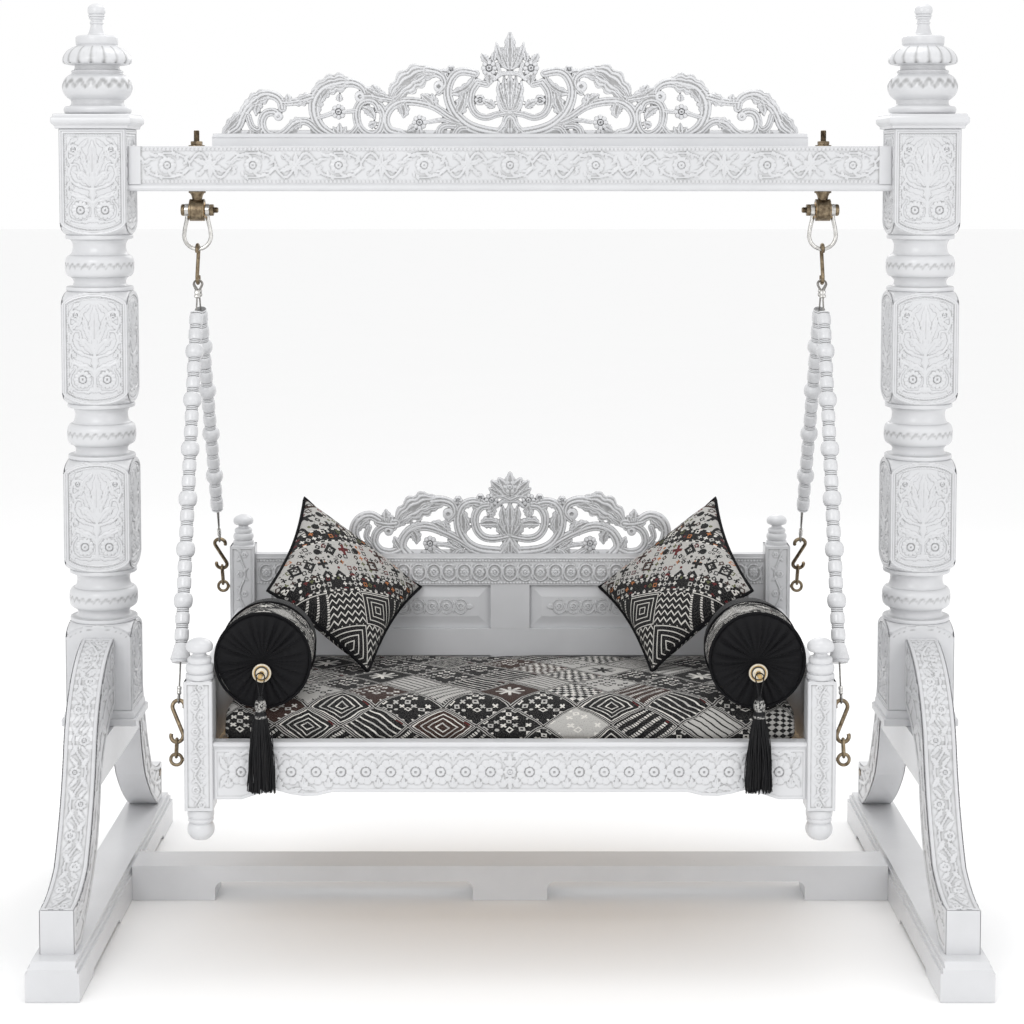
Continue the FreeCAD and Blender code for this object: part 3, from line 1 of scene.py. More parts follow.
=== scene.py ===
import math
import bmesh
import bpy
import numpy as np
from bpy.props import FloatProperty, FloatVectorProperty, PointerProperty
from bpy.types import Operator, Panel, PropertyGroup
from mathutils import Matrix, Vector


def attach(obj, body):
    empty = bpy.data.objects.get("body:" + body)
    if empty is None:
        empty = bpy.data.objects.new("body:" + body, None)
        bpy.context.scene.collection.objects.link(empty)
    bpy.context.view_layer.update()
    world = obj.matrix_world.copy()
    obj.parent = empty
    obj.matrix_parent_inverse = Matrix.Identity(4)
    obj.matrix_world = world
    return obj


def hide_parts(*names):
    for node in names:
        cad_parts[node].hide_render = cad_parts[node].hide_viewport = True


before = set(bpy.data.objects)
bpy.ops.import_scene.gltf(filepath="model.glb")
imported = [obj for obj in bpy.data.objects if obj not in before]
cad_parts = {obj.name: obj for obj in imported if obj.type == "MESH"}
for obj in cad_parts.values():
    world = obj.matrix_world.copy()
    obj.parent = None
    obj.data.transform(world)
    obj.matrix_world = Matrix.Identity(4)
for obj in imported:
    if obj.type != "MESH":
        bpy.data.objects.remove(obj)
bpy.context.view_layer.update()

bl_info = {
    "name": "Jhoola Swing",
    "version": (1, 0, 0),
    "blender": (4, 5, 0),
    "location": "View3D > Sidebar > Swing",
    "description": "Dresses a carved indoor swing: painted frame, beaded strands, seat and cushions",
    "category": "Add Mesh",
}

MM = 0.001


# Meshes

def make_piece(name, verts, faces, material, body, smooth=35.0, fields=None):
    """A mesh object in the row frame that rides on a body; fields are per-vertex numbers for its material."""
    mesh = bpy.data.meshes.new(name)
    mesh.from_pydata([tuple(v) for v in verts], [], [tuple(int(i) for i in f) for f in faces])
    mesh.validate()
    for key, values in (fields or {}).items():
        values = np.asarray(values, dtype=np.float32)
        kind = "FLOAT" if values.ndim == 1 else "FLOAT_VECTOR"
        layer = mesh.attributes.new(key, kind, "POINT")
        layer.data.foreach_set("value" if values.ndim == 1 else "vector", values.ravel())
    return dress_mesh(name, mesh, material, body, smooth)


def dress_mesh(name, mesh, material, body, smooth=35.0):
    """The mesh as an object of one material that rides on a body."""
    mesh.materials.clear()
    mesh.materials.append(material)
    mesh.shade_smooth()
    if smooth:
        mesh.set_sharp_from_angle(angle=math.radians(smooth))
    piece = bpy.data.objects.new(name, mesh)
    bpy.context.scene.collection.objects.link(piece)
    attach(piece, body)
    return piece


def join(parts):
    """Several (verts, faces, painted shade) as one."""
    verts, faces, recess_shade, base = [], [], [], 0
    for part in parts:
        v, f = np.asarray(part[0], dtype=float), part[1]
        verts.append(v)
        faces += [[i + base for i in face] for face in f]
        recess_shade.append(part[2] if len(part) > 2 and part[2] is not None else np.zeros(len(v)))
        base += len(v)
    return np.concatenate(verts), faces, np.concatenate(recess_shade)


def grid_faces(rows, columns, closed=False):
    """The faces of a grid of points; closed joins its last column to its first."""
    faces = []
    for i in range(rows - 1):
        for j in range(columns if closed else columns - 1):
            k = (j + 1) % columns
            faces.append((i * columns + j, i * columns + k, (i + 1) * columns + k, (i + 1) * columns + j))
    return faces


def mirror_part(part):
    """The part's mirror image across the middle of the swing."""
    verts = np.array(part[0], dtype=float)
    verts[:, 0] *= -1
    return (verts, [face[::-1] for face in part[1]]) + tuple(part[2:])


def outward(part, right):
    """The part with its faces turned round unless they are right already."""
    return part if right else (part[0], [face[::-1] for face in part[1]]) + tuple(part[2:])


def signed_volume(verts, faces):
    """The volume inside a closed part; it is negative where the faces look inwards."""
    return sum(verts[f[0]].dot(np.cross(verts[f[i]], verts[f[i + 1]])) for f in faces for i in range(1, len(f) - 1)) / 6


def moved(part, offset=(0, 0, 0), turn=None):
    """The part turned by a matrix and then shifted."""
    verts = np.array(part[0], dtype=float)
    if turn is not None:
        verts = verts @ np.array(turn.to_3x3()).T
    return (verts + np.array(offset),) + tuple(part[1:])


def lathe(levels, segments=48, ripple=None, start=0.0):
    """A turned form from (height, radius) levels; ripple(angle, height, radius) may carve it."""
    turn = start + np.linspace(0, 2 * math.pi, segments, endpoint=False)
    verts = []
    for z, r in levels:
        radius = np.full(segments, max(r, 1e-5))
        if ripple is not None:
            radius = radius + ripple(turn, z, r)
        verts.append(np.stack([radius * np.cos(turn), radius * np.sin(turn), np.full(segments, z)], 1))
    count = len(levels)
    verts = np.concatenate(verts)
    faces = grid_faces(count, segments, True)
    low, high = len(verts), len(verts) + 1
    verts = np.vstack([verts, [0, 0, levels[0][0]], [0, 0, levels[-1][0]]])
    for j in range(segments):
        k = (j + 1) % segments
        faces.append((low, k, j))
        faces.append((high, (count - 1) * segments + j, (count - 1) * segments + k))
    return verts, faces


def smooth_levels(points, per_span=5):
    """Levels on a smooth line through points; a repeated point makes a corner."""
    levels = [points[0]]
    count = len(points)
    for i in range(count - 1):
        p1, p2 = np.array(points[i]), np.array(points[i + 1])
        if np.allclose(p1, p2):
            continue
        p0 = np.array(points[i - 1]) if i > 0 else p1
        p3 = np.array(points[i + 2]) if i + 2 < count else p2
        for s in range(1, per_span + 1):
            t = s / per_span
            q = 0.5 * (2 * p1 + (p2 - p0) * t + (2 * p0 - 5 * p1 + 4 * p2 - p3) * t * t
                       + (3 * p1 - p0 - 3 * p2 + p3) * t ** 3)
            levels.append((float(q[0]), max(float(q[1]), 1e-5)))
    return levels


def curve_through(points, per_span=8, closed=False):
    """A smooth line through points in space."""
    pts = [np.array(p, dtype=float) for p in points]
    count = len(pts)
    out = [] if closed else [pts[0]]
    for i in range(count if closed else count - 1):
        p1, p2 = pts[i], pts[(i + 1) % count]
        p0 = pts[i - 1] if closed or i > 0 else p1
        p3 = pts[(i + 2) % count] if closed or i + 2 < count else p2
        for s in range(1, per_span + 1):
            t = s / per_span
            out.append(0.5 * (2 * p1 + (p2 - p0) * t + (2 * p0 - 5 * p1 + 4 * p2 - p3) * t * t
                              + (3 * p1 - p0 - 3 * p2 + p3) * t ** 3))
    return np.array(out)


def tube(path, radius, sides=12, closed=False, twist=0.0):
    """A tube along path; radius is one number or one per point."""
    path = np.asarray(path, dtype=float)
    count = len(path)
    radii = np.broadcast_to(np.asarray(radius, dtype=float), (count,))
    ahead = np.roll(path, -1, 0) - np.roll(path, 1, 0)
    if not closed:
        ahead[0], ahead[-1] = path[1] - path[0], path[-1] - path[-2]
    ahead /= np.linalg.norm(ahead, axis=1)[:, None] + 1e-12
    side = np.cross(ahead[0], (0, 0, 1.0) if abs(ahead[0][2]) < 0.9 else (1.0, 0, 0))
    side /= np.linalg.norm(side)
    verts = []
    turn = np.linspace(0, 2 * math.pi, sides, endpoint=False)
    for i in range(count):
        side = side - ahead[i] * side.dot(ahead[i])
        side /= np.linalg.norm(side)
        other = np.cross(ahead[i], side)
        a = turn + twist * i
        verts.append(path[i] + radii[i] * (np.cos(a)[:, None] * side + np.sin(a)[:, None] * other))
    verts = np.concatenate(verts)
    faces = grid_faces(count, sides, True)
    if closed:
        faces += [((count - 1) * sides + j, (count - 1) * sides + (j + 1) % sides, (j + 1) % sides, j)
                  for j in range(sides)]
    else:
        faces += [tuple(range(sides))[::-1], tuple((count - 1) * sides + j for j in range(sides))]
    return verts, faces


def block(low, high, bevel=0.0015):
    """A block between two corners with softened edges."""
    bm = bmesh.new()
    bmesh.ops.create_cube(bm, size=1.0)
    low, high = np.array(low, dtype=float), np.array(high, dtype=float)
    for v in bm.verts:
        for k in range(3):
            v.co[k] = (low[k] + high[k]) / 2 + v.co[k] * (high[k] - low[k])
    bmesh.ops.bevel(bm, geom=list(bm.edges), offset=bevel, segments=2, profile=0.5, affect="EDGES")
    part = bm_part(bm)
    return part


def bm_part(bm):
    """The vertices and faces of an edit mesh, which is freed."""
    verts = np.array([v.co[:] for v in bm.verts])
    bm.verts.index_update()
    faces = [[v.index for v in f.verts] for f in bm.faces]
    bm.free()
    return verts, faces


# Carving: ornament drawn as heights over a flat grid, in metres

class Carving:
    """A flat ground on which stems, leaves and flowers are raised; edge is how far inside a form a point lies."""

    def __init__(self, width, height, step, low=(0.0, 0.0)):
        self.columns = max(int(round(width / step)) + 1, 2)
        self.rows = max(int(round(height / step)) + 1, 2)
        self.xs = low[0] + np.linspace(0, width, self.columns)
        self.ys = low[1] + np.linspace(0, height, self.rows)
        self.x, self.y = np.meshgrid(self.xs, self.ys)
        self.height = np.zeros_like(self.x)
        self.edge = np.full_like(self.x, -1.0)
        self.step = step

    def window(self, low, high, pad=0.004):
        """The part of the board between two corners, or None."""
        i0, i1 = np.searchsorted(self.ys, (low[1] - pad, high[1] + pad))
        j0, j1 = np.searchsorted(self.xs, (low[0] - pad, high[0] + pad))
        if i1 <= i0 or j1 <= j0:
            return None
        return slice(i0, i1), slice(j0, j1)

    def raise_form(self, part, inside, height):
        """Lift the board to height wherever inside is positive."""
        here = inside > 0
        self.height[part] = np.where(here, np.maximum(self.height[part], height), self.height[part])
        self.edge[part] = np.maximum(self.edge[part], inside)

    def stem(self, points, width, end_width=None, height=0.003, groove=0.0):
        """A rounded stem along points, tapering from width to end_width."""
        pts = np.asarray(points, dtype=float)
        end_width = width if end_width is None else end_width
        part = self.window(pts.min(0) - width, pts.max(0) + width)
        if part is None:
            return
        x, y = self.x[part], self.y[part]
        steps = np.linalg.norm(np.diff(pts, axis=0), axis=1)
        run = np.concatenate([[0], np.cumsum(steps)]) / max(steps.sum(), 1e-9)
        best = np.full(x.shape, 1e3)
        share, side = np.zeros(x.shape), np.zeros(x.shape)
        for a, b, ra, rb in zip(pts[:-1], pts[1:], run[:-1], run[1:]):
            d = b - a
            t = np.clip(((x - a[0]) * d[0] + (y - a[1]) * d[1]) / max(d.dot(d), 1e-12), 0, 1)
            dist = np.hypot(x - a[0] - t * d[0], y - a[1] - t * d[1])
            nearer = dist < best
            best = np.where(nearer, dist, best)
            share = np.where(nearer, ra + t * (rb - ra), share)
            side = np.where(nearer, np.sign(d[0] * (y - a[1]) - d[1] * (x - a[0])), side)
        half = (width + (end_width - width) * share) / 2
        ratio = np.clip(best / half, 0, 1)
        rise = height * np.sqrt(1 - ratio ** 2) ** 0.8
        if groove:
            for at in (-0.42, 0.36) if width > 7 * self.step else (0.0,):
                line = np.maximum((0.28 if at == 0 else 0.17) * half, 0.55 * self.step)
                cut = np.exp(-((best * side - at * half) / line) ** 2)
                rise = rise * (1 - groove * cut * np.clip(half / self.step / 2.4 - 0.6, 0, 1))
        self.raise_form(part, half - best, rise)

    def leaf(self, base, tip, width, bend=0.0, height=0.003, lobes=4, flutes=3):
        """A curved leaf from base to tip with lobed edges, fluted from its midrib outwards."""
        base, tip = np.array(base, dtype=float), np.array(tip, dtype=float)
        d = tip - base
        normal = np.array((-d[1], d[0]))
        middle = (base + tip) / 2 + normal * bend
        ts = np.linspace(0, 1, 15)
        axis = np.outer((1 - ts) ** 2, base) + np.outer(2 * ts * (1 - ts), middle) + np.outer(ts ** 2, tip)
        part = self.window(axis.min(0) - width, axis.max(0) + width)
        if part is None:
            return
        x, y = self.x[part], self.y[part]
        best = np.full(x.shape, 1e3)
        share, side = np.zeros(x.shape), np.zeros(x.shape)
        for i in range(len(axis) - 1):
            a, b = axis[i], axis[i + 1]
            e = b - a
            t = np.clip(((x - a[0]) * e[0] + (y - a[1]) * e[1]) / max(e.dot(e), 1e-12), 0, 1)
            dx, dy = x - a[0] - t * e[0], y - a[1] - t * e[1]
            dist = np.hypot(dx, dy)
            nearer = dist < best
            best = np.where(nearer, dist, best)
            share = np.where(nearer, (i + t) / (len(axis) - 1), share)
            side = np.where(nearer, np.sign(e[0] * dy - e[1] * dx), side)
        shape = np.sin(math.pi * np.clip(share, 0.001, 0.999) ** 0.75) ** 0.7
        lobe = 1 - 0.22 * np.abs(np.sin(math.pi * lobes * share)) ** 3
        half = width / 2 * shape * lobe + 1e-5
        ratio = np.clip(best / half, 0, 1)
        vein = 1 - 0.5 * np.exp(-(best / np.maximum(0.14 * half, 0.6 * self.step)) ** 2)
        depth = 0.3 * np.clip(half / (flutes * 2.2 * self.step), 0, 1) ** 2
        ribs = 1 - depth * (0.5 - 0.5 * np.cos(2 * math.pi * flutes * ratio))
        rise = height * (1 - 0.55 * ratio ** 2) * vein * ribs * (0.55 + 0.45 * shape)
        inside = half - best
        rise = rise * np.clip(inside / 0.0009, 0, 1) ** 0.5
        self.raise_form(part, inside, rise)

    def flower(self, at, radius, petals=8, height=0.0035, boss=0.34, turn=0.0):
        """A rosette: petals round a domed boss with a drilled eye."""
        part = self.window((at[0] - radius, at[1] - radius), (at[0] + radius, at[1] + radius))
        if part is None:
            return
        x, y = self.x[part] - at[0], self.y[part] - at[1]
        r, a = np.hypot(x, y), np.arctan2(y, x) + turn
        wave = np.abs(np.cos(a * petals / 2))
        rim = radius * (0.84 + 0.16 * wave ** 0.6)
        ratio = np.clip(r / rim, 0, 1)
        petal = (0.45 + 0.4 * wave ** 0.5) * (0.35 + 0.65 * np.sin(math.pi * np.clip(ratio, 0, 1) ** 0.9 * 0.86))
        core = r / (radius * boss)
        dome = np.where(core < 1, 0.55 + 0.45 * np.sqrt(np.clip(1 - core ** 2, 0, 1)), 0)
        dome = np.where(core < 0.34, 0.15, dome)
        ring = np.where((core > 1) & (core < 1.28), 0.15, 1.0)
        rise = height * np.maximum(petal * ring, dome)
        inside = rim - r
        self.raise_form(part, inside, rise * np.clip(inside / 0.0008, 0.05, 1) ** 0.5)

    def fan(self, base, direction, length, spread, count, width, height=0.003, bend=0.12):
        """Leaves that open like a palm from base; direction and spread are in degrees."""
        for i in range(count):
            k = i / (count - 1) * 2 - 1 if count > 1 else 0
            a = math.radians(direction + spread * k)
            reach = length * (1 - 0.32 * abs(k) ** 1.5)
            tip = (base[0] + reach * math.cos(a), base[1] + reach * math.sin(a))
            self.leaf(base, tip, width, -bend * k, height * (1 - 0.12 * abs(k)), 3, 2)

    def rows_of(self, low, high, margin, frame_height, bead=0.0):
        """A flat margin inside a rectangle's edge, and a beaded line inside the margin."""
        x, y = self.x, self.y
        inset = np.minimum(np.minimum(x - low[0], high[0] - x), np.minimum(y - low[1], high[1] - y))
        self.frame_from(inset, margin, frame_height, bead)

    def frame_from(self, inset, margin, frame_height, bead=0.0):
        """A raised frame along the edge, from each point's distance to it."""
        self.inset = inset
        flat = np.where(inset < margin, frame_height, 0)
        soft = np.clip((inset + 0.0002) / 0.0014, 0, 1) ** 0.5
        groove = np.exp(-((inset - margin * 0.55) / 0.0011) ** 2) * 0.45
        self.height = np.maximum(self.height, flat * soft * (1 - np.where(inset < margin, groove, 0)))
        if bead:
            middle = margin + bead * 1.1
            across = (inset - middle) / (bead * 0.5)
            along = np.where(np.abs(np.gradient(inset, axis=1)) > np.abs(np.gradient(inset, axis=0)), self.y, self.x)
            pearl = 0.35 + 0.65 * np.abs(np.sin(math.pi * along / (bead * 1.5)))
            ball = np.sqrt(np.clip(1 - across ** 2, 0, 1)) * pearl
            self.height = np.maximum(self.height, ball * frame_height * 0.85)

    def recess_shade(self):
        """How deep each point lies below what surrounds it, from 0 to 1: the painted shade put into the carving's
        hollows.
        """
        h = self.height
        wide, dark = h.copy(), np.zeros_like(h)
        # Painted shade from two blurs: fine lines at the forms' edges and a wider shade over deep ground.
        for count in range(26):
            padded = np.pad(wide, 1, mode="edge")
            wide = (padded[:-2, 1:-1] + padded[2:, 1:-1] + padded[1:-1, :-2] + padded[1:-1, 2:] + 2 * wide) / 6
            if count in (3, 25):
                dark += np.clip((wide - h) / (0.0010 if count == 3 else 0.0017), 0, 1) * (0.7 if count == 3 else 0.6)
        return np.clip(dark, 0, 1)

    def skin(self, place, keep=None):
        """The carved ground as a mesh: place(x, y, height) gives points in space; keep says which points stay."""
        verts = place(self.x.ravel(), self.y.ravel(), self.height.ravel())
        faces = grid_faces(self.rows, self.columns)
        # The painted shade of each point goes with the mesh as its third list.
        recess_shade = self.recess_shade().ravel()
        if keep is not None:
            ok = keep.ravel()
            faces = [f for f in faces if ok[f[0]] and ok[f[1]] and ok[f[2]] and ok[f[3]]]
            used = np.zeros(len(verts), bool)
            used[np.array(faces).ravel()] = True
            new = np.cumsum(used) - 1
            faces = [[int(new[i]) for i in f] for f in faces]
            verts, recess_shade = verts[used], recess_shade[used]
        return verts, faces, recess_shade

    def openwork(self, depth, place, lip=0.25):
        """The raised forms alone, cut through between them, as a board carved on both faces."""
        step = self.step
        gy, gx = np.gradient(self.edge, self.ys, self.xs)
        slope = np.maximum(gx ** 2 + gy ** 2, 0.15)
        inside = self.edge > 0
        near = inside.copy()
        near[:, 1:] |= inside[:, :-1]
        near[:, :-1] |= inside[:, 1:]
        grown = near.copy()
        grown[1:] |= near[:-1]
        grown[:-1] |= near[1:]
        pull = np.where(inside, 0, np.clip(-self.edge, 0, 1.6 * step))
        x = self.x + pull * gx / slope * (~inside)
        y = self.y + pull * gy / slope * (~inside)
        top = self.height.max()
        rise = lip + (1 - lip) * np.where(inside, self.height / top, 0)
        rise = np.where(inside, rise, lip * 0.8)
        ok = grown.ravel()
        faces = [f for f in grid_faces(self.rows, self.columns)
                 if ok[f[0]] and ok[f[1]] and ok[f[2]] and ok[f[3]] and (inside.ravel()[list(f)].any())]
        used = np.zeros(self.rows * self.columns, bool)
        used[np.array(faces).ravel()] = True
        new = np.cumsum(used) - 1
        faces = [[int(new[i]) for i in f] for f in faces]
        keep_x, keep_y, keep_h = x.ravel()[used], y.ravel()[used], rise.ravel()[used] * depth / 2
        # Painted shade at half strength on the cut sides between the forms.
        recess_shade = np.maximum(self.recess_shade(), np.where(inside, 0, 0.5)).ravel()[used]
        front, back = place(keep_x, keep_y, keep_h), place(keep_x, keep_y, -keep_h)
        count = len(front)
        rim = {}
        for f in faces:
            for a, b in zip(f, f[1:] + f[:1]):
                if (b, a) in rim:
                    del rim[(b, a)]
                else:
                    rim[(a, b)] = True
        sides = [(a + count, b + count, b, a) for a, b in rim]
        both = [tuple(f) for f in faces] + [tuple(i + count for i in f[::-1]) for f in faces] + sides
        return np.vstack([front, back]), both, np.concatenate([recess_shade, recess_shade])


def draw_forms(carving, forms, scale=MM, height=1.0, flip=False, full=1.0):
    """Raise a table of forms, given in millimetres; flip draws its mirror image, and full widens them."""
    sign = -1 if flip else 1
    place = lambda p: (p[0] * scale * sign, p[1] * scale)
    for form in forms:
        kind = form[0]
        if kind == "stem":
            line = curve_through([place(p) for p in form[1]], 6)
            carving.stem(line, form[2] * scale * full, form[3] * scale * full, height * 0.92, 0.42)
        elif kind == "leaf":
            width = form[3] * scale * full
            carving.leaf(place(form[1]), place(form[2]), width, form[4] * sign, height, 4, 3)
        elif kind == "flower":
            carving.flower(place(form[1]), form[2] * scale, form[3], height * 1.05)
        elif kind == "ball":
            at, radius = place(form[1]), form[2] * scale
            carving.flower(at, radius, 1, height, 0.95)
        elif kind == "fan":
            direction = form[2] if sign > 0 else 180 - form[2]
            carving.fan(place(form[1]), direction, form[3] * scale, form[4], form[5], form[6] * scale * full, height)


BLOCK_LEAVES = [
    (2, 44, 43, 64, 15, -0.15), (1, 30, 13, 45, 9, 0.1), (44, 46, 48, 68, 10, 0.1), (4, 72, 37, 101, 18, 0.26),
    (0, 78, 21, 126, 17, 0.12), (14, 108, 21, 143, 13, 0), (31, 122, 20, 156, 13, -0.1), (45, 118, 33, 131, 10, 0.1),
    (24, 148, 7, 165, 11, 0.1), (42, 158, 26, 167, 10, 0.1), (47, 90, 48, 114, 9, 0), (45, 2, 48, 18, 9, 0),
    (20, 50, 34, 44, 9, 0.1), (22, 68, 32, 80, 9, 0.1), (36, 66, 45, 82, 10, -0.1), (8, 4, 22, 2, 8, 0),
]


def vine_block(carving, low, high, height):
    """A block's motif: a flame of leaves over two rosettes, wrapped in scrolling vines."""
    wide, tall = high[0] - low[0], high[1] - low[1]
    cx = (low[0] + high[0]) / 2
    unit = wide / 100
    at = lambda x, y: (cx + x * unit, low[1] + y * tall / 170)
    for s in (-1, 1):
        for width, line in ((5, [(0, 9), (12, 5), (31, 4), (45, 13), (47, 31), (39, 44)]),
                            (5, [(0, 38), (13, 49), (31, 52), (45, 60), (47, 75), (39, 85)]),
                            (6, [(2, 66), (17, 70), (34, 77), (44, 94), (40, 112), (29, 113), (26, 102)]),
                            (5, [(40, 112), (47, 127), (46, 147), (38, 159)])):
            carving.stem(curve_through([at(x * s, y) for x, y in line], 6), width * unit, width * 0.8 * unit,
                         height * 0.85, 0.25)
        for x, y, tip_x, tip_y, width, bend in BLOCK_LEAVES:
            carving.leaf(at(x * s, y), at(tip_x * s, tip_y), width * unit, bend * s, height * 0.92, 3, 2)
        carving.flower(at(23.5 * s, 26), 18 * unit, 12, height, 0.36)
        carving.flower(at(36 * s, 143), 11 * unit, 8, height)
        carving.flower(at(24 * s, 92), 6.5 * unit, 6, height)
    carving.stem([at(0, 6), at(0, 80)], 6 * unit, 6 * unit, height * 0.8, 0.2)
    carving.leaf(at(0, 74), at(0, 163), 25 * unit, 0, height * 1.05, 5, 3)
    carving.leaf(at(0, 46), at(0, 74), 16 * unit, 0, height, 3, 2)
    carving.fan(at(0, 2), 90, 22 * unit, 50, 3, 11 * unit, height)


def vine_strip(carving, low, high, pitch, height, flower=0.62, petals=10):
    """A running vine with a rosette in each bay and a palmette between, mirrored about the strip's middle."""
    wide, tall = high[0] - low[0], high[1] - low[1]
    count = max(int(round(wide / pitch)), 1)
    step = wide / count
    cy = (low[1] + high[1]) / 2
    w = tall * 0.085
    reach_x = min(step * 0.34, tall * 0.80)
    for i in range(count + 1):
        x0 = low[0] + step * i
        middle = x0 + step / 2
        up = 1 if i % 2 == 0 else -1
        at = lambda a, r: (middle + math.cos(math.radians(a)) * reach_x * r,
                           cy + math.sin(math.radians(a)) * tall * 0.43 * r)
        ring = curve_through([at((195 + 265 * k / 12) * up, 1.0) for k in range(13)], 3)
        carving.stem(ring, w, w * 0.8, height * 0.85, 0.25)
        carving.flower((middle, cy), tall * flower / 2, petals, height, 0.36)
        for a in (25, 65, 115, 155, 205, 245, 295, 335):
            carving.leaf(at(a, 0.86), at(a + 14, 1.24), tall * 0.15, 0.15, height * 0.9, 3, 2)
            carving.leaf(at(a, 1.0), at(a - 22, 0.66), tall * 0.12, 0.12, height * 0.85, 3, 2)
        line = [(x0 + step / 2 - reach_x, cy + up * tall * 0.1), (x0 + step * 0.1, cy + up * tall * 0.42),
                (x0 - step * 0.1, cy - up * tall * 0.42), (x0 - step / 2 + reach_x, cy - up * tall * 0.1)]
        carving.stem(curve_through(line, 6), w * 1.1, w, height * 0.85, 0.25)
        carving.fan((x0, cy - up * tall * 0.1), 90 * up, tall * 0.56, 46, 3, tall * 0.22, height)
        carving.fan((x0, cy + up * tall * 0.06), -90 * up, tall * 0.50, 50, 3, tall * 0.19, height)
        for s in (-1, 1):
            carving.leaf((x0 + s * tall * 0.16, cy), (x0 + s * tall * 0.60, cy + up * s * tall * 0.22), tall * 0.2,
                         0.15 * up, height * 0.95, 3, 2)
            carving.leaf((x0 + s * tall * 0.2, cy - up * s * tall * 0.1),
                         (x0 + s * tall * 0.5, cy - up * s * tall * 0.40), tall * 0.16, -0.15 * up, height * 0.9, 3, 2)
            carving.flower((x0 + s * tall * 0.42, cy - up * s * tall * 0.30), tall * 0.085, 5, height)


def ring_strip(carving, low, high, pitch, height):
    """Rosettes wrapped in rings that pass over and under in turn, with a leaf in each gap."""
    count = max(int(round((high[0] - low[0]) / pitch)), 1)
    step, tall = (high[0] - low[0]) / count, high[1] - low[1]
    cy = (low[1] + high[1]) / 2
    for i in range(count):
        x, up = low[0] + step * (i + 0.5), 1 if i % 2 else -1
        turns = np.radians(np.linspace(-30, 300, 16)) * up
        ring = [(x + step * 0.46 * math.cos(a), cy + tall * 0.44 * math.sin(a)) for a in turns]
        carving.stem(curve_through(ring, 3), tall * 0.10, tall * 0.085, height * 0.9, 0.2)
        carving.flower((x, cy), min(step, tall) * 0.31, 8, height, 0.36)
        carving.leaf((x + step * 0.5, cy), (x + step * 0.5, cy + up * tall * 0.48), tall * 0.15, 0.1, height, 2, 2)
        carving.leaf((x + step * 0.42, cy - up * tall * 0.12), (x + step * 0.56, cy - up * tall * 0.47), tall * 0.13,
                     -0.1, height, 2, 2)


def rosette_strip(carving, low, high, pitch, height):
    """Touching rosettes in a row, a wavy leaf border over them and buds between them below."""
    wide, tall = high[0] - low[0], high[1] - low[1]
    count = max(int(round(wide / pitch)), 1)
    step = wide / count
    cy = low[1] + tall * 0.42
    for i in range(count + 1):
        x = low[0] + step * i
        carving.fan((x, low[1]), 90, tall * 0.30, 36, 3, step * 0.2, height * 0.9)
        carving.fan((x, high[1] - tall * 0.06), -90, tall * 0.25, 42, 3, step * 0.2, height * 0.9)
        if i < count:
            wave = [(x + step * k / 8, high[1] - tall * (0.075 + 0.04 * math.cos(math.pi * k / 2))) for k in range(9)]
            carving.stem(curve_through(wave, 3), tall * 0.10, tall * 0.10, height * 0.8, 0.0)
    for i in range(count):
        x = low[0] + step * (i + 0.5)
        carving.flower((x, cy), step * 0.53, 9, height, 0.32)


# Materials

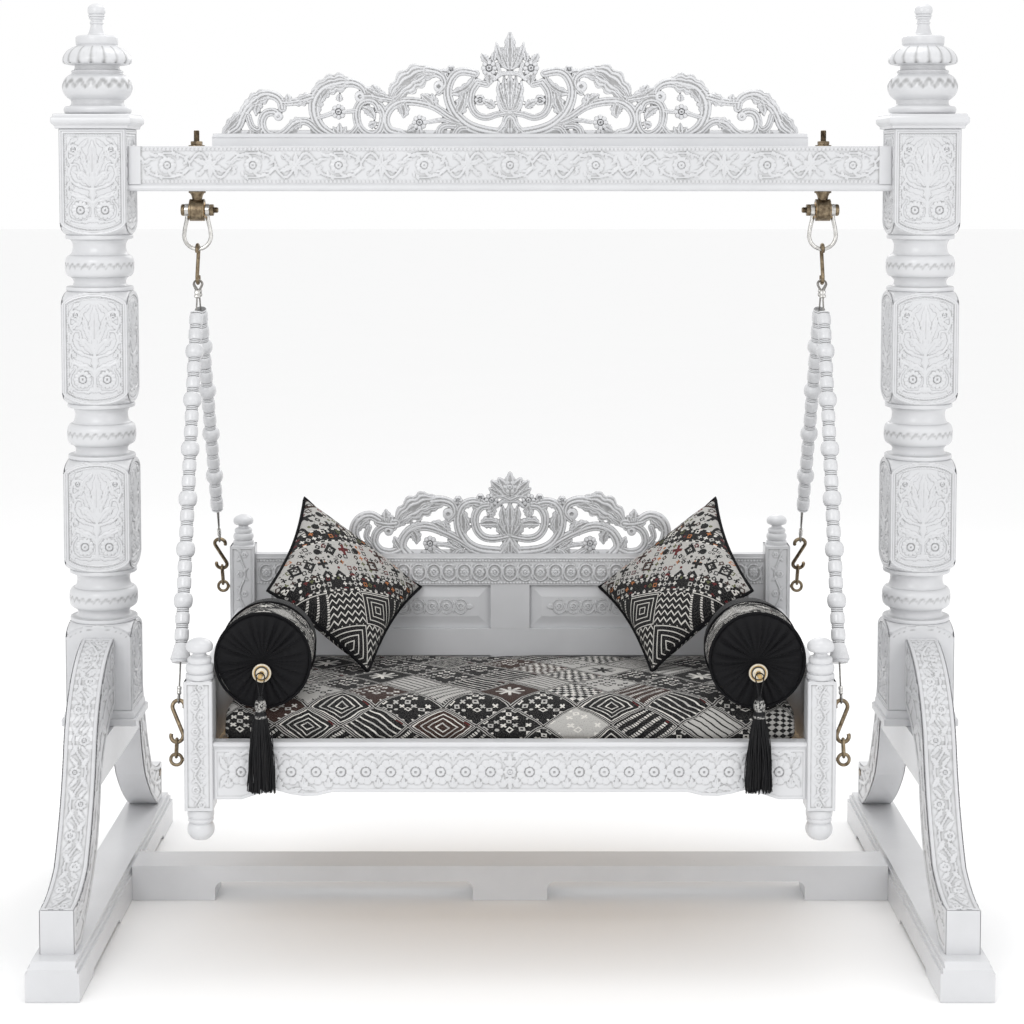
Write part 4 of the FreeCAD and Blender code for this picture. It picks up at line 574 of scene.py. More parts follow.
class Nodes:
    """Builds a material's nodes from sums written out in plain arithmetic."""

    def __init__(self, name):
        self.material = bpy.data.materials.get(name) or bpy.data.materials.new(name)
        self.material.use_nodes = True
        self.tree = self.material.node_tree
        self.tree.nodes.clear()
        self.output = self.tree.nodes.new("ShaderNodeOutputMaterial")
        self.shader = self.tree.nodes.new("ShaderNodeBsdfPrincipled")
        self.tree.links.new(self.shader.outputs[0], self.output.inputs[0])

    def put(self, socket, value):
        """Link a flow to the socket, or set a plain value."""
        if isinstance(value, Flow):
            self.tree.links.new(value.socket, socket)
        elif value is not None:
            socket.default_value = value

    def math(self, operation, *values):
        """One sum of one or two values."""
        node = self.tree.nodes.new("ShaderNodeMath")
        node.operation = operation
        for socket, value in zip(node.inputs, values):
            self.put(socket, value)
        return Flow(self, node.outputs[0])

    def field(self, name, vector=False):
        """A value kept on the mesh under this name."""
        node = self.tree.nodes.new("ShaderNodeAttribute")
        node.attribute_type = "GEOMETRY"
        node.attribute_name = name
        return Flow(self, node.outputs["Vector" if vector else "Fac"])

    def place(self):
        """The point in the object's own measures."""
        return Flow(self, self.tree.nodes.new("ShaderNodeTexCoord").outputs["Object"])

    def split(self, vector):
        """The three numbers of a vector."""
        node = self.tree.nodes.new("ShaderNodeSeparateXYZ")
        self.put(node.inputs[0], vector)
        return [Flow(self, socket) for socket in node.outputs]

    def vector(self, x, y, z=0.0):
        """Three numbers as one vector."""
        node = self.tree.nodes.new("ShaderNodeCombineXYZ")
        for socket, value in zip(node.inputs, (x, y, z)):
            self.put(socket, value)
        return Flow(self, node.outputs[0])

    def scaled(self, vector, factor):
        """The vector times three factors."""
        node = self.tree.nodes.new("ShaderNodeVectorMath")
        node.operation = "MULTIPLY"
        self.put(node.inputs[0], vector)
        node.inputs[1].default_value = factor
        return Flow(self, node.outputs[0])

    def noise(self, vector, scale, detail=4.0, roughness=0.55):
        """Soft noise from 0 to 1."""
        node = self.tree.nodes.new("ShaderNodeTexNoise")
        self.put(node.inputs["Vector"], vector)
        node.inputs["Scale"].default_value = scale
        node.inputs["Detail"].default_value = detail
        node.inputs["Roughness"].default_value = roughness
        return Flow(self, node.outputs[0])

    def random(self, vector):
        """A random number from 0 to 1 for each place."""
        node = self.tree.nodes.new("ShaderNodeTexWhiteNoise")
        node.noise_dimensions = "3D"
        self.put(node.inputs["Vector"], vector)
        return Flow(self, node.outputs["Value"])

    def ramp(self, value, low, high):
        """0 below low, 1 above high, and a straight rise between."""
        node = self.tree.nodes.new("ShaderNodeMapRange")
        self.put(node.inputs["Value"], value)
        node.inputs["From Min"].default_value = low
        node.inputs["From Max"].default_value = high
        return Flow(self, node.outputs[0])

    def mix(self, share, first, second):
        """Two colours mixed by share."""
        node = self.tree.nodes.new("ShaderNodeMix")
        node.data_type = "RGBA"
        self.put(node.inputs[0], share)
        for socket, value in ((node.inputs[6], first), (node.inputs[7], second)):
            self.put(socket, tuple(value) + (1.0,) if isinstance(value, tuple) and len(value) == 3 else value)
        return Flow(self, node.outputs[2])

    def bump(self, height, distance, strength=1.0, after=None):
        """A surface tilt from a height, on top of an earlier one."""
        node = self.tree.nodes.new("ShaderNodeBump")
        self.put(node.inputs["Height"], height)
        node.invert = strength < 0
        node.inputs["Distance"].default_value = distance
        node.inputs["Strength"].default_value = abs(strength)
        if after is not None:
            self.put(node.inputs["Normal"], after)
        return Flow(self, node.outputs[0])

    def set(self, **values):
        """Shader inputs by name; an underscore stands for a space."""
        for key, value in values.items():
            socket = self.shader.inputs[key.replace("_", " ")]
            if isinstance(value, tuple) and len(value) == 3:
                value = tuple(value) + (1.0,)
            self.put(socket, value)
        return self.material


class Flow:
    """A value that runs between nodes."""

    def __init__(self, nodes, socket):
        self.nodes, self.socket = nodes, socket

    def __add__(self, other):
        return self.nodes.math("ADD", self, other)

    def __sub__(self, other):
        return self.nodes.math("SUBTRACT", self, other)

    def __rsub__(self, other):
        return self.nodes.math("SUBTRACT", other, self)

    def __mul__(self, other):
        return self.nodes.math("MULTIPLY", self, other)

    def __truediv__(self, other):
        return self.nodes.math("DIVIDE", self, other)

    def __mod__(self, other):
        return self.nodes.math("FLOORED_MODULO", self, other)

    def __lt__(self, other):
        return self.nodes.math("LESS_THAN", self, other)

    def __gt__(self, other):
        return self.nodes.math("GREATER_THAN", self, other)

    def floor(self):
        return self.nodes.math("FLOOR", self)

    def abs(self):
        return self.nodes.math("ABSOLUTE", self)

    def sin(self):
        return self.nodes.math("SINE", self)

    def min(self, other):
        return self.nodes.math("MINIMUM", self, other)

    def max(self, other):
        return self.nodes.math("MAXIMUM", self, other)


def white_paint(look):
    """Gloss paint over carved wood, with painted shade where the carving is deep, and a few small chips."""
    n = Nodes("white_gloss_paint")
    at = n.place()
    recess_shade = n.field("recess_shade")
    patchy = n.noise(at, 9.0, 5.0)
    fine = n.noise(at, 120.0, 4.0)
    # Painted shade: where the carving lies deep the paint darkens towards the shade colour, broken up by noise; the
    # same mask makes the paint rougher there.
    painted_carving_shade = n.ramp(recess_shade * (n.noise(at, 55.0, 3.0) * 1.1 + 0.35), 0.12, 0.95)
    shade = n.mix(n.ramp(patchy, 0.35, 0.7), tuple(look.paint), tuple(c * 0.95 for c in look.paint))
    shade = n.mix(painted_carving_shade * 0.85, shade, tuple(look.recess_shade))
    chips = n.ramp(n.noise(at, 210.0, 2.0), 0.77, 0.79) * n.ramp(n.noise(at, 14.0, 2.0), 0.56, 0.62)
    shade = n.mix(chips * 0.8, shade, (0.16, 0.11, 0.075))
    rough = n.ramp(fine, 0.2, 0.8) * 0.14 + 0.26
    grain = n.bump(n.noise(n.scaled(at, (1.0, 1.0, 0.12)), 160.0, 4.0), 0.0004, 0.25)
    return n.set(Base_Color=shade, Roughness=rough + painted_carving_shade * 0.3, Normal=n.bump(patchy, 0.002, 0.12, grain),
                 Coat_Weight=0.25, Coat_Roughness=0.22)


def bead_paint(look):
    """Thick gloss paint on the turned beads, with painted shade in their grooves."""
    n = Nodes("white_bead_paint")
    at = n.place()
    recess_shade = n.field("recess_shade")
    patchy = n.noise(at, 60.0, 4.0)
    shade = n.mix(n.ramp(patchy, 0.3, 0.75), tuple(look.paint), tuple(c * 0.9 for c in look.paint))
    # Painted shade in the grooves at the bead's ends, towards a darker copy of the shade colour.
    shade = n.mix(n.ramp(recess_shade, 0.1, 0.9), shade, tuple(c * 0.4 for c in look.recess_shade))
    return n.set(Base_Color=shade, Roughness=n.ramp(n.noise(at, 300.0, 3.0), 0.2, 0.8) * 0.12 + 0.2,
                 Normal=n.bump(patchy, 0.001, 0.15), Coat_Weight=0.4, Coat_Roughness=0.12)


def metal(name, colour, worn, rough, scale=90.0):
    """Plated steel, worn where it rubs and dull in between, with painted shade in its hollows."""
    n = Nodes(name)
    at = n.place()
    cloud = n.noise(at, scale, 6.0, 0.65)
    spots = n.ramp(n.noise(at, scale * 4, 3.0), 0.55, 0.75)
    shade = n.mix(n.ramp(cloud, 0.38, 0.66), colour, worn)
    shade = n.mix(spots * 0.35, shade, tuple(c * 0.3 for c in colour))
    # Painted shade in the hollows, from the mesh's painted shade field.
    shade = n.mix(n.ramp(n.field("recess_shade"), 0.1, 0.9), shade, tuple(c * 0.16 for c in colour))
    return n.set(Base_Color=shade, Metallic=1.0, Roughness=n.ramp(cloud, 0.2, 0.8) * 0.22 + rough,
                 Normal=n.bump(cloud, 0.0006, 0.3))


def timber(look):
    """Bare softwood with long rings."""
    n = Nodes("bare_timber")
    at = n.scaled(n.place(), (0.6, 12.0, 12.0))
    rings = (n.noise(at, 3.0, 6.0) * 22.0).sin() * 0.5 + 0.5
    shade = n.mix(rings, (0.42, 0.29, 0.17), (0.6, 0.45, 0.28))
    return n.set(Base_Color=shade, Roughness=n.ramp(rings, 0.0, 1.0) * 0.15 + 0.5, Normal=n.bump(rings, 0.0005, 0.3))


# Forms of the two crests, right half, in millimetres

TOP_CREST_FORMS = [
    ("leaf", (0, 147.2), (0, 240.3), 24.9, 0),
    ("leaf", (1.9, 150.1), (19.2, 202.6), 17.2, -0.22),
    ("leaf", (10.6, 154.9), (33.6, 215), 14.4, -0.12),
    ("leaf", (0, 49.8), (0, 143.4), 21.1, 0),
    ("leaf", (1, 47.9), (14.4, 136.7), 17.2, -0.06),
    ("leaf", (1.9, 46.9), (27.9, 126.2), 16.3, -0.14),
    ("stem", [(0, 49.8), (13.5, 51.7), (25, 63.2), (29.8, 84.2)], 7.7, 5.7),
    ("stem", [(0, 40.2), (8.7, 33.6), (15.4, 17.3), (33.6, 0.1)], 12.5, 9.6),
    ("leaf", (0, 40.2), (0, -5.6), 16.3, 0),
    ("leaf", (3.8, 31.6), (24, -5.6), 13.4, 0.1),
    ("stem", [(0, 141.5), (21.1, 138.6), (37.5, 126.2)], 7.7, 5.7),
    ("flower", (50.9, 152.9), 19.2, 8),
    ("leaf", (51.9, 165.4), (69.2, 188.3), 14.4, -0.1),
    ("leaf", (42.3, 168.2), (38.4, 193.1), 11.5, 0.1),
    ("leaf", (50, 142.4), (50, 111.9), 18.2, 0),
    ("stem", [(30.8, 162.5), (26, 145.3), (33.6, 131), (45.2, 136.7)], 6.7, 5.7),
    ("stem", [(78.8, 119.5), (93.2, 97.6), (95.2, 68.9), (82.7, 46), (58.6, 37.4), (33.6, 44.1),
     (11.5, 47.9)], 13.4, 9.6),
    ("stem", [(56.7, 114.7), (78.8, 119.5)], 10.5, 10.5),
    ("flower", (73, 78.4), 13.4, 6),
    ("leaf", (37.5, 60.3), (65.4, 75.6), 16.3, 0.15),
    ("stem", [(26, -1.8), (71.1, 6.8), (105.7, 21.1), (134.6, 47.9), (149, 78.4), (150.9, 107.1),
     (138.4, 133.8), (117.3, 145.3), (83.6, 140.5)], 19.2, 12.5),
    ("leaf", (131.7, 43.1), (110.5, 104.2), 23.9, 0.16),
    ("leaf", (149, 93.7), (83.6, 142.4), 16.3, 0.36),
    ("stem", [(124, 27.8), (149, 40.2), (181.7, 61.3), (213.4, 71.8), (248.9, 75.6), (276.8, 70.8),
     (297, 53.6), (304.7, 29.7), (294.1, 6.8), (268.2, -0.8)], 11.5, 16.3),
    ("leaf", (268.2, 72.7), (260.5, 35.5), 21.1, -0.3),
    ("leaf", (247, 76.5), (287.4, 55.5), 16.3, 0.2),
    ("ball", (173, 110), 14.4),
    ("stem", [(173, 95.6), (158.6, 112.8), (161.5, 131), (177.8, 142.4), (201.8, 146.3)], 9.6, 16.3),
    ("leaf", (191.3, 147.2), (297, 68.9), 44.1, 0.2),
    ("leaf", (176.9, 136.7), (248.9, 98.5), 19.2, 0.36),
    ("leaf", (248.9, 112.8), (291.2, 65.1), 21.1, 0.1),
    ("flower", (143.2, 150.1), 10.5, 6),
    ("leaf", (149, 142.4), (174, 143.4), 12.5, 0.1),
    ("leaf", (177.8, 58.4), (218.2, 91.8), 23, 0.1),
    ("leaf", (183.6, 64.1), (191.3, 94.7), 13.4, 0.1),
    ("flower", (220.1, 25.9), 18.2, 8),
    ("stem", [(134.6, 24), (162.4, 31.6), (197, 26.9)], 8.6, 6.7),
    ("leaf", (229.7, 17.3), (249.9, 5.9), 14.4, 0),
    ("leaf", (220.1, 11.6), (220.1, -9.4), 14.4, 0),
    ("stem", [(133.6, 17.3), (155.7, 18.3), (170.1, 9.7), (174, -9.4)], 10.5, 11.5),
    ("stem", [(105.7, 14.5), (124, 11.6), (138.4, -9.4)], 11.5, 10.5),
    ("stem", [(266.2, 0.1), (248.9, -7.5)], 12.5, 7.7),
    ("stem", [(318.2, 56.5), (326.8, 72.7), (345.1, 78.4), (364.3, 70.8), (373.9, 49.8), (370.1, 21.1),
     (354.7, 2), (333.5, -4.6), (316.2, 7.8), (308.5, 31.6), (308.5, 50.7), (318.2, 65.1)], 12.5, 13.4),
    ("leaf", (360.4, 60.3), (328.7, 31.6), 16.3, -0.3),
    ("leaf", (345.1, 17.3), (323.9, 27.8), 13.4, 0.1),
    ("leaf", (293.2, 81.3), (360.4, 111.9), 22, -0.14),
    ("leaf", (316.2, 88), (336.4, 114.7), 16.3, 0),
    ("stem", [(287.4, 78.4), (316.2, 83.2), (345.1, 88), (364.3, 86.1)], 9.6, 11.5),
    ("ball", (365.2, 86.1), 14.4),
    ("stem", [(352.8, 93.7), (359.5, 107.1), (378.7, 117.6), (407.5, 119.5)], 10.5, 16.3),
    ("leaf", (386.4, 120.5), (484.4, 95.6), 34.5, 0.14),
    ("stem", [(412.3, 117.6), (450.8, 107.1), (473.9, 78.4), (475.8, 46), (460.4, 14.5),
     (426.8, -7.5)], 21.1, 14.4),
    ("leaf", (460.4, 98.5), (470, 38.3), 21.1, 0.14),
    ("leaf", (426.8, 112.8), (465.2, 65.1), 17.2, 0.2),
    ("flower", (417.2, 50.7), 18.2, 8),
    ("stem", [(374.9, 53.6), (397, 50.7)], 7.7, 6.7),
    ("stem", [(434.5, 46.9), (470, 35.5)], 7.7, 6.7),
    ("leaf", (415.2, 74.6), (415.2, 93.7), 12.5, 0),
    ("fan", (415.2, -11.3), 90, 36.4, 62, 5, 14.4),
    ("stem", [(370.1, 17.3), (393.1, -5.6), (441.2, -7.5)], 10.5, 12.5),
    ("stem", [(426.8, -9.4), (462.3, 3), (492.1, 26.9), (521.9, 25), (549.8, 2), (574.8, -7.5), (597.9, 3),
     (604.6, 26.9), (595, 46), (575.7, 49.8), (563.3, 40.2)], 12.5, 13.4),
    ("leaf", (503.7, 31.6), (546.9, 3), 21.1, 0.1),
    ("ball", (564.2, 40.2), 11.5),
    ("leaf", (479.6, 88), (532.5, 67.9), 21.1, 0),
    ("stem", [(477.7, 84.2), (508.5, 76.5), (537.3, 72.7), (558.4, 72.7)], 12.5, 11.5),
    ("fan", (537.3, 67), 80, 26.8, 48, 3, 14.4),
    ("stem", [(554.6, 59.3), (558.4, 75.6), (573.8, 88), (599.8, 90.9), (623.8, 76.5),
     (645, 55.5)], 13.4, 16.3),
    ("leaf", (580.6, 91.8), (652.6, 50.7), 26.8, 0.18),
    ("leaf", (604.6, 88), (619, 40.2), 17.2, 0.1),
    ("stem", [(639.2, 63.2), (652.6, 40.2), (662.3, 17.3), (681.5, 3), (698.8, -12.3)], 16.3, 12.5),
    ("leaf", (643, 50.7), (703.6, -14.2), 23, 0.1),
    ("stem", [(602.7, 17.3), (614.2, 7.8), (629.6, 17.3), (638.2, 41.2)], 10.5, 10.5),
    ("fan", (628.6, -14.2), 90, 28.7, 50, 3, 13.4),
    ("stem", [(602.7, 7.8), (609.4, -9.4)], 10.5, 10.5),
    ("stem", [(643, -11.3), (671.9, -9.4), (700.7, -14.2)], 8.6, 7.7),
]
BACK_CREST_FORMS = [
    ("fan", (0.5, 148), 90, 63, 66, 5, 23.3),
    ("flower", (0.5, 171.5), 19.8, 6),
    ("leaf", (13.3, 153.9), (50.5, 187.8), 23.3, -0),
    ("leaf", (18, 148), (56.3, 167.9), 19.8, -0),
    ("flower", (48.2, 137.5), 17.5, 8),
    ("stem", [(0.5, 138.7), (23.8, 148), (42.4, 145.7)], 10.5, 9.3),
    ("leaf", (48.2, 127), (48.2, 88.3), 19.8, -0),
    ("flower", (51.7, 103.6), 9.9, 5),
    ("stem", [(77.2, 127), (61, 130.5)], 10.5, 10.5),
    ("leaf", (0.5, 42.7), (0.5, 131.7), 25.7, -0),
    ("leaf", (2.8, 42.7), (20.3, 124.6), 22.2, -0.06),
    ("leaf", (5.2, 43.8), (33.1, 88.3), 19.8, -0.2),
    ("stem", [(0.5, 134), (19.1, 132.8), (33.1, 121.1)], 8.2, 7),
    ("stem", [(0.5, 35.7), (9.8, 19.3), (24.9, 0.5)], 17.5, 12.8),
    ("leaf", (0.5, 35.7), (0.5, -4.2), 21, -0),
    ("leaf", (5.2, 29.8), (24.9, -4.2), 16.3, -0),
    ("stem", [(56.3, 123.5), (77.2, 118.8), (91.2, 94.2), (87.7, 62.6), (69.1, 41.5), (40, 36.8),
     (5.2, 43.8)], 15.2, 12.8),
    ("leaf", (77.2, 75.5), (22.6, 71.9), 23.3, -0.2),
    ("leaf", (71.4, 118.8), (100.5, 127), 17.5, -0.2),
    ("stem", [(73.8, 130.5), (100.5, 132.8), (123.7, 121.1), (135.4, 91.8), (130.7, 55.6), (109.8, 23.9),
     (77.2, 7.6), (24.9, 1.7)], 14, 18.7),
    ("leaf", (123.7, 48.5), (130.7, 116.4), 26.8, 0.16),
    ("flower", (77.2, 143.4), 10.5, 6),
    ("flower", (135.4, 136.3), 11.7, 6),
    ("leaf", (123.7, 127), (100.5, 121.1), 15.2, -0),
    ("ball", (160.9, 101.2), 16.3),
    ("stem", [(160.9, 84.8), (144.7, 103.6), (151.6, 125.8), (176, 135.2), (205.1, 132.8)], 11.7, 18.7),
    ("leaf", (187.7, 136.3), (303.9, 70.8), 49, 0.18),
    ("leaf", (172.6, 124.6), (257.4, 83.7), 24.5, 0.3),
    ("leaf", (251.6, 107.1), (293.4, 66.1), 23.3, 0.1),
    ("leaf", (158.6, 48.5), (205.1, 80.1), 26.8, 0.1),
    ("leaf", (164.4, 52), (172.6, 83.7), 16.3, 0.1),
    ("stem", [(100.5, 12.2), (135.4, 35.7), (176, 55.6), (216.7, 68.4), (251.6, 63.8), (274.8, 42.7),
     (283, 15.8), (267.9, -4.2)], 12.8, 18.7),
    ("leaf", (222.5, 70.8), (274.8, 48.5), 21, 0.2),
    ("leaf", (257.4, 60.2), (244.6, 21.6), 21, -0.3),
    ("flower", (208.6, 25.1), 18.7, 8),
    ("stem", [(126.1, 7.6), (158.6, 19.3), (188.8, 22.8)], 9.3, 8.2),
    ("leaf", (123.7, 5.2), (163.3, 35.7), 19.8, -0.1),
    ("stem", [(135.4, 7.6), (149.3, -6.5)], 11.7, 9.3),
    ("leaf", (216.7, 7.6), (221.4, -6.5), 16.3, -0),
    ("stem", [(193.5, 7.6), (170.2, -6.5)], 10.5, 10.5),
    ("fan", (320.2, 76.6), 84, 37.3, 46, 3, 18.7),
    ("stem", [(296.9, 76.6), (321.3, 75.5), (344.6, 80.1)], 16.3, 14),
    ("ball", (316.7, 56.7), 12.8),
    ("stem", [(303.9, 66.1), (326, 68.4), (346.9, 54.4), (353.9, 28.6), (338.8, 6.4), (309.7, 0.5),
     (285.3, 9.9)], 12.8, 16.3),
    ("leaf", (280.7, 7.6), (302.7, 42.7), 19.8, -0.1),
    ("stem", [(338.8, 84.8), (362, 96.5), (387.6, 90.7), (403.9, 70.8), (406.2, 42.7), (393.4, 16.9),
     (367.8, 1.7)], 15.2, 19.8),
    ("leaf", (362, 97.7), (408.5, 48.5), 26.8, 0.2),
    ("leaf", (393.4, 25.1), (350.4, -1.8), 19.8, -0),
    ("stem", [(414.3, -4.2), (396.9, 9.9)], 15.2, 12.8),
    ("leaf", (419, -6.5), (403.9, 35.7), 19.8, 0.1),
    ("stem", [(367.8, 66.1), (374.8, 42.7), (362, 23.9)], 10.5, 10.5),
]


FINISHES = {}


def finish(slot):
    """The finish of a slot, mixed once."""
    if slot not in FINISHES:
        FINISHES[slot] = FINISH_MAKERS[slot](bpy.context.scene.swing_look)
    return FINISHES[slot]


def dress(name, part, slot, body, nodes=(), smooth=35.0, fields=None, cloth=None):
    """Place a piece in its finish, or in one cloth of that slot; nodes are the plain solids that it stands for."""
    fields = dict(fields or {})
    if len(part) > 2 and part[2] is not None:
        # The third list is painted shade in the hollows, kept on the mesh for its finish.
        fields["recess_shade"] = part[2]
    piece = make_piece(name, part[0], part[1], finish(cloth or slot), body, smooth, fields)
    if nodes:
        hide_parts(*nodes)
    return piece


def dress_piping(name, part):
    """Corded edging sewn into a seam, in the cloth's dark cotton."""
    piece = make_piece(name, part[0], part[1], finish("piping_cotton"), "seat", 0)


def keep(node, slot, soften=0.0):
    """A solid that is right as it stands gets its finish, and softened edges where soften is given."""
    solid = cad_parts[node]
    for place in solid.material_slots:
        place.material = finish(slot)
    if soften:
        edge = solid.modifiers.new("softened_edges", "BEVEL")
        edge.width = soften
        edge.segments = 2
        edge.limit_method = "ANGLE"
        edge.angle_limit = math.radians(35)
        edge.harden_normals = False
    return solid


def both_sides(name, part, slot, node, body="stand", **extra):
    """The right-hand piece and its mirror image, each standing for its own solid."""
    for side, shape in (("right", part), ("left", mirror_part(part))):
        ride_on = body if "%s" not in body else body % side
        dress(side + "_" + name, shape, slot, ride_on, [side + "_" + node], **extra)


# Painted frame

POST_X = 0.97
HALF_BLOCK = 0.078
GROUND = 0.0025        # how far carved grounds lie behind the faces
SHOULDER = 0.034
BLOCKS = [(0.485, 0.690, False, True), (0.815, 1.077, True, True), (1.210, 1.475, True, True),
          (1.608, 1.855, True, False)]
COLLAR_OUTLINE = [
    (0, 76.5), (2, 79), (8, 79), (10.5, 77), (11, 68), (11, 68), (15, 62.5), (23, 61), (30, 65), (33, 69), (33, 69),
    (36, 75), (44, 79.5), (60, 81), (74, 79.5), (82, 75), (85, 69), (85, 69), (91, 64.5), (103, 62), (113, 63),
    (121, 68), (121, 68), (122.5, 77), (125, 79), (131, 79), (133, 76.5),
]
FINIAL_OUTLINE = [
    (1890.4, 68), (1892, 76), (1897, 78.5), (1903, 78.5), (1908, 75), (1909, 66), (1909, 66), (1913, 62), (1918, 61),
    (1923, 62), (1923, 62), (1927, 68), (1935, 76), (1946, 81), (1957, 82), (1968, 79), (1978, 71), (1984, 61),
    (1984, 61), (1986, 59), (1989, 60.5), (1992, 59.5), (1993, 55), (1993, 55), (1995, 53), (2000, 52), (2004, 54),
    (2005, 64), (2007, 75), (2007, 75), (2010, 79.5), (2016, 81), (2023, 79.5), (2031, 75.5), (2039, 68), (2045, 59),
    (2049, 50), (2050, 48), (2050, 48), (2052, 47.5), (2055, 49), (2068, 49.5), (2072, 47), (2074, 40), (2074, 28),
    (2074, 28), (2077, 21), (2083, 18), (2092, 15.5), (2100, 14), (2100, 14), (2102, 16), (2105, 16), (2107, 14),
    (2107, 14), (2111, 14.5), (2113, 18), (2116, 18), (2117, 16.5), (2117, 16.5), (2119, 19.5), (2122, 19.5),
    (2123, 17), (2123, 17), (2127, 20.5), (2134, 21), (2141, 19), (2147, 11), (2149.5, 1),
]


def square_turns(per_side):
    """Directions that divide a square's sides evenly, from corner to corner."""
    t = -1 + 2 * np.arange(per_side) / per_side
    return np.concatenate([side * math.pi / 2 + np.arctan(t) for side in range(4)])


def leaf_band(turn, share, count, depth):
    """Small overlapping leaves round a turned band: how far their ground sinks, and how deep their shadow is."""
    wave = np.abs(np.sin(turn * count / 2))
    tip = 0.30 + 0.42 * wave ** 0.7
    other = 0.72 - 0.40 * np.abs(np.cos(turn * count / 2)) ** 0.7
    line = np.exp(-((share - tip) / 0.11) ** 2) + 0.7 * np.exp(-((share - other) / 0.10) ** 2)
    fade = math.sin(math.pi * share) ** 0.5
    return -depth * np.clip(line, 0, 1) * fade, np.clip(line * 0.85, 0, 1) * fade


def turned_post():
    """The whole right-hand post: square blocks with round-headed ends between turned collars."""
    turn = square_turns(36)
    reach = 1 / np.maximum(np.abs(np.cos(turn)), np.abs(np.sin(turn)))
    diagonal = 1 / np.maximum(np.abs(np.cos(turn - math.pi / 4)), np.abs(np.sin(turn - math.pi / 4)))
    half = HALF_BLOCK - GROUND * 0.96
    rows, shade, heights = [], [], []

    def row(z, radius, sink=0.0, dark=0.0, round_form=False):
        square = np.minimum(half * reach, (half * math.sqrt(2) - 0.004) * diagonal)
        rows.append((np.full(len(turn), radius) if round_form else np.minimum(square, radius)) + sink)
        shade.append(np.zeros(len(turn)) + dark)
        heights.append(z)

    shoulder = np.linspace(0, 1, 22)
    for index, (low, high, arch_low, arch_high) in enumerate(BLOCKS):
        if arch_low:
            for d in shoulder:
                # Painted shade at the block's end, strongest where its round head meets the collar.
                row(low + SHOULDER * d, HALF_BLOCK * math.sqrt(2 - (1 - d) ** 2), 0.0, 0.25 * (1 - d))
        else:
            row(low, 0.2)
        if arch_high:
            for d in shoulder[::-1]:
                # Painted shade at the block's end, strongest where its round head meets the collar.
                row(high - SHOULDER * d, HALF_BLOCK * math.sqrt(2 - (1 - d) ** 2), 0.0, 0.25 * (1 - d))
        else:
            row(high, 0.2)
        if index < 3:
            span = BLOCKS[index + 1][0] - high
            for z, r in smooth_levels(COLLAR_OUTLINE, 3):
                sink, dark = 0.0, 0.0
                if 48 < z < 72:
                    sink, dark = leaf_band(turn, (z - 48) / 24, 26, 0.0014)
                # Painted shade in the collar's grooves, and lighter painted shade in its coves.
                elif 9.5 < z < 12 or 32 < z < 34 or 84 < z < 86 or 120 < z < 122:
                    dark = 0.45
                elif 11 < z < 33 or 85 < z < 121:
                    dark = 0.12
                row(high + z * span / 133, r * MM, sink, dark, True)
    radii, heights = np.array(rows), np.array(heights)
    verts = np.stack([radii * np.cos(turn), radii * np.sin(turn), np.repeat(heights[:, None], len(turn), 1)], 2)
    return verts.reshape(-1, 3), grid_faces(len(rows), len(turn), True), np.concatenate(shade)


def square_stack(levels, chamfer=0.003):
    """Square mouldings from (height, half side) levels."""
    verts, faces = [], []
    for z, h in levels:
        c = min(chamfer, h * 0.3)
        for x, y in ((1, 1), (-1, 1), (-1, -1), (1, -1)):
            ends = [(x * h, y * (h - c)), (x * (h - c), y * h)]
            verts += [(a, b, z) for a, b in (ends if x * y > 0 else ends[::-1])]
    count = len(levels)
    faces = grid_faces(count, 8, True)
    faces += [tuple(range(8))[::-1], tuple((count - 1) * 8 + k for k in range(8))]
    return np.array(verts), faces


def arch_drop(x):
    """How far a block's round head has fallen at x from its middle."""
    return SHOULDER * (1 - np.sqrt(np.clip(1 - (x / HALF_BLOCK) ** 2, 0, 1)))


def block_face(low, high, arch_low, arch_high, carved, step):
    """One face of a block: a flat margin round a sunk ground with its motif."""
    wide = HALF_BLOCK - 0.0008
    c = Carving(2 * wide, high - low, step, (-wide, low))
    x, z = c.x, c.y
    slope = np.clip(np.abs(x) / np.sqrt(np.clip(HALF_BLOCK ** 2 - x ** 2, 1e-5, None)) * SHOULDER / HALF_BLOCK, 0, 2.5)
    inset = wide - np.abs(x)
    for near, arched in ((z - low, arch_low), (high - z, arch_high)):
        gap = (near - arch_drop(x)) / np.sqrt(1 + slope ** 2) if arched else near
        inset = np.minimum(inset, gap)
    if carved:
        c.frame_from(inset, 0.0105, GROUND, 0.0042)
        rise = 0.0036
        base = low + (0.027 if arch_low else 0.0155)
        top = high - (0.019 if arch_high else 0.0155)
        vine_block(c, (-0.061, base), (0.061, top), rise)
        c.height = np.where(inset < 0.0105, np.minimum(c.height, GROUND), c.height)
    else:
        c.frame_from(inset, 1.0, GROUND)
        line = np.exp(-((inset - 0.0105) / 0.0011) ** 2)
        c.height = np.maximum(GROUND * np.clip((inset + 0.0002) / 0.0014, 0, 1) ** 0.5 - 0.0012 * line, 0)
    return c, inset > -0.0006


def on_post_face(side):
    """Puts a block face on one of the post's four sides: 0 front, 1 right, 2 back, 3 left."""
    a = side * math.pi / 2

    def place(x, z, h):
        out = HALF_BLOCK - GROUND + h
        return np.stack([POST_X + x * math.cos(a) + out * math.sin(a), x * math.sin(a) - out * math.cos(a), z], 1)
    return place


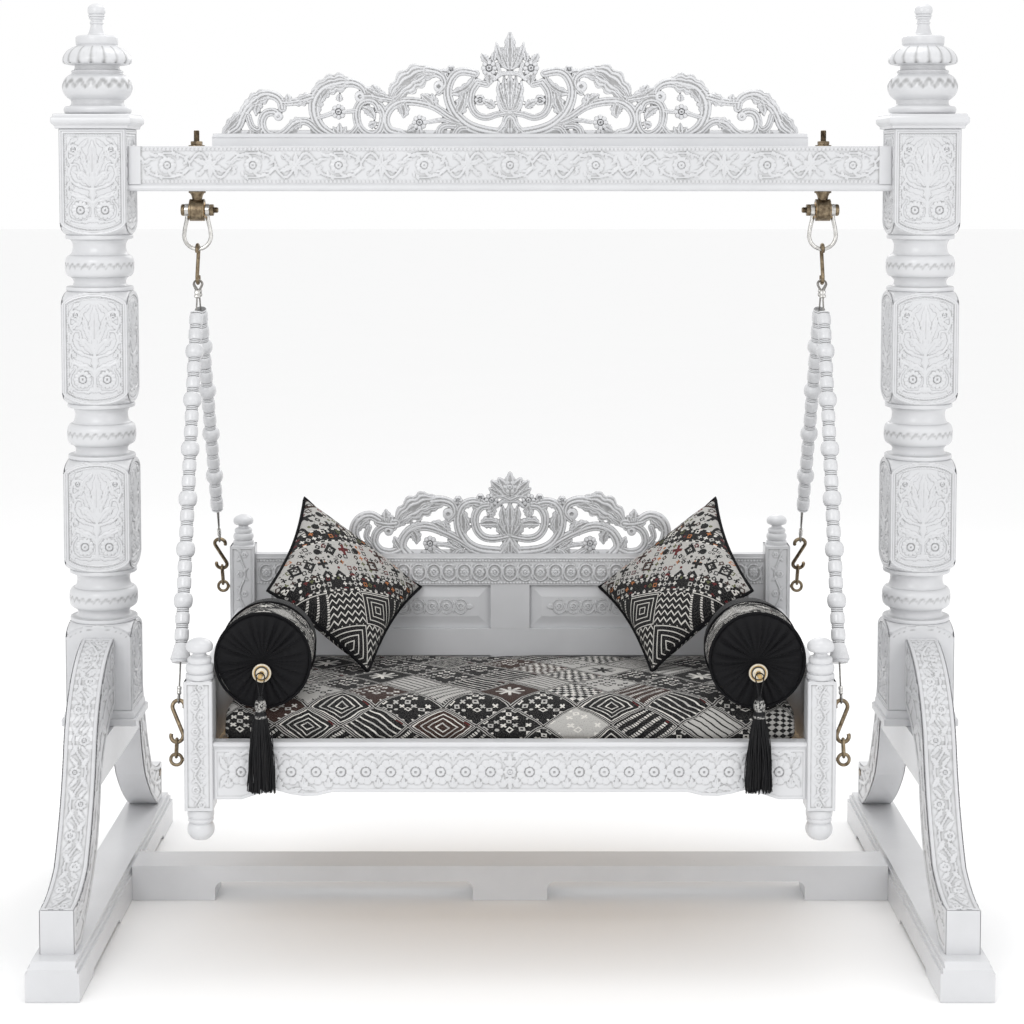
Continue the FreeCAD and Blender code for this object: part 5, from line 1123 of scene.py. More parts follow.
def make_posts():
    """Both posts with their carved blocks and caps."""
    parts = [moved(turned_post(), (POST_X, 0, 0))]
    plinth = [(0.450, 0.0868), (0.4512, 0.088), (0.4655, 0.088), (0.4672, 0.0865), (0.4672, 0.0828), (0.476, 0.0822),
              (0.482, 0.0805), (0.4852, 0.0782)]
    parts.append(moved(square_stack(plinth), (POST_X, 0, 0)))
    for index, (low, high, arch_low, arch_high) in enumerate(BLOCKS):
        motif, kept = block_face(low, high, arch_low, arch_high, True, 0.0019)
        plain = block_face(low, high, arch_low, arch_high, False, 0.004) if index == 0 else None
        for side in range(4):
            carved_here = index > 0 or side in (1, 3)
            c, ok = (motif, kept) if carved_here else plain
            parts.append(c.skin(on_post_face(side), ok))
    both_sides("post", join(parts), "white_gloss_paint", "post")
    cap = [(1.8553, 0.0835), (1.8565, 0.0852), (1.860, 0.0855), (1.8625, 0.0868), (1.866, 0.0905), (1.8685, 0.0928),
           (1.872, 0.0935), (1.879, 0.0935), (1.8815, 0.0926), (1.883, 0.0905), (1.8845, 0.0895), (1.8885, 0.089),
           (1.8898, 0.0875)]
    right = moved(square_stack(cap, 0.002), (POST_X, 0, 0))
    dress("post_caps", join([right, mirror_part(right)]), "white_gloss_paint", "stand", ["post_caps"])
    make_finials()


def make_finials():
    """Turned finials: a bulb, a cap of petals, a disc and a small knob."""
    turn = np.linspace(0, 2 * math.pi, 112, endpoint=False)
    rows, shade, heights = [], [], []
    for z, r in smooth_levels(FINIAL_OUTLINE, 4):
        radius = np.full(len(turn), r)
        dark = np.zeros(len(turn))
        if 2008 < z < 2048:
            share = (2048 - z) / 40
            wave = np.abs(np.sin(turn * 8))
            ribs = np.abs(np.sin(turn * 24 + 2.0 * share))
            rim = np.clip(share - 0.78, 0, 1) / 0.22
            radius = radius - 1.8 * share * (1 - wave ** 0.4) - 0.8 * (1 - ribs ** 0.5) - 3.2 * rim * (1 - wave ** 0.6)
            # Painted shade between the petals, between their ribs and under their rim.
            dark = np.clip((1 - wave ** 0.25) * 0.8 + (1 - ribs ** 0.4) * 0.35 + 0.3 * rim * (1 - wave), 0, 1)
        elif 1938 < z < 1982:
            sink, dark = leaf_band(turn, (z - 1938) / 44, 18, 1.9)
            ribs = (1 - np.abs(np.sin(turn * 27)) ** 0.5) * math.sin(math.pi * (z - 1938) / 44)
            # Painted shade along the leaves' lines and between their ribs.
            radius, dark = radius + sink - 0.7 * ribs, np.clip(dark + 0.3 * ribs, 0, 1)
        elif z < 1923 and r < 66 or 1982 < z < 2006 or 2049 < z < 2052 or 2073 < z < 2076:
            # Painted shade in the finial's narrow necks and coves.
            dark = dark + 0.3
        rows.append(radius * MM)
        shade.append(dark)
        heights.append(z * MM)
    radii, heights = np.array(rows), np.array(heights)
    verts = np.stack([radii * np.cos(turn), radii * np.sin(turn), np.repeat(heights[:, None], len(turn), 1)], 2)
    faces = grid_faces(len(rows), len(turn), True)
    faces += [tuple(range(len(turn)))[::-1], tuple((len(rows) - 1) * len(turn) + k for k in range(len(turn)))]
    right = moved((verts.reshape(-1, 3), faces, np.concatenate(shade)), (POST_X, 0, 0))
    dress("finials", join([right, mirror_part(right)]), "white_gloss_paint", "stand", ["finials"])


def bead_row(c, y, low_x, high_x, pitch, radius, height):
    """A line of pearls along the carving."""
    x = (c.x - low_x) % pitch - pitch / 2
    ratio = (x ** 2 + (c.y - y) ** 2) / radius ** 2
    rise = np.where((ratio < 1) & (c.x > low_x) & (c.x < high_x), height * np.sqrt(np.clip(1 - ratio, 0, 1)), 0)
    c.height = np.maximum(c.height, rise)


def on_y(face, out):
    """Puts a carving on a face square to Y; out is -1 for one that looks to the front."""
    return lambda x, z, h: np.stack([x * -out, np.full_like(x, face) + out * h, z], 1)


def make_beam():
    """The top beam keeps its solid; a carved skin of rosettes and vines lies on its front and back faces."""
    keep("top_beam", "white_gloss_paint")
    keep("crest_rail", "white_gloss_paint", 0.0015)
    half = 0.889
    c = Carving(2 * half, 0.0885, 0.0019, (-half, 1.7262))
    rise = 0.0030
    vine_strip(c, (-0.9, 1.7375), (0.9, 1.8035), 0.2, rise)
    for z in (1.7325, 1.8075):
        bead_row(c, z, -0.86, 0.86, 0.0095, 0.0036, rise * 0.8)
    c.height = np.where(np.abs(c.x) > 0.861, rise * 0.75, c.height)
    parts = [c.skin(on_y(out * 0.0521, out)) for out in (-1, 1)]
    step = Carving(1.396, 0.011, 0.0011, (-0.698, 1.8335))
    step.height = 0.0016 * np.clip((step.y - 1.8350) / 0.0009, 0, 1) * np.clip((1.8443 - step.y) / 0.0009, 0, 1)
    parts += [step.skin(on_y(out * 0.0151, out)) for out in (-1, 1)]
    dress("beam_carving", join(parts), "white_gloss_paint", "stand")


def crest(name, node, forms, half, rise, base, depth, y, scale_x, body, step):
    """A pierced crest, carved on both faces and cut through between its forms."""
    c = Carving(2 * half, rise, step, (-half, 0.0))
    squeezed = Squeezed(c, scale_x)
    for flip in (False, True):
        draw_forms(squeezed, forms, flip=flip, full=1.5)
    foot = 0.008
    c.raise_form((slice(0, None), slice(0, None)), np.where(np.abs(c.x) < half * 0.985, foot - c.y, -1.0),
                 np.where(c.y < foot, 0.35, 0))
    place = lambda x, z, h: np.stack([x, y + h, base + z], 1)
    return dress(name, c.openwork(depth, place), "white_gloss_paint", body, [node])


class Squeezed:
    """Passes forms on to a carving with their X brought in by one share."""

    def __init__(self, carving, share):
        self.carving, self.share = carving, share

    def at(self, p):
        """The point, drawn out sideways."""
        return (p[0] * self.share, p[1])

    def stem(self, points, *rest):
        self.carving.stem([self.at(p) for p in points], *rest)

    def leaf(self, base, tip, *rest):
        self.carving.leaf(self.at(base), self.at(tip), *rest)

    def flower(self, at, *rest):
        self.carving.flower(self.at(at), *rest)

    def fan(self, base, *rest):
        self.carving.fan(self.at(base), *rest)


def arc_through(start, middle, end, count):
    """Points on the round arc through three points of a plane."""
    (ax, ay), (bx, by), (cx, cy) = start, middle, end
    d = 2 * (ax * (by - cy) + bx * (cy - ay) + cx * (ay - by))
    ux = ((ax * ax + ay * ay) * (by - cy) + (bx * bx + by * by) * (cy - ay) + (cx * cx + cy * cy) * (ay - by)) / d
    uy = ((ax * ax + ay * ay) * (cx - bx) + (bx * bx + by * by) * (ax - cx) + (cx * cx + cy * cy) * (bx - ax)) / d
    r = math.hypot(ax - ux, ay - uy)
    a0, a1, a2 = (math.atan2(p[1] - uy, p[0] - ux) for p in (start, middle, end))
    turn = (a2 - a0) % (2 * math.pi)
    if (a1 - a0) % (2 * math.pi) > turn:
        turn -= 2 * math.pi
    return [(ux + r * math.cos(a0 + turn * i / count), uy + r * math.sin(a0 + turn * i / count))
            for i in range(count + 1)]


BRACE_UPPER = [
    (0.000, 1.000), (0.241, 0.920), (0.462, 0.640), (0.572, 0.404), (0.690, 0.243), (0.840, 0.185), (1.000, 0.168),
]
BRACE_UNDER = [
    (0.872, 0.000), (0.682, 0.096), (0.500, 0.230), (0.416, 0.358), (0.370, 0.485), (0.250, 0.620), (0.000, 0.724),
]


def brace_line(shares, count=14):
    """The brace's edge as (distance in front of the post, height), both in metres."""
    pts = [(0.0782 + 0.507 * a, 0.084 + 0.572 * b) for a, b in shares]
    line = [pts[0]]
    for i in range(0, len(pts) - 2, 2):
        line += arc_through(pts[i], pts[i + 1], pts[i + 2], count)[1:]
    return line


def inside_outline(x, y, outline):
    """How far each point lies inside a closed outline, below zero outside it."""
    best = np.full(x.shape, 1e3)
    crossed = np.zeros(x.shape, bool)
    for (ax, ay), (bx, by) in zip(outline, outline[1:] + outline[:1]):
        dx, dy = bx - ax, by - ay
        t = np.clip(((x - ax) * dx + (y - ay) * dy) / max(dx * dx + dy * dy, 1e-12), 0, 1)
        best = np.minimum(best, np.hypot(x - ax - t * dx, y - ay - t * dy))
        if ay != by:
            crossed ^= ((ay > y) != (by > y)) & (x < (bx - ax) * (y - ay) / (by - ay) + ax)
    return np.where(crossed, best, -best)


def brace_side():
    """The carved side of a brace: a scrolling stem with long leaves inside a flat margin."""
    upper, under = brace_line(BRACE_UPPER), brace_line(BRACE_UNDER)
    outline = upper + [(upper[-1][0], 0.084)] + under
    c = Carving(0.507, 0.572, 0.0026, (0.0782, 0.084))
    inset = inside_outline(c.x, c.y, outline)
    c.frame_from(inset, 0.011, GROUND)
    rise = 0.0032
    u = lambda a, b: (0.0782 + 0.507 * a, 0.084 + 0.572 * b)
    c.stem(curve_through([u(0.02, 0.80), u(0.16, 0.80), u(0.28, 0.72), u(0.38, 0.60), u(0.45, 0.46), u(0.54, 0.31),
                          u(0.66, 0.19), u(0.80, 0.115), u(0.96, 0.085)], 5), 0.013, 0.009, rise, 0.25)
    for a, b, e, f, w, bend in ((0.05, 0.80, 0.20, 0.90, 0.030, 0.15), (0.16, 0.80, 0.30, 0.81, 0.028, 0.2),
                                (0.28, 0.72, 0.40, 0.68, 0.030, 0.2), (0.36, 0.62, 0.48, 0.54, 0.026, 0.2),
                                (0.44, 0.48, 0.54, 0.40, 0.024, 0.2), (0.52, 0.34, 0.62, 0.28, 0.022, 0.2),
                                (0.64, 0.21, 0.78, 0.165, 0.020, 0.2), (0.78, 0.12, 0.93, 0.14, 0.020, 0.1),
                                (0.10, 0.80, 0.05, 0.75, 0.022, 0.1), (0.18, 0.79, 0.12, 0.71, 0.024, -0.1),
                                (0.30, 0.70, 0.22, 0.66, 0.024, -0.1), (0.38, 0.59, 0.36, 0.53, 0.022, -0.1),
                                (0.46, 0.44, 0.43, 0.38, 0.020, -0.1), (0.56, 0.29, 0.50, 0.26, 0.020, -0.1),
                                (0.68, 0.18, 0.64, 0.14, 0.018, -0.1), (0.82, 0.11, 0.76, 0.05, 0.022, -0.1),
                                (0.90, 0.09, 0.97, 0.04, 0.022, 0.1)):
        c.leaf(u(a, b), u(e, f), w, bend, rise, 4, 3)
    for a, b, r in ((0.06, 0.92, 0.020), (0.34, 0.655, 0.012), (0.60, 0.24, 0.011), (0.90, 0.125, 0.012),
                    (0.26, 0.86, 0.010)):
        c.flower(u(a, b), r, 7, rise)
    c.height = np.where(inset < 0.011, np.minimum(c.height, GROUND), c.height)
    return c, inset > -0.0004


def brace_front(step):
    """The carved strip that lies on a front brace's curved upper face, and where it lies."""
    line = np.array(brace_line(BRACE_UPPER, 16))
    run = np.concatenate([[0], np.cumsum(np.linalg.norm(np.diff(line, axis=0), axis=1))])
    ahead = np.gradient(line, run, axis=0)
    ahead /= np.linalg.norm(ahead, axis=1)[:, None]
    c = Carving(0.0712, run[-1], step, (-0.0356, 0.0))
    c.rows_of((-0.0356, 0.0), (0.0356, run[-1]), 0.0085, GROUND)
    rise = 0.0032
    long = run[-1]
    wave = [((-0.016 if i % 2 else 0.016), long * (0.03 + 0.94 * i / 10)) for i in range(11)]
    c.stem(curve_through(wave, 6), 0.006, 0.005, rise, 0.25)
    for i, (x, s) in enumerate(wave):
        out = 1 if x > 0 else -1
        c.flower((-x * 0.55, s), 0.0125, 7, rise)
        for d in (-1, 1):
            c.leaf((x * 0.4, s + 0.010 * d), (x + out * 0.006, s + 0.034 * d), 0.013, 0.12 * out * d, rise, 3, 2)
            c.leaf((-x * 0.2, s + 0.012 * d), (-x - out * 0.006, s + 0.034 * d), 0.011, -0.12 * out * d, rise, 3, 2)

    def place(u, s, h):
        y, z = np.interp(s, run, line[:, 0]), np.interp(s, run, line[:, 1])
        ty, tz = np.interp(s, run, ahead[:, 0]), np.interp(s, run, ahead[:, 1])
        return np.stack([POST_X + u, -(y - tz * (h + 0.0001)), z + ty * (h + 0.0001)], 1)
    return c.skin(place)


def make_foot_frame():
    """Sledges, floor stretcher, ties and braces: solids in paint, the braces with carved skins."""
    for node in ("left_sledge", "right_sledge", "floor_stretcher", "tie_blocks"):
        keep(node, "white_gloss_paint", 0.002)
    for node in ("left_front_brace", "right_front_brace", "left_back_brace", "right_back_brace"):
        keep(node, "white_gloss_paint")
    motif, kept = brace_side()
    parts = []
    for facing in (-1, 1):
        for out in (-1, 1):
            place = lambda y, z, h, facing=facing, out=out: np.stack(
                [POST_X + out * (0.0361 + h), facing * y, z], 1)
            parts.append(outward(motif.skin(place, kept), facing * out > 0))
    parts.append(outward(brace_front(0.0022), False))
    right = join(parts)
    dress("right_brace_carving", right, "white_gloss_paint", "stand")
    dress("left_brace_carving", mirror_part(right), "white_gloss_paint", "stand")
    keep("brace_latches", "bronzed_steel", 0.0006)


# Hangers

HANG_X = 0.738
PIVOT_Z = 1.665


def turned_along(levels, axis, at, segments=32):
    """A lathe form laid along an axis; levels run from at."""
    part = lathe(levels, segments)
    turn = Vector((0, 0, 1)).rotation_difference(Vector(axis)).to_matrix()
    return moved(part, at, turn)


def nut(radius, height, at, axis):
    """A six-sided nut with its corners turned off."""
    levels = [(0, 0.84), (0.08, 0.94), (0.14, 1.0), (0.86, 1.0), (0.92, 0.94), (1, 0.84)]
    verts, faces = [], []
    turn = np.linspace(0, 2 * math.pi, 36, endpoint=False)
    flat = math.cos(math.pi / 6) / np.cos((turn + math.pi / 6) % (math.pi / 3) - math.pi / 6)
    for z, cut in levels:
        r = np.minimum(radius * flat, radius * cut)
        verts.append(np.stack([r * np.cos(turn), r * np.sin(turn), np.full(36, z * height)], 1))
    verts = np.concatenate(verts)
    faces = grid_faces(len(levels), 36, True)
    faces += [tuple(range(36))[::-1], tuple((len(levels) - 1) * 36 + k for k in range(36))]
    mat = Vector((0, 0, 1)).rotation_difference(Vector(axis)).to_matrix()
    return moved((verts, faces), at, mat)


def thread(radius, length, pitch, at, axis, segments=20):
    """A threaded end, as close rings."""
    levels, z = [(0, radius * 0.9)], 0.0
    while z < length - pitch:
        levels += [(z + pitch * 0.2, radius), (z + pitch * 0.45, radius), (z + pitch * 0.75, radius * 0.84)]
        z += pitch
    levels.append((length, radius * 0.8))
    return turned_along(levels, axis, at, segments)


def twice(part):
    """The right-hand part together with its mirror image."""
    return join([part, mirror_part(part)])


STEM_RADIUS, STEM_LOW, STEM_LENGTH = 0.007, 1.709, 0.108
STEM_THREAD, STEM_THREAD_LOW, STEM_PITCH = 0.036, 1.8163, 0.0016
WASHER_LOW, STEM_NUT_LOW = 1.8152, 1.8179
STEM_NUT, BOLT_NUT, NUT_HEIGHT = 0.015, 0.0155, 0.009
BOLT_RADIUS, BOLT_THREAD, BOLT_PITCH = 0.007, 0.0195, 0.0015
BOLT_HEAD_AT, BOLT_THREAD_AT = 0.0296, 0.0298
BOW_HALF, BOW_MIDDLE, BOW_LEG, BOW_WIRE = 0.0315, 0.0605, 0.0242, 0.005
EAR_AT = 0.019
UPPER_HOOK_LOW, UPPER_HOOK_RISE, UPPER_HOOK_ARC = 1.49235, 0.0905, 0.013
LOWER_HOOK_RISE, LOWER_HOOK_ARC = 0.092, 0.0135
HOOK_WIRE = 0.0045


def make_hangers():
    """Stems through the beam, their drums, and the shackles and hooks that turn below them."""
    at = lambda x, z: (HANG_X + x, 0, z)
    up, across = (0, 0, 1), (1, 0, 0)
    outline = [(0.0, 0.010), (0.010, 0.0102), (0.024, 0.0112), (0.034, 0.0135), (0.0395, 0.0165), (0.0395, 0.0165),
               (0.0400, 0.0195), (0.0412, 0.0200), (0.0440, 0.0200), (0.0447, 0.0196)]
    drum = [(-0.017, 0.0192), (-0.0172, 0.0248), (-0.0172, 0.0257), (-0.0158, 0.026), (-0.0135, 0.026),
            (-0.0128, 0.0254), (-0.012, 0.026), (0.012, 0.026), (0.0128, 0.0254), (0.0135, 0.026),
            (0.0158, 0.026), (0.0172, 0.0257), (0.0172, 0.0248), (0.017, 0.0192)]
    stem = [turned_along(outline, up, at(0, PIVOT_Z), 40), turned_along(drum, across, at(0, PIVOT_Z), 48),
            turned_along([(0, STEM_RADIUS), (STEM_LENGTH, STEM_RADIUS)], up, at(0, STEM_LOW), 20),
            thread(STEM_RADIUS, STEM_THREAD, STEM_PITCH, at(0, STEM_THREAD_LOW), up)]
    dress("hanger_stems", twice(join(stem)), "bronzed_steel", "stand", ["hanger_stems"])
    washer = [(0, 0.0072), (0, 0.0186), (0.0004, 0.019), (0.0021, 0.019), (0.0025, 0.0186), (0.0025, 0.0072)]
    nuts = [turned_along(washer, up, at(0, WASHER_LOW), 36), nut(STEM_NUT, NUT_HEIGHT, at(0, STEM_NUT_LOW), up)]
    dress("hanger_nuts", twice(join(nuts)), "bronzed_steel", "stand", ["hanger_nuts"])
    ring = [(-0.018, 0.0071), (-0.018, 0.0182), (-0.0176, 0.0188), (0.0176, 0.0188), (0.018, 0.0182), (0.018, 0.0071)]
    dress("pivot_bearings", twice(turned_along(ring, across, at(0, PIVOT_Z), 40)), "bearing_bronze", "stand",
          ["pivot_bearings"])
    head = [(0, 0.0), (0, 0.0136), (0.0006, 0.014), (0.0055, 0.014), (0.0075, 0.013), (0.0086, 0.0105), (0.009, 0.006),
            (0.009, 0.0)]
    bolt = [turned_along([(-0.031, BOLT_RADIUS), (0.0302, BOLT_RADIUS)], across, at(0, PIVOT_Z), 24),
            thread(BOLT_RADIUS, BOLT_THREAD, BOLT_PITCH, at(-BOLT_THREAD_AT, PIVOT_Z), (-1, 0, 0)),
            turned_along(head, across, at(BOLT_HEAD_AT, PIVOT_Z), 32)]
    dress("pivot_bolts", twice(join(bolt)), "bronzed_steel", "hangers", ["pivot_bolts"])
    lock = nut(BOLT_NUT, NUT_HEIGHT, at(-BOLT_HEAD_AT, PIVOT_Z), (-1, 0, 0))
    dress("pivot_nuts", twice(lock), "bronzed_steel", "hangers", ["pivot_nuts"])
    bottom, leg = PIVOT_Z - BOW_MIDDLE, BOW_LEG
    path = [at(leg, PIVOT_Z - 0.006), at(leg + 0.0006, PIVOT_Z - 0.022), at(leg + 0.0052, PIVOT_Z - 0.043)]
    for k in range(17):
        a = -math.pi * k / 16
        path.append(at(BOW_HALF * math.cos(a), bottom + BOW_HALF * math.sin(a)))
    path += [at(-leg - 0.0052, PIVOT_Z - 0.043), at(-leg - 0.0006, PIVOT_Z - 0.022), at(-leg, PIVOT_Z - 0.006)]
    ear = [(0, 0.0072), (0, 0.0140), (0.0008, 0.0149), (0.0016, 0.015), (0.0088, 0.015), (0.0096, 0.0149),
           (0.0104, 0.0140), (0.0104, 0.0072)]
    bow = [tube(curve_through(path, 3), BOW_WIRE, 16), turned_along(ear, across, at(EAR_AT, PIVOT_Z), 36),
           turned_along(ear, (-1, 0, 0), at(-EAR_AT, PIVOT_Z), 36)]
    both_sides("shackle", join(bow), "nickel_steel", "shackle", "hangers")
    hook = hook_form(at(0, UPPER_HOOK_LOW), up, (0, -1, 0), UPPER_HOOK_RISE, UPPER_HOOK_ARC, HOOK_WIRE)
    dress("upper_hooks", twice(hook), "bronzed_steel", "hangers", ["upper_hooks"])


def hook_form(low, up, side, rise, arc, wire):
    """An S-hook of round wire with rounded tips; low and rise are of its wire's middle."""
    low, up, side = (np.array(v, dtype=float) for v in (low, up, side))
    lower, upper = low + up * arc, low + up * (rise - arc)
    lean = math.degrees(math.acos(arc / ((rise - 2 * arc) / 2)))
    spots = []
    for middle, start, end in ((upper, -20, 270 - lean), (lower, 90 - lean, -200)):
        for k in range(19):
            a = math.radians(start + (end - start) * k / 18)
            spots.append(middle + side * arc * math.cos(a) + up * arc * math.sin(a))
    spots = np.array(spots)
    radii = np.full(len(spots), wire)
    radii[0] = radii[-1] = wire * 0.55
    first, last = spots[0] - spots[1], spots[-1] - spots[-2]
    spots = np.vstack([spots[:1] + first * 0.12, spots[:1], spots[1:-1], spots[-1:], spots[-1:] + last * 0.12])
    radii = np.concatenate([[wire * 0.4], [wire * 0.92], radii[1:-1], [wire * 0.92], [wire * 0.4]])
    return tube(spots, radii, 12)


# Strands

STRAND_TOP = 1.50535
FRONT_EYE, BACK_EYE = (-0.405, 0.459), (0.401, 0.690)
FRONT_LINK, BACK_LINK = 0.044, 0.060
EYE_ARC, EYE_RING, EYE_CORE, EYE_BASE = 0.0125, 0.0037, 0.003, 0.7172
LINK_ARC, LINK_RING, LINK_CORE = 0.0088, 0.0032, 0.0025
HANG_GAP, LOOSE_LOOP_GAP = 0.0011, 0.0012
HOOK_CORE, UPPER_HOOK_CORE = 0.003, 0.00375     # the solids' own wires
ROPE_WIRE, TAIL_WIRE = 0.002, 0.0016
LOOP_HALF, LEG_APART = 0.010, 0.0022
UPPER_LOOP, LOWER_LOOP, CLIP_LENGTH = 0.044, 0.037, 0.018
CLIP_HALF_WIDTH, CLIP_HALF_DEPTH = 0.007, 0.005
BARE_ROPE = 0.036                               # between the upper clip and the first bead
BEAD_LENGTH, BELL_LENGTH, BEAD_SIDES = 0.044, 0.045, 26
FRONT_PITCH, BACK_PITCH = 0.1175, 0.126


class StrandLine:
    """Where a strand of beads runs; the same distances as the solids have."""

    def __init__(self, eye_y, eye_z, link, pitch, count, bell):
        self.top = np.array((HANG_X, 0, STRAND_TOP))
        run = np.array((HANG_X, eye_y, eye_z + EYE_ARC)) - self.top
        self.length = float(np.linalg.norm(run))
        self.down = run / self.length
        self.up = -self.down
        self.flat = np.cross((1.0, 0, 0), self.down)
        self.link, self.pitch, self.count, self.bell = link, pitch, count, bell
        self.link_low = self.length + EYE_CORE + LINK_CORE + HANG_GAP
        self.hook_low = self.link_low - (link - 2 * LINK_CORE) + LINK_CORE + HOOK_CORE + HANG_GAP
        self.loop_low = self.hook_low - LOWER_HOOK_RISE + HOOK_CORE + ROPE_WIRE + LOOSE_LOOP_GAP
        self.loop_high = UPPER_HOOK_ARC - UPPER_HOOK_CORE - HANG_GAP - ROPE_WIRE

    def at(self, distance):
        """The point this far down the strand."""
        return self.top + self.down * distance

    def turned(self, levels, start, segments=28):
        """A form turned about the strand's line."""
        return turned_along(levels, self.down, self.at(start), segments)


def rope_wire(path, radius, strands=6):
    """A wire rope: strands wound round a straight or bent line."""
    path = np.asarray(path, dtype=float)
    steps = np.linalg.norm(np.diff(path, axis=0), axis=1)
    run = np.concatenate([[0], np.cumsum(steps)])
    count = max(int(run[-1] / (radius * 1.3)), 4)
    s = np.linspace(0, run[-1], count)
    line = np.stack([np.interp(s, run, path[:, k]) for k in range(3)], 1)
    ahead = np.gradient(line, axis=0)
    ahead /= np.linalg.norm(ahead, axis=1)[:, None]
    side = np.cross(ahead[0], (1.0, 0, 0.02))
    parts = []
    sides, others = [], []
    for i in range(count):
        side = side - ahead[i] * side.dot(ahead[i])
        side /= np.linalg.norm(side)
        sides.append(side)
        others.append(np.cross(ahead[i], side))
    sides, others = np.array(sides), np.array(others)
    for k in range(strands):
        a = 2 * math.pi * k / strands + s / (radius * 2.6)
        lay = line + radius * 0.62 * (np.cos(a)[:, None] * sides + np.sin(a)[:, None] * others)
        parts.append(tube(lay, radius * 0.42, 6))
    return join(parts)


def loop_path(end, inward, side, length):
    """A rope loop with both legs in its clip."""
    end, inward, side = (np.array(v, dtype=float) for v in (end, inward, side))
    middle, legs = end + inward * LOOP_HALF, end + inward * length
    path = [legs + side * LEG_APART, legs + side * LEG_APART - inward * 0.016]
    for k in range(15):
        a = math.radians(25 - 230 * k / 14)
        path.append(middle + side * LOOP_HALF * math.cos(a) + inward * LOOP_HALF * math.sin(a))
    return path + [legs - side * LEG_APART - inward * 0.016, legs - side * LEG_APART]


BEAD = [(0, 12.2), (0.8, 13.6), (2.2, 14.2), (3.4, 13.6), (4.0, 12.0), (4.0, 12.0), (6, 15.6), (10, 18.9), (16, 21.0),
        (22, 21.5), (28, 21.0), (34, 18.9), (38, 15.6), (40, 12.0), (40, 12.0), (40.6, 13.6), (41.8, 14.2),
        (43.2, 13.6), (44, 12.2)]
SMALL_BEAD = [(0, 12.2), (0.5, 13.6), (1.4, 14.3), (2.8, 14.3), (3.6, 13.4), (4.1, 11.8), (4.1, 11.8), (4.9, 13.4),
              (6.8, 15.0), (10, 15.9), (18.3, 16.2), (26.7, 15.9), (29.9, 15.0), (31.8, 13.4), (32.6, 11.8),
              (32.6, 11.8), (33.1, 13.4), (33.9, 14.3), (35.3, 14.3), (36.2, 13.6), (36.7, 12.2)]
BELL = [(0, 11.0), (1, 13.5), (1, 13.5), (3, 14.5), (9, 16.4), (18, 18.6), (27, 20.8), (33, 22.4), (36.5, 23.0),
        (38, 22.6), (38.6, 20.6), (38.6, 20.6), (41, 20.2), (44, 19.6), (45, 17.5)]


def bead(shape, length, line, start):
    """One turned wooden bead on the rope, with painted shade in the grooves at its ends."""
    levels = smooth_levels([(z * length / shape[-1][0], r * MM) for z, r in shape], 3)
    part = line.turned(levels, start, BEAD_SIDES)
    z = np.array([h for h, _ in levels])
    r = np.array([q for _, q in levels])
    # Painted shade where the radius falls into the grooves.
    low = np.clip((0.0138 - r) / 0.0016, 0, 1)
    ring = np.repeat(low, BEAD_SIDES)
    return part[0], part[1], np.concatenate([ring, [1.0, 1.0]])


def make_strands():
    """The four beaded strands, their ropes and clips, and the hooks, links and eyes that hold the seat."""
    front = StrandLine(*FRONT_EYE, FRONT_LINK, FRONT_PITCH, 6, True)
    back = StrandLine(*BACK_EYE, BACK_LINK, BACK_PITCH, 4, False)
    for name, line in (("front", front), ("back", back)):
        start, end = line.loop_high, line.loop_low
        rope = [rope_wire([line.at(start + 0.036), line.at(end - 0.030)], ROPE_WIRE),
                rope_wire(loop_path(line.at(start), line.down, (1, 0, 0), UPPER_LOOP), ROPE_WIRE),
                rope_wire(loop_path(line.at(end), line.up, line.flat, LOWER_LOOP), ROPE_WIRE)]
        if name == "back":
            tail = [line.at(end - 0.040 - 0.022 * k) + np.array(line.flat) * x
                    for k, x in ((0, 0.007), (1, 0.013), (2, 0.0195), (3, 0.0215), (4, 0.0215), (5, 0.0235))]
            rope.append(rope_wire(tail, TAIL_WIRE))
        both_sides(name + "_rope", join(rope), "steel_wire_rope", name + "_rope", "%s_" + name + "_strand")
        clips = [rope_clip(line, start + UPPER_LOOP - CLIP_LENGTH, (1, 0, 0)),
                 rope_clip(line, end - LOWER_LOOP, line.flat)]
        for side, shape in (("right", join(clips)), ("left", mirror_part(join(clips)))):
            dress("%s_%s_clips" % (side, name), shape, "nickel_steel", "%s_%s_strand" % (side, name))
        beads, z = [], line.loop_high + UPPER_LOOP + BARE_ROPE
        small = (line.pitch - BEAD_LENGTH) / 2
        for i in range(line.count + 1):
            runs = [(SMALL_BEAD, small)] * 2
            if i < line.count:
                runs.append((BEAD, BEAD_LENGTH))
            elif line.bell:
                runs.append((BELL, BELL_LENGTH))
            for shape, length in runs:
                beads.append(bead(shape, length, line, z))
                z += length
        both_sides(name + "_beads", join(beads), "white_bead_paint", name + "_beads", "%s_" + name + "_strand")
    hooks = join([hook_form(line.at(line.hook_low), line.up, (-1, 0, 0), LOWER_HOOK_RISE, LOWER_HOOK_ARC, HOOK_WIRE)
                  for line in (front, back)])
    dress("lower_hooks", twice(hooks), "bronzed_steel", "seat", ["lower_hooks"])
    links = join([link_form(line) for line in (front, back)])
    dress("chain_links", twice(links), "bronzed_steel", "seat", ["chain_links"])
    eyes = join([eye_form(*FRONT_EYE), eye_form(*BACK_EYE)])
    dress("screw_eyes", twice(eyes), "bronzed_steel", "seat", ["screw_eyes"])


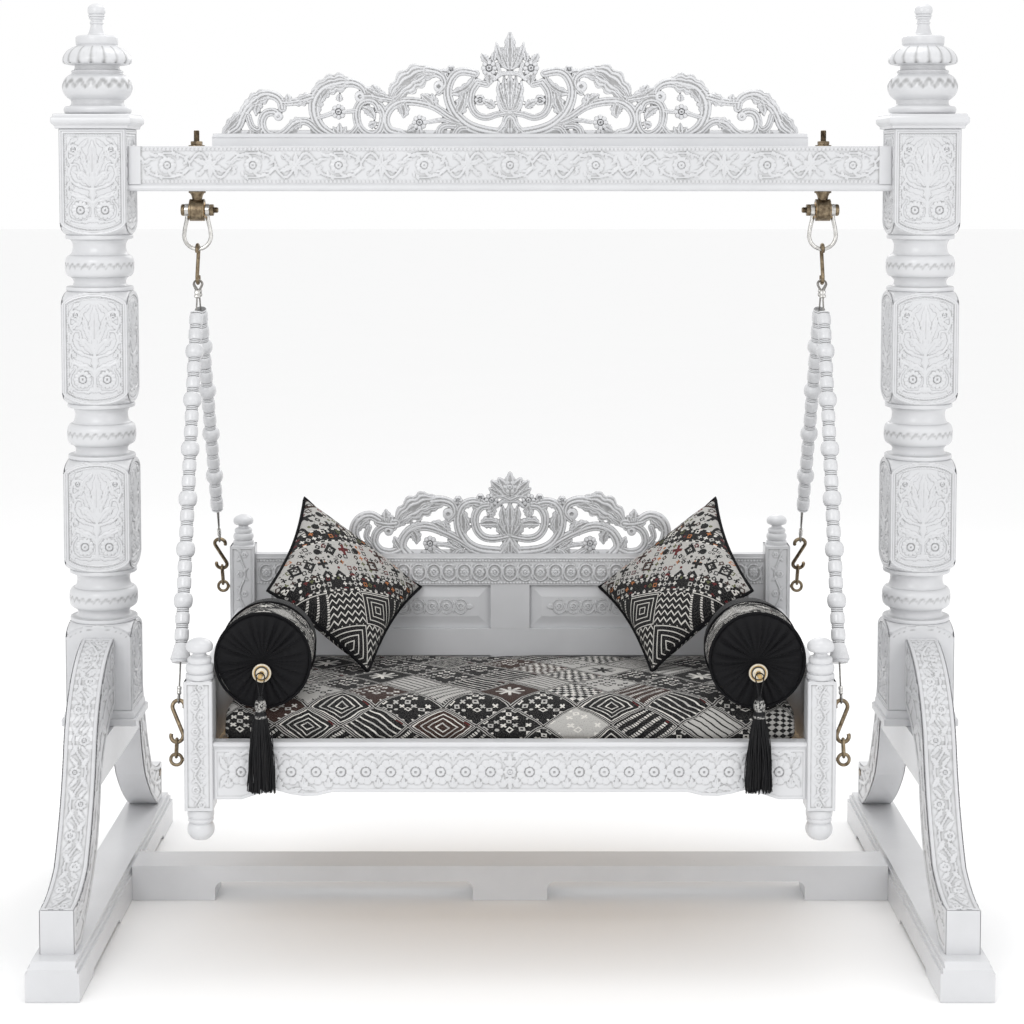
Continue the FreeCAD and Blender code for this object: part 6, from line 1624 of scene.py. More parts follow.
def rope_clip(line, start, wide):
    """A pressed ferrule round both legs of the rope, with a swaged waist."""
    wide = np.array(wide, dtype=float)
    deep = np.cross(wide, line.down)
    levels = [(0, 0.80), (0.0008, 0.95), (0.002, 1.0), (0.006, 1.0), (0.0075, 0.90), (0.0105, 0.90), (0.012, 1.0),
              (0.016, 1.0), (0.0172, 0.95), (0.018, 0.80)]
    turn = np.linspace(0, 2 * math.pi, 28, endpoint=False)
    verts = []
    for z, s in levels:
        ring = (np.sign(np.cos(turn)) * np.abs(np.cos(turn)) ** 0.7)[:, None] * wide * CLIP_HALF_WIDTH * s
        ring = ring + (np.sign(np.sin(turn)) * np.abs(np.sin(turn)) ** 0.8)[:, None] * deep * CLIP_HALF_DEPTH * s
        verts.append(line.at(start + z) + ring)
    faces = grid_faces(len(levels), 28, True)
    faces += [tuple(range(28))[::-1], tuple((len(levels) - 1) * 28 + k for k in range(28))]
    return np.concatenate(verts), faces


def link_form(line):
    """The chain link between a lower hook and its screw eye."""
    low, up, side = line.at(line.link_low + 0.0006), line.up, line.flat
    lower, upper = low + up * LINK_ARC, low + up * (line.link - 2 * LINK_CORE + 0.0013 - LINK_ARC)
    path = []
    for middle, start in ((lower, -180), (upper, 0)):
        for k in range(13):
            a = math.radians(start + 180 * k / 12)
            path.append(middle + side * LINK_ARC * math.cos(a) + up * LINK_ARC * math.sin(a))
    return tube(path, LINK_RING, 10, True)


def eye_form(y, z):
    """A screw eye: a bent ring with a collar against the post."""
    path = []
    for k in range(33):
        a = math.radians(184 + 352 * k / 32)
        path.append((HANG_X + EYE_ARC * math.cos(a), y, z + EYE_ARC * math.sin(a)))
    ring = tube(path, EYE_RING, 12)
    neck = turned_along([(0.0, 0.0065), (0.0022, 0.0065), (0.003, 0.0058), (0.0036, 0.0042), (0.0062, 0.0034),
                         (0.0088, 0.0034)], (1, 0, 0), (EYE_BASE, y, z), 24)
    return join([ring, neck])


# Seat frame

SEAT_X = 0.685
RAIL_FACE = -0.4275
KNOB_OUTLINE = [
    (0, 29), (1, 30.5), (10, 30.5), (12, 28.5), (13, 26), (13, 26), (15, 28), (19, 30), (25, 30.5), (31, 29), (34, 26),
    (35, 24), (35, 24), (37, 25.5), (43, 26.5), (48, 24), (51, 18), (53, 15.5), (57, 15), (57, 15), (59, 17), (61, 24),
    (64, 28.5), (70, 30), (77, 29), (83, 24), (88, 15), (90.4, 6), (90.9, 0.5),
]
BUN_OUTLINE = [
    (0, 17), (1.5, 19), (5, 23), (12, 28), (20, 30), (28, 29.5), (34, 27), (37, 24), (37, 24), (39, 26), (42, 28),
    (46, 28), (48, 26.5), (48, 26.5), (52, 29), (60, 29.5), (66, 29), (69, 27.5),
]


def seat_post_form(y, low, high, scale, bun):
    """A square seat post with a carved front, a turned mushroom knob and, in front, a bun foot."""
    half = 0.032
    levels = [(low, half - 0.003), (low + 0.003, half), (high - 0.003, half), (high, half - 0.003)]
    inner = [(z, h - 0.003) for z, h in levels]
    parts = [moved(square_stack(inner), (SEAT_X, y, 0))]
    knob = smooth_levels([(z * scale * MM, r * scale * MM) for z, r in KNOB_OUTLINE], 3)
    parts.append(moved(lathe(knob, 48), (SEAT_X, y, high)))
    if bun:
        foot = smooth_levels([(z * MM, r * MM) for z, r in BUN_OUTLINE], 3)
        parts.append(moved(lathe(foot, 48), (SEAT_X, y, low - 0.069)))
    wide = half - 0.0006
    c = Carving(2 * wide, high - low - 0.0012, 0.0016, (-wide, low + 0.0006))
    c.rows_of((-wide, low + 0.0006), (wide, high - 0.0006), 0.0065, 0.0021)
    rise = 0.0024
    long = high - low
    wave = [((-0.008 if i % 2 else 0.008), low + long * (0.05 + 0.9 * i / 8)) for i in range(9)]
    c.stem(curve_through(wave, 6), 0.0042, 0.0036, rise, 0.25)
    for i, (x, z) in enumerate(wave):
        out = 1 if x > 0 else -1
        c.flower((-x * 0.75, z), 0.0085, 6, rise)
        for d in (-1, 1):
            c.leaf((x * 0.4, z + 0.006 * d), (x + out * 0.009, z + 0.018 * d), 0.008, 0.12 * out * d, rise, 3, 2)
    plain = Carving(2 * wide, high - low - 0.0012, 0.004, (-wide, low + 0.0006))
    plain.rows_of((-wide, low + 0.0006), (wide, high - 0.0006), 1.0, 0.0021)
    for side in range(4):
        a = side * math.pi / 2
        place = lambda x, z, h, a=a: np.stack(
            [SEAT_X + x * math.cos(a) + (half - 0.0021 + h) * math.sin(a),
             y + x * math.sin(a) - (half - 0.0021 + h) * math.cos(a), z], 1)
        parts.append((c if side in (0, 2) else plain).skin(place))
    return join(parts)


def make_seat_posts():
    """The four turned and carved posts of the seat."""
    both_sides("front_seat_post", seat_post_form(-0.405, 0.351, 0.641, 1.0, True), "white_gloss_paint",
               "front_seat_post", "seat")
    both_sides("back_seat_post", seat_post_form(0.401, 0.351, 0.799, 0.85, False), "white_gloss_paint",
               "back_seat_post", "seat")


RAIL_LOW = [(0.000, 0.145), (0.600, 0.145), (0.650, 0.075), (0.700, 0.065), (0.745, 0.110), (0.795, 0.190),
            (0.850, 0.110), (0.905, 0.000), (1.000, 0.000)]


HALF_RAIL, RAIL_HIGH, RAIL_DEEP = 0.6528, 0.392, 0.112
RAIL_FOOT = RAIL_HIGH - RAIL_DEEP * 0.145
RAIL_MIDDLE, RAIL_RISE = 0.437, 0.0034
HALF_BACK, BACK_FACE, PANEL_FACE, BACK_RISE = 0.65, 0.3859, 0.3924, 0.0032
UPPER_PANELS, LOWER_PANELS = (0.5822, 0.6948), (0.4402, 0.5128)
PANEL_NEAR, PANEL_FAR = 0.108, 0.552


def make_front_rail():
    """The front rail keeps its solid; rosettes, wavy leaves and buds lie on its face."""
    keep("front_rail", "white_gloss_paint")
    half, rise = HALF_RAIL, RAIL_RISE
    c = Carving(2 * half - 0.002, RAIL_DEEP, 0.0017, (-half + 0.001, RAIL_FOOT + 0.002))
    low = RAIL_FOOT + RAIL_DEEP * np.interp(np.abs(c.x) / half, [a for a, _ in RAIL_LOW], [b for _, b in RAIL_LOW])
    inset = np.minimum(np.minimum(c.y - low, 0.489 - c.y), half - 0.001 - np.abs(c.x))
    c.height = np.where(inset < 0.0065, 0.0012 * np.clip(inset / 0.001, 0, 1) ** 0.5, 0)
    first, half_pitch, last = 0.043, 0.0275, 0.5765
    for low_x, high_x in ((-first - last, -first + half_pitch), (first - half_pitch, first + last)):
        rosette_strip(c, (low_x, 0.402), (high_x, 0.486), 0.0549, rise)
    c.flower((0, RAIL_MIDDLE), 0.014, 8, rise)
    for s in (-1, 1):
        c.fan((0, RAIL_MIDDLE + 0.013 * s), 90 * s, 0.03, 50, 3, 0.012, rise)
        for x, tip in ((0.46, 0.428), (0.46, 0.492), (0.515, 0.49), (0.515, 0.548)):
            c.leaf((x * s, 0.401), (tip * s, 0.396), 0.012, 0.15, rise, 3, 2)
        for d in (-1, 1):
            c.leaf((0.622 * s, RAIL_MIDDLE + 0.004 * d), (0.638 * s, RAIL_MIDDLE + 0.036 * d), 0.014, -0.1 * d * s,
                   rise, 3, 2)
    place = lambda x, z, h: np.stack([x, np.full_like(x, RAIL_FACE) - 0.0001 - h, z], 1)
    dress("front_rail_carving", c.skin(place, inset > 0), "white_gloss_paint", "seat")


def make_back():
    """Rails, stiles, panels and side boards of the seat's back, with a carved strip above the panels and carving on the
    panels.
    """
    for node in ("back_bottom_rail", "back_mid_rail", "back_top_rail"):
        keep(node, "white_gloss_paint", 0.0015)
    keep("back_stiles", "white_gloss_paint", 0.001)
    for node in ("upper_back_panels", "lower_back_panels", "left_side_board", "right_side_board"):
        keep(node, "white_gloss_paint")
    half, rise = HALF_BACK, BACK_RISE
    c = Carving(2 * half, 0.070, 0.0018, (-half, 0.6975))
    ring_strip(c, (-0.6444, 0.704), (0.6444, 0.752), 0.0391, rise)
    bead_row(c, 0.7005, -half, half, 0.008, 0.0032, rise * 0.7)
    bead_row(c, 0.7585, -half, half, 0.008, 0.0032, rise * 0.7)
    c.height = np.where(c.y > 0.7625, 0.0018 * np.clip((0.7672 - c.y) / 0.0012, 0, 1) ** 0.5, c.height)
    front = lambda x, z, h: np.stack([x, BACK_FACE - h, z], 1)
    parts = [c.skin(front)]
    for s in (-1, 1):
        for low, high in (UPPER_PANELS, LOWER_PANELS):
            middle, unit = (low + high) / 2, (high - low) / 0.113
            panel = Carving(0.49, (high - low) * 0.5, 0.0018, (0.084, middle - (high - low) * 0.25))
            tall = 0.042 * unit
            ring_strip(panel, (PANEL_NEAR, middle - tall / 2), (PANEL_FAR, middle + tall / 2), 0.037, rise)
            for x, out in ((PANEL_NEAR, -1), (PANEL_FAR, 1)):
                panel.fan((x, middle), 90 - 90 * out, 0.016, 46, 3, 0.012 * unit, rise)
            on_panel = lambda x, z, h, s=s: np.stack([x * s, PANEL_FACE - h, z], 1)
            parts.append(panel.skin(on_panel, panel.edge > -0.001))
    dress("back_carving", join(parts), "white_gloss_paint", "seat")


def make_crests():
    """The stand's crest and the seat back's crest."""
    crest("top_crest", "top_crest", TOP_CREST_FORMS, 0.6796, 0.2368, 1.8452, 0.022, 0.0, 0.966, "stand", 0.0017)
    crest("back_crest", "back_crest", BACK_CREST_FORMS, 0.4148, 0.2158, 0.7762, 0.020, 0.401, 0.985, "seat", 0.0016)


def make_deck():
    """The bare slats and bearers under the mattress."""
    keep("seat_slats", "bare_timber", 0.0015)
    keep("slat_bearers", "bare_timber", 0.001)


# Soft pieces

DECK_TILT = math.radians(5)
MATTRESS_DEPTH, MATTRESS_THICK = 0.766, 0.096
HALF_MATTRESS = 0.64
BOLSTER_X, BOLSTER_HIGH = 0.546, 0.680          # its axis
BOLSTER_FRONT, BOLSTER_LENGTH = -0.415, 0.270
BUTTON_HIGH = 0.656
TASSEL_AT = np.array((0.546, -0.448, 0.6626))
TASSEL_LOOP, TASSEL_LOOP_ARC, TASSEL_CORD = 0.052, 0.0095, 0.0014
TASSEL_HEAD, TASSEL_NECK = 0.049, 0.0475
SKIRT_LENGTH, SKIRT_THREADS, THREAD_RADIUS = 0.172, 230, 0.00105
DECK_AT = np.array((0.0, -0.3955, 0.487))


def on_deck(points):
    """From the deck's own level frame to where it lies, falling towards the back."""
    x, y, z = np.asarray(points, dtype=float).T
    c, s = math.cos(DECK_TILT), math.sin(DECK_TILT)
    return np.stack([x, y * c + z * s + DECK_AT[1], -y * s + z * c + DECK_AT[2]], 1)


def stuff(verts, faces, cap, pressure=4.0, stiffness=15.0, pinned=(), frames=20):
    """Let stuffing swell a sewn cover, as cloth under pressure; no point moves further than cap."""
    start = np.array(verts, dtype=float)
    scene = bpy.context.scene
    mesh = bpy.data.meshes.new("cover")
    mesh.from_pydata([tuple(v) for v in start], [], [tuple(int(i) for i in f) for f in faces])
    cover = bpy.data.objects.new("cover", mesh)
    scene.collection.objects.link(cover)
    cloth = cover.modifiers.new("stuffing", "CLOTH")
    settings = cloth.settings
    settings.quality = 6
    settings.use_pressure = True
    settings.uniform_pressure_force = pressure
    settings.tension_stiffness = settings.compression_stiffness = stiffness
    settings.shear_stiffness = 5
    settings.bending_stiffness = 0.25
    settings.effector_weights.gravity = 0
    cloth.collision_settings.use_collision = False
    if len(pinned):
        group = cover.vertex_groups.new(name="held")
        group.add([int(i) for i in pinned], 1.0, "REPLACE")
        settings.vertex_group_mass = "held"
    cloth.point_cache.frame_start = 1
    cloth.point_cache.frame_end = frames
    for number in range(1, frames + 1):
        scene.frame_set(number)
    graph = bpy.context.evaluated_depsgraph_get()
    result = cover.evaluated_get(graph).to_mesh()
    after = np.zeros(len(start) * 3, dtype=np.float32)
    result.vertices.foreach_get("co", after)
    cover.evaluated_get(graph).to_mesh_clear()
    scene.frame_set(1)
    bpy.data.objects.remove(cover)
    bpy.data.meshes.remove(mesh)
    move = after.reshape(-1, 3).astype(float) - start
    size = np.linalg.norm(move, axis=1)
    return start + move * np.minimum(1, cap / np.maximum(size, 1e-9))[:, None]


def subdivide(piece):
    """One smoothing subdivision, applied."""
    step = piece.modifiers.new("smoothing", "SUBSURF")
    step.levels = step.render_levels = 1
    graph = bpy.context.evaluated_depsgraph_get()
    mesh = bpy.data.meshes.new_from_object(piece.evaluated_get(graph), preserve_all_data_layers=True,
                                           depsgraph=graph)
    piece.modifiers.remove(step)
    old = piece.data
    mesh.name = old.name + "_sewn"
    piece.data = mesh
    bpy.data.meshes.remove(old)
    return piece


CUSHION_CORNERS = np.array([(0.285, 0.485, 0.530), (0.444, -0.402, 0.060), (-0.215, -0.545, -0.440),
                            (-0.513, 0.485, -0.090)]) * 0.372 + np.array((0.420, 0.2039, 0.7237))
CUSHION_FACING = np.array((-0.502, -0.507, 0.702)) / math.sqrt(0.502 ** 2 + 0.507 ** 2 + 0.702 ** 2)


def cushion_form(seed):
    """A square pillow with dog-eared corners, sewn from two panels and stuffed; its seam is returned too."""
    count = 44
    rng = np.random.default_rng(seed)
    t = np.linspace(-1, 1, count + 1)
    v, u = np.meshgrid(t, t)
    draw = 0.085
    a = (1 + u * (1 - draw * (1 - v * v))) / 2
    b = (1 + v * (1 - draw * (1 - u * u))) / 2
    p = CUSHION_CORNERS
    near = p[0] * (1 - a)[..., None] + p[1] * a[..., None]
    far = p[3] * (1 - a)[..., None] + p[2] * a[..., None]
    sheet = near * (1 - b)[..., None] + far * b[..., None]
    full = ((1 - u ** 4) * (1 - v ** 4)) ** 0.5 * (0.55 + 0.45 * np.clip((1 - u * u) * (1 - v * v), 0, 1) ** 0.5)
    dent = 1 - 0.10 * np.exp(-((u - 0.2) ** 2 + (v + 0.15) ** 2) / 0.12)
    bumps = sum(rng.normal(0, 0.03) * np.cos(u * rng.uniform(1, 5) + rng.uniform(0, 6)) *
                np.cos(v * rng.uniform(1, 5) + rng.uniform(0, 6)) for _ in range(6))
    front = sheet + CUSHION_FACING * (0.064 * full * dent * (1 + bumps))[..., None]
    back = sheet - CUSHION_FACING * (0.056 * full * (1 - bumps))[..., None]
    edge = (np.abs(u) == 1) | (np.abs(v) == 1)
    size = (count + 1) ** 2
    verts = np.vstack([front.reshape(-1, 3), back.reshape(-1, 3)])
    index = np.arange(2 * size)
    index[size:][edge.ravel()] = np.arange(size)[edge.ravel()]
    faces = [tuple(f) for f in grid_faces(count + 1, count + 1)]
    faces += [tuple(int(index[i + size]) for i in f[::-1]) for f in faces[:count * count]]
    used = np.unique(index)
    new = -np.ones(2 * size, dtype=int)
    new[used] = np.arange(len(used))
    faces = [tuple(int(new[i]) for i in f) for f in faces]
    verts = verts[used]
    side = np.concatenate([np.zeros(size), np.ones(size)])[used]
    cloth = np.stack([np.tile((u.ravel() + 1) * 0.186, 2)[used], np.tile((v.ravel() + 1) * 0.186, 2)[used],
                      side * 0.5], 1)
    grid = np.arange(size).reshape(count + 1, count + 1)
    seam = np.concatenate([grid[:-1, 0], grid[-1, :-1], grid[:0:-1, -1], grid[0, :0:-1]])
    corner_ids = [grid[0, 0], grid[-1, 0], grid[-1, -1], grid[0, -1]]
    verts = stuff(verts, faces, 0.014, 4.5, 12.0, new[corner_ids])
    return verts, faces, cloth, verts[new[seam]]


def make_cushions():
    """Patchwork cushions that lean against the seat's back, with dark piping round their seams."""
    for side, seed in (("right", 3), ("left", 8)):
        verts, faces, cloth, seam = cushion_form(seed)
        cloth[:, 0] += 0.9 * (side == "left")
        piping = tube(seam, 0.0042, 8, True)
        plain = np.zeros(len(verts))
        if side == "left":
            verts = verts * (-1, 1, 1)
            faces = [f[::-1] for f in faces]
            piping = mirror_part(piping)
        piece = dress(side + "_cushion", (verts, faces), "patchwork_cotton", "seat", [side + "_cushion"], 0,
                      {"cloth": cloth, "plain": plain}, "cushion_cotton")
        subdivide(piece)
        dress_piping(side + "_cushion_piping", piping)


def pad_section(depth, thick, front, back, count):
    """The mattress's outline seen from its end: flat below, rolled over at the front and the back."""
    points = []
    for y, z, radius, start, flat in ((front, front * 0.4, front, 270, 0.4), (front, thick - front, front, 180, 1.0),
                                      (depth - back, thick - back, back, 90, 1.0),
                                      (depth - back, back * 0.4, back, 0, 0.4)):
        for k in range(9):
            a = math.radians(start - 90 * k / 8)
            points.append((y + radius * math.cos(a), z + radius * flat * math.sin(a)))
    points.append(points[0])
    points = np.array(points)
    run = np.concatenate([[0], np.cumsum(np.linalg.norm(np.diff(points, axis=0), axis=1))])
    even = np.linspace(0, run[-1], count, endpoint=False)
    return np.interp(even, run, points[:, 0]), np.interp(even, run, points[:, 1])


def make_mattress():
    """The seat pad: rolled edges, a crowned top and hollows under the bolsters."""
    across, around = 120, 84
    depth, thick = MATTRESS_DEPTH, MATTRESS_THICK
    y, z = pad_section(depth, thick, 0.040, 0.022, around)
    rows, cloth = [], []
    top = np.clip((z - 0.03) / 0.04, 0, 1)
    for x in np.concatenate([[-1.0], np.linspace(-0.985, 0.985, across - 1), [1.0]]):
        end = np.clip((1 - abs(x)) / 0.055, 0, 1)
        end = math.sqrt(1 - (1 - end) ** 2)
        crown = 0.008 * np.sin(math.pi * np.clip(y / depth, 0, 1)) ** 0.6 * top * end
        height = z * (0.45 + 0.55 * end) + 0.02 * (1 - end) + crown + 0.0004
        deep = (y - depth / 2) * (0.975 + 0.025 * end) + depth / 2
        rows.append(np.stack([np.full(around, HALF_MATTRESS * x), deep, height], 1))
        cloth.append(np.stack([np.full(around, HALF_MATTRESS * x), y + (z - thick) * np.where(y < depth / 2, 1, -1),
                               np.zeros(around)], 1))
    count = len(rows)
    verts, cloth = np.concatenate(rows), np.concatenate(cloth)
    faces = grid_faces(count, around, True)
    low, high = len(verts), len(verts) + 1
    verts = np.vstack([verts, [(-0.642, depth / 2, thick / 2), (0.642, depth / 2, thick / 2)]])
    cloth = np.vstack([cloth, [(-0.65, 0.4, 0.0), (0.65, 0.4, 0.0)]])
    for j in range(around):
        k = (j + 1) % around
        faces.append((low, k, j))
        faces.append((high, (count - 1) * around + j, (count - 1) * around + k))
    if signed_volume(verts, faces) < 0:
        faces = [f[::-1] for f in faces]
    swell = stuff(verts, faces, 0.004, 1.2, 30.0, np.where(verts[:, 2] < 0.004)[0])
    swell[:, 2] = np.maximum(swell[:, 2], 0.0004)
    rng = np.random.default_rng(5)
    x, y = swell[:, 0], swell[:, 1]
    ripple = sum(rng.normal(0, 0.0006) * np.cos(x * rng.uniform(6, 26) + y * rng.uniform(-18, 18) + rng.uniform(0, 6))
                 for _ in range(14))
    swell[:, 2] += (ripple - 0.0012) * np.clip((swell[:, 2] - 0.05) / 0.04, 0, 1)
    placed = on_deck(swell)
    for s in (-1, 1):
        dx, dz = placed[:, 0] - BOLSTER_X * s, placed[:, 2] - BOLSTER_HIGH
        reach = np.hypot(dx, dz)
        here = (placed[:, 1] < -0.140) & (placed[:, 2] > 0.52) & (reach < 0.1092)
        soft = np.clip((-0.140 - placed[:, 1]) / 0.01, 0, 1)
        push = np.where(here, (0.1092 - reach) * soft, 0)
        placed[:, 2] -= np.where(here, push * np.clip(-dz / np.maximum(reach, 1e-6), 0, 1), 0)
    piece = dress("mattress", (placed, faces), "patchwork_cotton", "seat", ["mattress"], 0,
                  {"cloth": cloth, "plain": np.zeros(len(placed))}, "mattress_cotton")
    subdivide(piece)


BOLSTER_OUTLINE = [(0.030, 0.10), (0.018, 0.24), (0.006, 0.42), (0.002, 0.62), (0.010, 0.80), (0.030, 0.925),
                   (0.052, 0.965), (0.062, 0.945), (0.072, 0.965), (0.12, 0.99), (0.24, 1.00), (0.38, 0.995),
                   (0.49, 0.985), (0.505, 0.965), (0.52, 0.98), (0.62, 0.985), (0.74, 0.965), (0.84, 0.90),
                   (0.92, 0.78), (0.97, 0.60), (0.995, 0.38), (1.0, 0.16)]


def make_bolsters():
    """Bolsters with gathered black ends, piping, a patterned band and a plain dark rear half."""
    around = 180
    turn = np.linspace(0, 2 * math.pi, around, endpoint=False)
    levels = smooth_levels([(h, r) for h, r in BOLSTER_OUTLINE], 3)
    for side, seed in (("right", 11), ("left", 12)):
        rng = np.random.default_rng(seed)
        verts, cloth, plain = [], [], []
        wander = sum(rng.uniform(0.3, 0.8) * np.cos(turn * k + rng.uniform(0, 6)) for k in (2, 3, 5, 7))
        depth = 0.6 + 0.4 * np.cos(turn * 4 + rng.uniform(0, 6)) * np.cos(turn * 7 + rng.uniform(0, 6))
        gather = (1.0 - 2.0 * (1.0 - np.abs(np.sin(turn * 13 + wander))) ** 1.6) * depth
        slack = sum(rng.normal(0, 0.004) * np.cos(turn * k + rng.uniform(0, 6)) for k in (2, 3, 4, 5, 7))
        for h, r in levels:
            end = np.clip((0.055 - h) / 0.05, 0, 1) if h < 0.5 else np.clip((h - 0.86) / 0.14, 0, 1)
            radius = 0.106 * r * (1 + slack * (r > 0.5)) + 0.0035 * gather * end * min(r * 1.6, 1)
            fold = end * min(r * 2.2, 1) * (1.0 if r < 0.9 else max(0.0, (1.0 - r) / 0.1))
            y = BOLSTER_LENGTH * h - 0.0052 * gather * fold * (1 if h < 0.5 else -1)
            verts.append(np.stack([radius * np.cos(turn), np.broadcast_to(y, turn.shape), radius * np.sin(turn)], 1))
            cloth.append(np.stack([turn * 0.106 + seed, np.full(around, BOLSTER_LENGTH * h), np.full(around, 0.75)], 1))
            plain.append(np.full(around, 0.0 if 0.066 < h < 0.508 and r > 0.9 else 1.0))
        count = len(levels)
        verts, cloth, plain = np.concatenate(verts), np.concatenate(cloth), np.concatenate(plain)
        faces = grid_faces(count, around, True)
        low, high = len(verts), len(verts) + 1
        for k in range(around):
            j = (k + 1) % around
            faces.append((low, j, k))
            faces.append((high, (count - 1) * around + k, (count - 1) * around + j))
        verts = np.vstack([verts, [(0, verts[0][1], 0), (0, verts[-1][1], 0)]])
        cloth, plain = np.vstack([cloth, cloth[[0, -1]]]), np.append(plain, [1.0, 1.0])
        ends = list(range(around)) + list(range((count - 1) * around, high + 1))
        verts = stuff(verts, faces, 0.0025, 1.5, 30.0, ends)
        at = np.array((BOLSTER_X, BOLSTER_FRONT + 0.0004, BOLSTER_HIGH))
        verts = verts + at
        piping = [tube(np.stack([at[0] + 0.1045 * np.cos(turn), np.full(around, at[1] + 0.0155),
                                 at[2] + 0.1045 * np.sin(turn)], 1), 0.0036, 8, True),
                  tube(np.stack([at[0] + 0.1052 * np.cos(turn), np.full(around, at[1] + 0.1362),
                                 at[2] + 0.1052 * np.sin(turn)], 1), 0.0024, 8, True)]
        piping = join(piping)
        if side == "left":
            verts = verts * (-1, 1, 1)
            faces = [f[::-1] for f in faces]
            piping = mirror_part(piping)
        piece = dress(side + "_bolster", (verts, faces), "patchwork_cotton", "seat", [side + "_bolster"], 0,
                      {"cloth": cloth, "plain": plain}, "bolster_cotton")
        subdivide(piece)
        dress_piping(side + "_bolster_piping", piping)


def make_buttons():
    """Domed inlaid buttons in the bolsters' gathered ends, with the stem that the tassel hangs on."""
    dome = [(0.0, 0.0195), (0.002, 0.0212), (0.0045, 0.0215), (0.0065, 0.0206), (0.0072, 0.0190), (0.0078, 0.0170),
            (0.0072, 0.0155), (0.0086, 0.0140), (0.0108, 0.0105), (0.0122, 0.0070), (0.0129, 0.0040)]
    levels = smooth_levels(dome, 3)
    middle = (BOLSTER_X, BOLSTER_FRONT - 0.0004, BUTTON_HIGH)
    disc = turned_along(levels, (0, -1, 0), middle, 48)
    ring = np.repeat([r for _, r in levels], 48)
    ring = np.concatenate([ring, [0.0, 0.0]])
    stem = turned_along([(0, 0.0038), (0.0335, 0.0038), (0.0355, 0.0046), (0.037, 0.005), (0.041, 0.005),
                         (0.0425, 0.0040), (0.043, 0.0015)], (0, -1, 0), middle, 20)
    part = join([disc, stem])
    ring = np.concatenate([ring, np.full(len(stem[0]), 0.0165)])
    both = twice(part)
    dress("bolster_buttons", both, "button_inlay", "seat", ["bolster_buttons"], 35,
          {"ring": np.concatenate([ring, ring])})


def make_tassels():
    """Tassels: a cord loop, a wound head with bright bands and a full skirt of loose threads."""
    top = TASSEL_AT
    legs = top - (0, 0, TASSEL_LOOP)
    for side, seed in (("right", 21), ("left", 22)):
        rng = np.random.default_rng(seed)
        middle = top - (0, 0, TASSEL_LOOP_ARC)
        path = [legs + (0.0017, 0, 0)]
        for k in range(15):
            a = math.radians(-20 + 220 * k / 14)
            path.append(middle + np.array((math.cos(a), 0, math.sin(a))) * TASSEL_LOOP_ARC)
        path.append(legs - (0.0017, 0, 0))
        parts = [(tube(curve_through(path, 3), TASSEL_CORD, 8), 0.0)]
        foot = legs - (0, 0, TASSEL_NECK)
        head = []
        for k in range(41):
            h = k / 40
            r = np.interp(h, [0, 0.1, 0.2, 0.3, 0.34, 0.42, 0.6, 0.78, 0.9, 1.0],
                          [12.6, 13.4, 12.6, 10.8, 10.6, 12.6, 13.0, 10.0, 7.0, 4.4])
            head.append((h * TASSEL_HEAD, (r + 0.35 * math.sin(k * 2.6)) * MM))
        shape = lathe(head, 40)
        shares = [h / TASSEL_HEAD for h, _ in head]
        bands = np.repeat([1.0 if 0.30 < h < 0.82 or h < 0.12 else 0.0 for h in shares], 40)
        parts.append((moved(shape, tuple(foot)), np.concatenate([bands, [0, 0]])))
        for k in range(SKIRT_THREADS):
            a, r = rng.uniform(0, 2 * math.pi), math.sqrt(rng.uniform(0.12, 1))
            x0, y0 = 0.0115 * r * math.cos(a), 0.0095 * r * math.sin(a)
            stray = rng.uniform() < 0.10
            x1, y1 = 0.029 * r * math.cos(a) + rng.normal(0, 0.004 if stray else 0.0022), 0.0098 * r * math.sin(a)
            length = SKIRT_LENGTH * rng.uniform(0.90, 1.0)
            sway, phase = rng.normal(0, 0.003 if stray else 0.0016), rng.uniform(0, 6)
            line = []
            for t in np.linspace(0, 1, 9):
                spread = 1 - (1 - t) ** 2.2
                line.append((foot[0] + x0 + (x1 - x0) * spread + sway * math.sin(6 * t + phase),
                             foot[1] + y0 + (y1 - y0) * spread, foot[2] + 0.003 - length * t))
            parts.append((tube(curve_through(line, 2), THREAD_RADIUS, 5), 0.0))
        part = join([p for p, _ in parts])
        band = np.concatenate([np.zeros(len(p[0])) + b for p, b in parts])
        if side == "left":
            part = mirror_part(part)
        dress(side + "_tassel", part, "tassel_thread", side + "_tassel_body", [side + "_tassel"], 40, {"band": band})


# Finishes of the soft pieces

def palette(n, value, colours):
    """Picks one of (start, colour) by a number from 0 to 1."""
    node = n.tree.nodes.new("ShaderNodeValToRGB")
    node.color_ramp.interpolation = "CONSTANT"
    ramp = node.color_ramp.elements
    while len(ramp) < len(colours):
        ramp.new(0.5)
    for element, (start, colour) in zip(ramp, colours):
        element.position = start
        element.color = tuple(colour) + (1.0,)
    n.put(node.inputs[0], value)
    return Flow(n, node.outputs[0])


BLACK, GREY, WHITE = (0.005, 0.005, 0.006), (0.47, 0.46, 0.44), (0.70, 0.68, 0.64)
RED, OLIVE, RUST, BROWN = (0.11, 0.010, 0.012), (0.10, 0.11, 0.045), (0.42, 0.15, 0.05), (0.035, 0.016, 0.012)


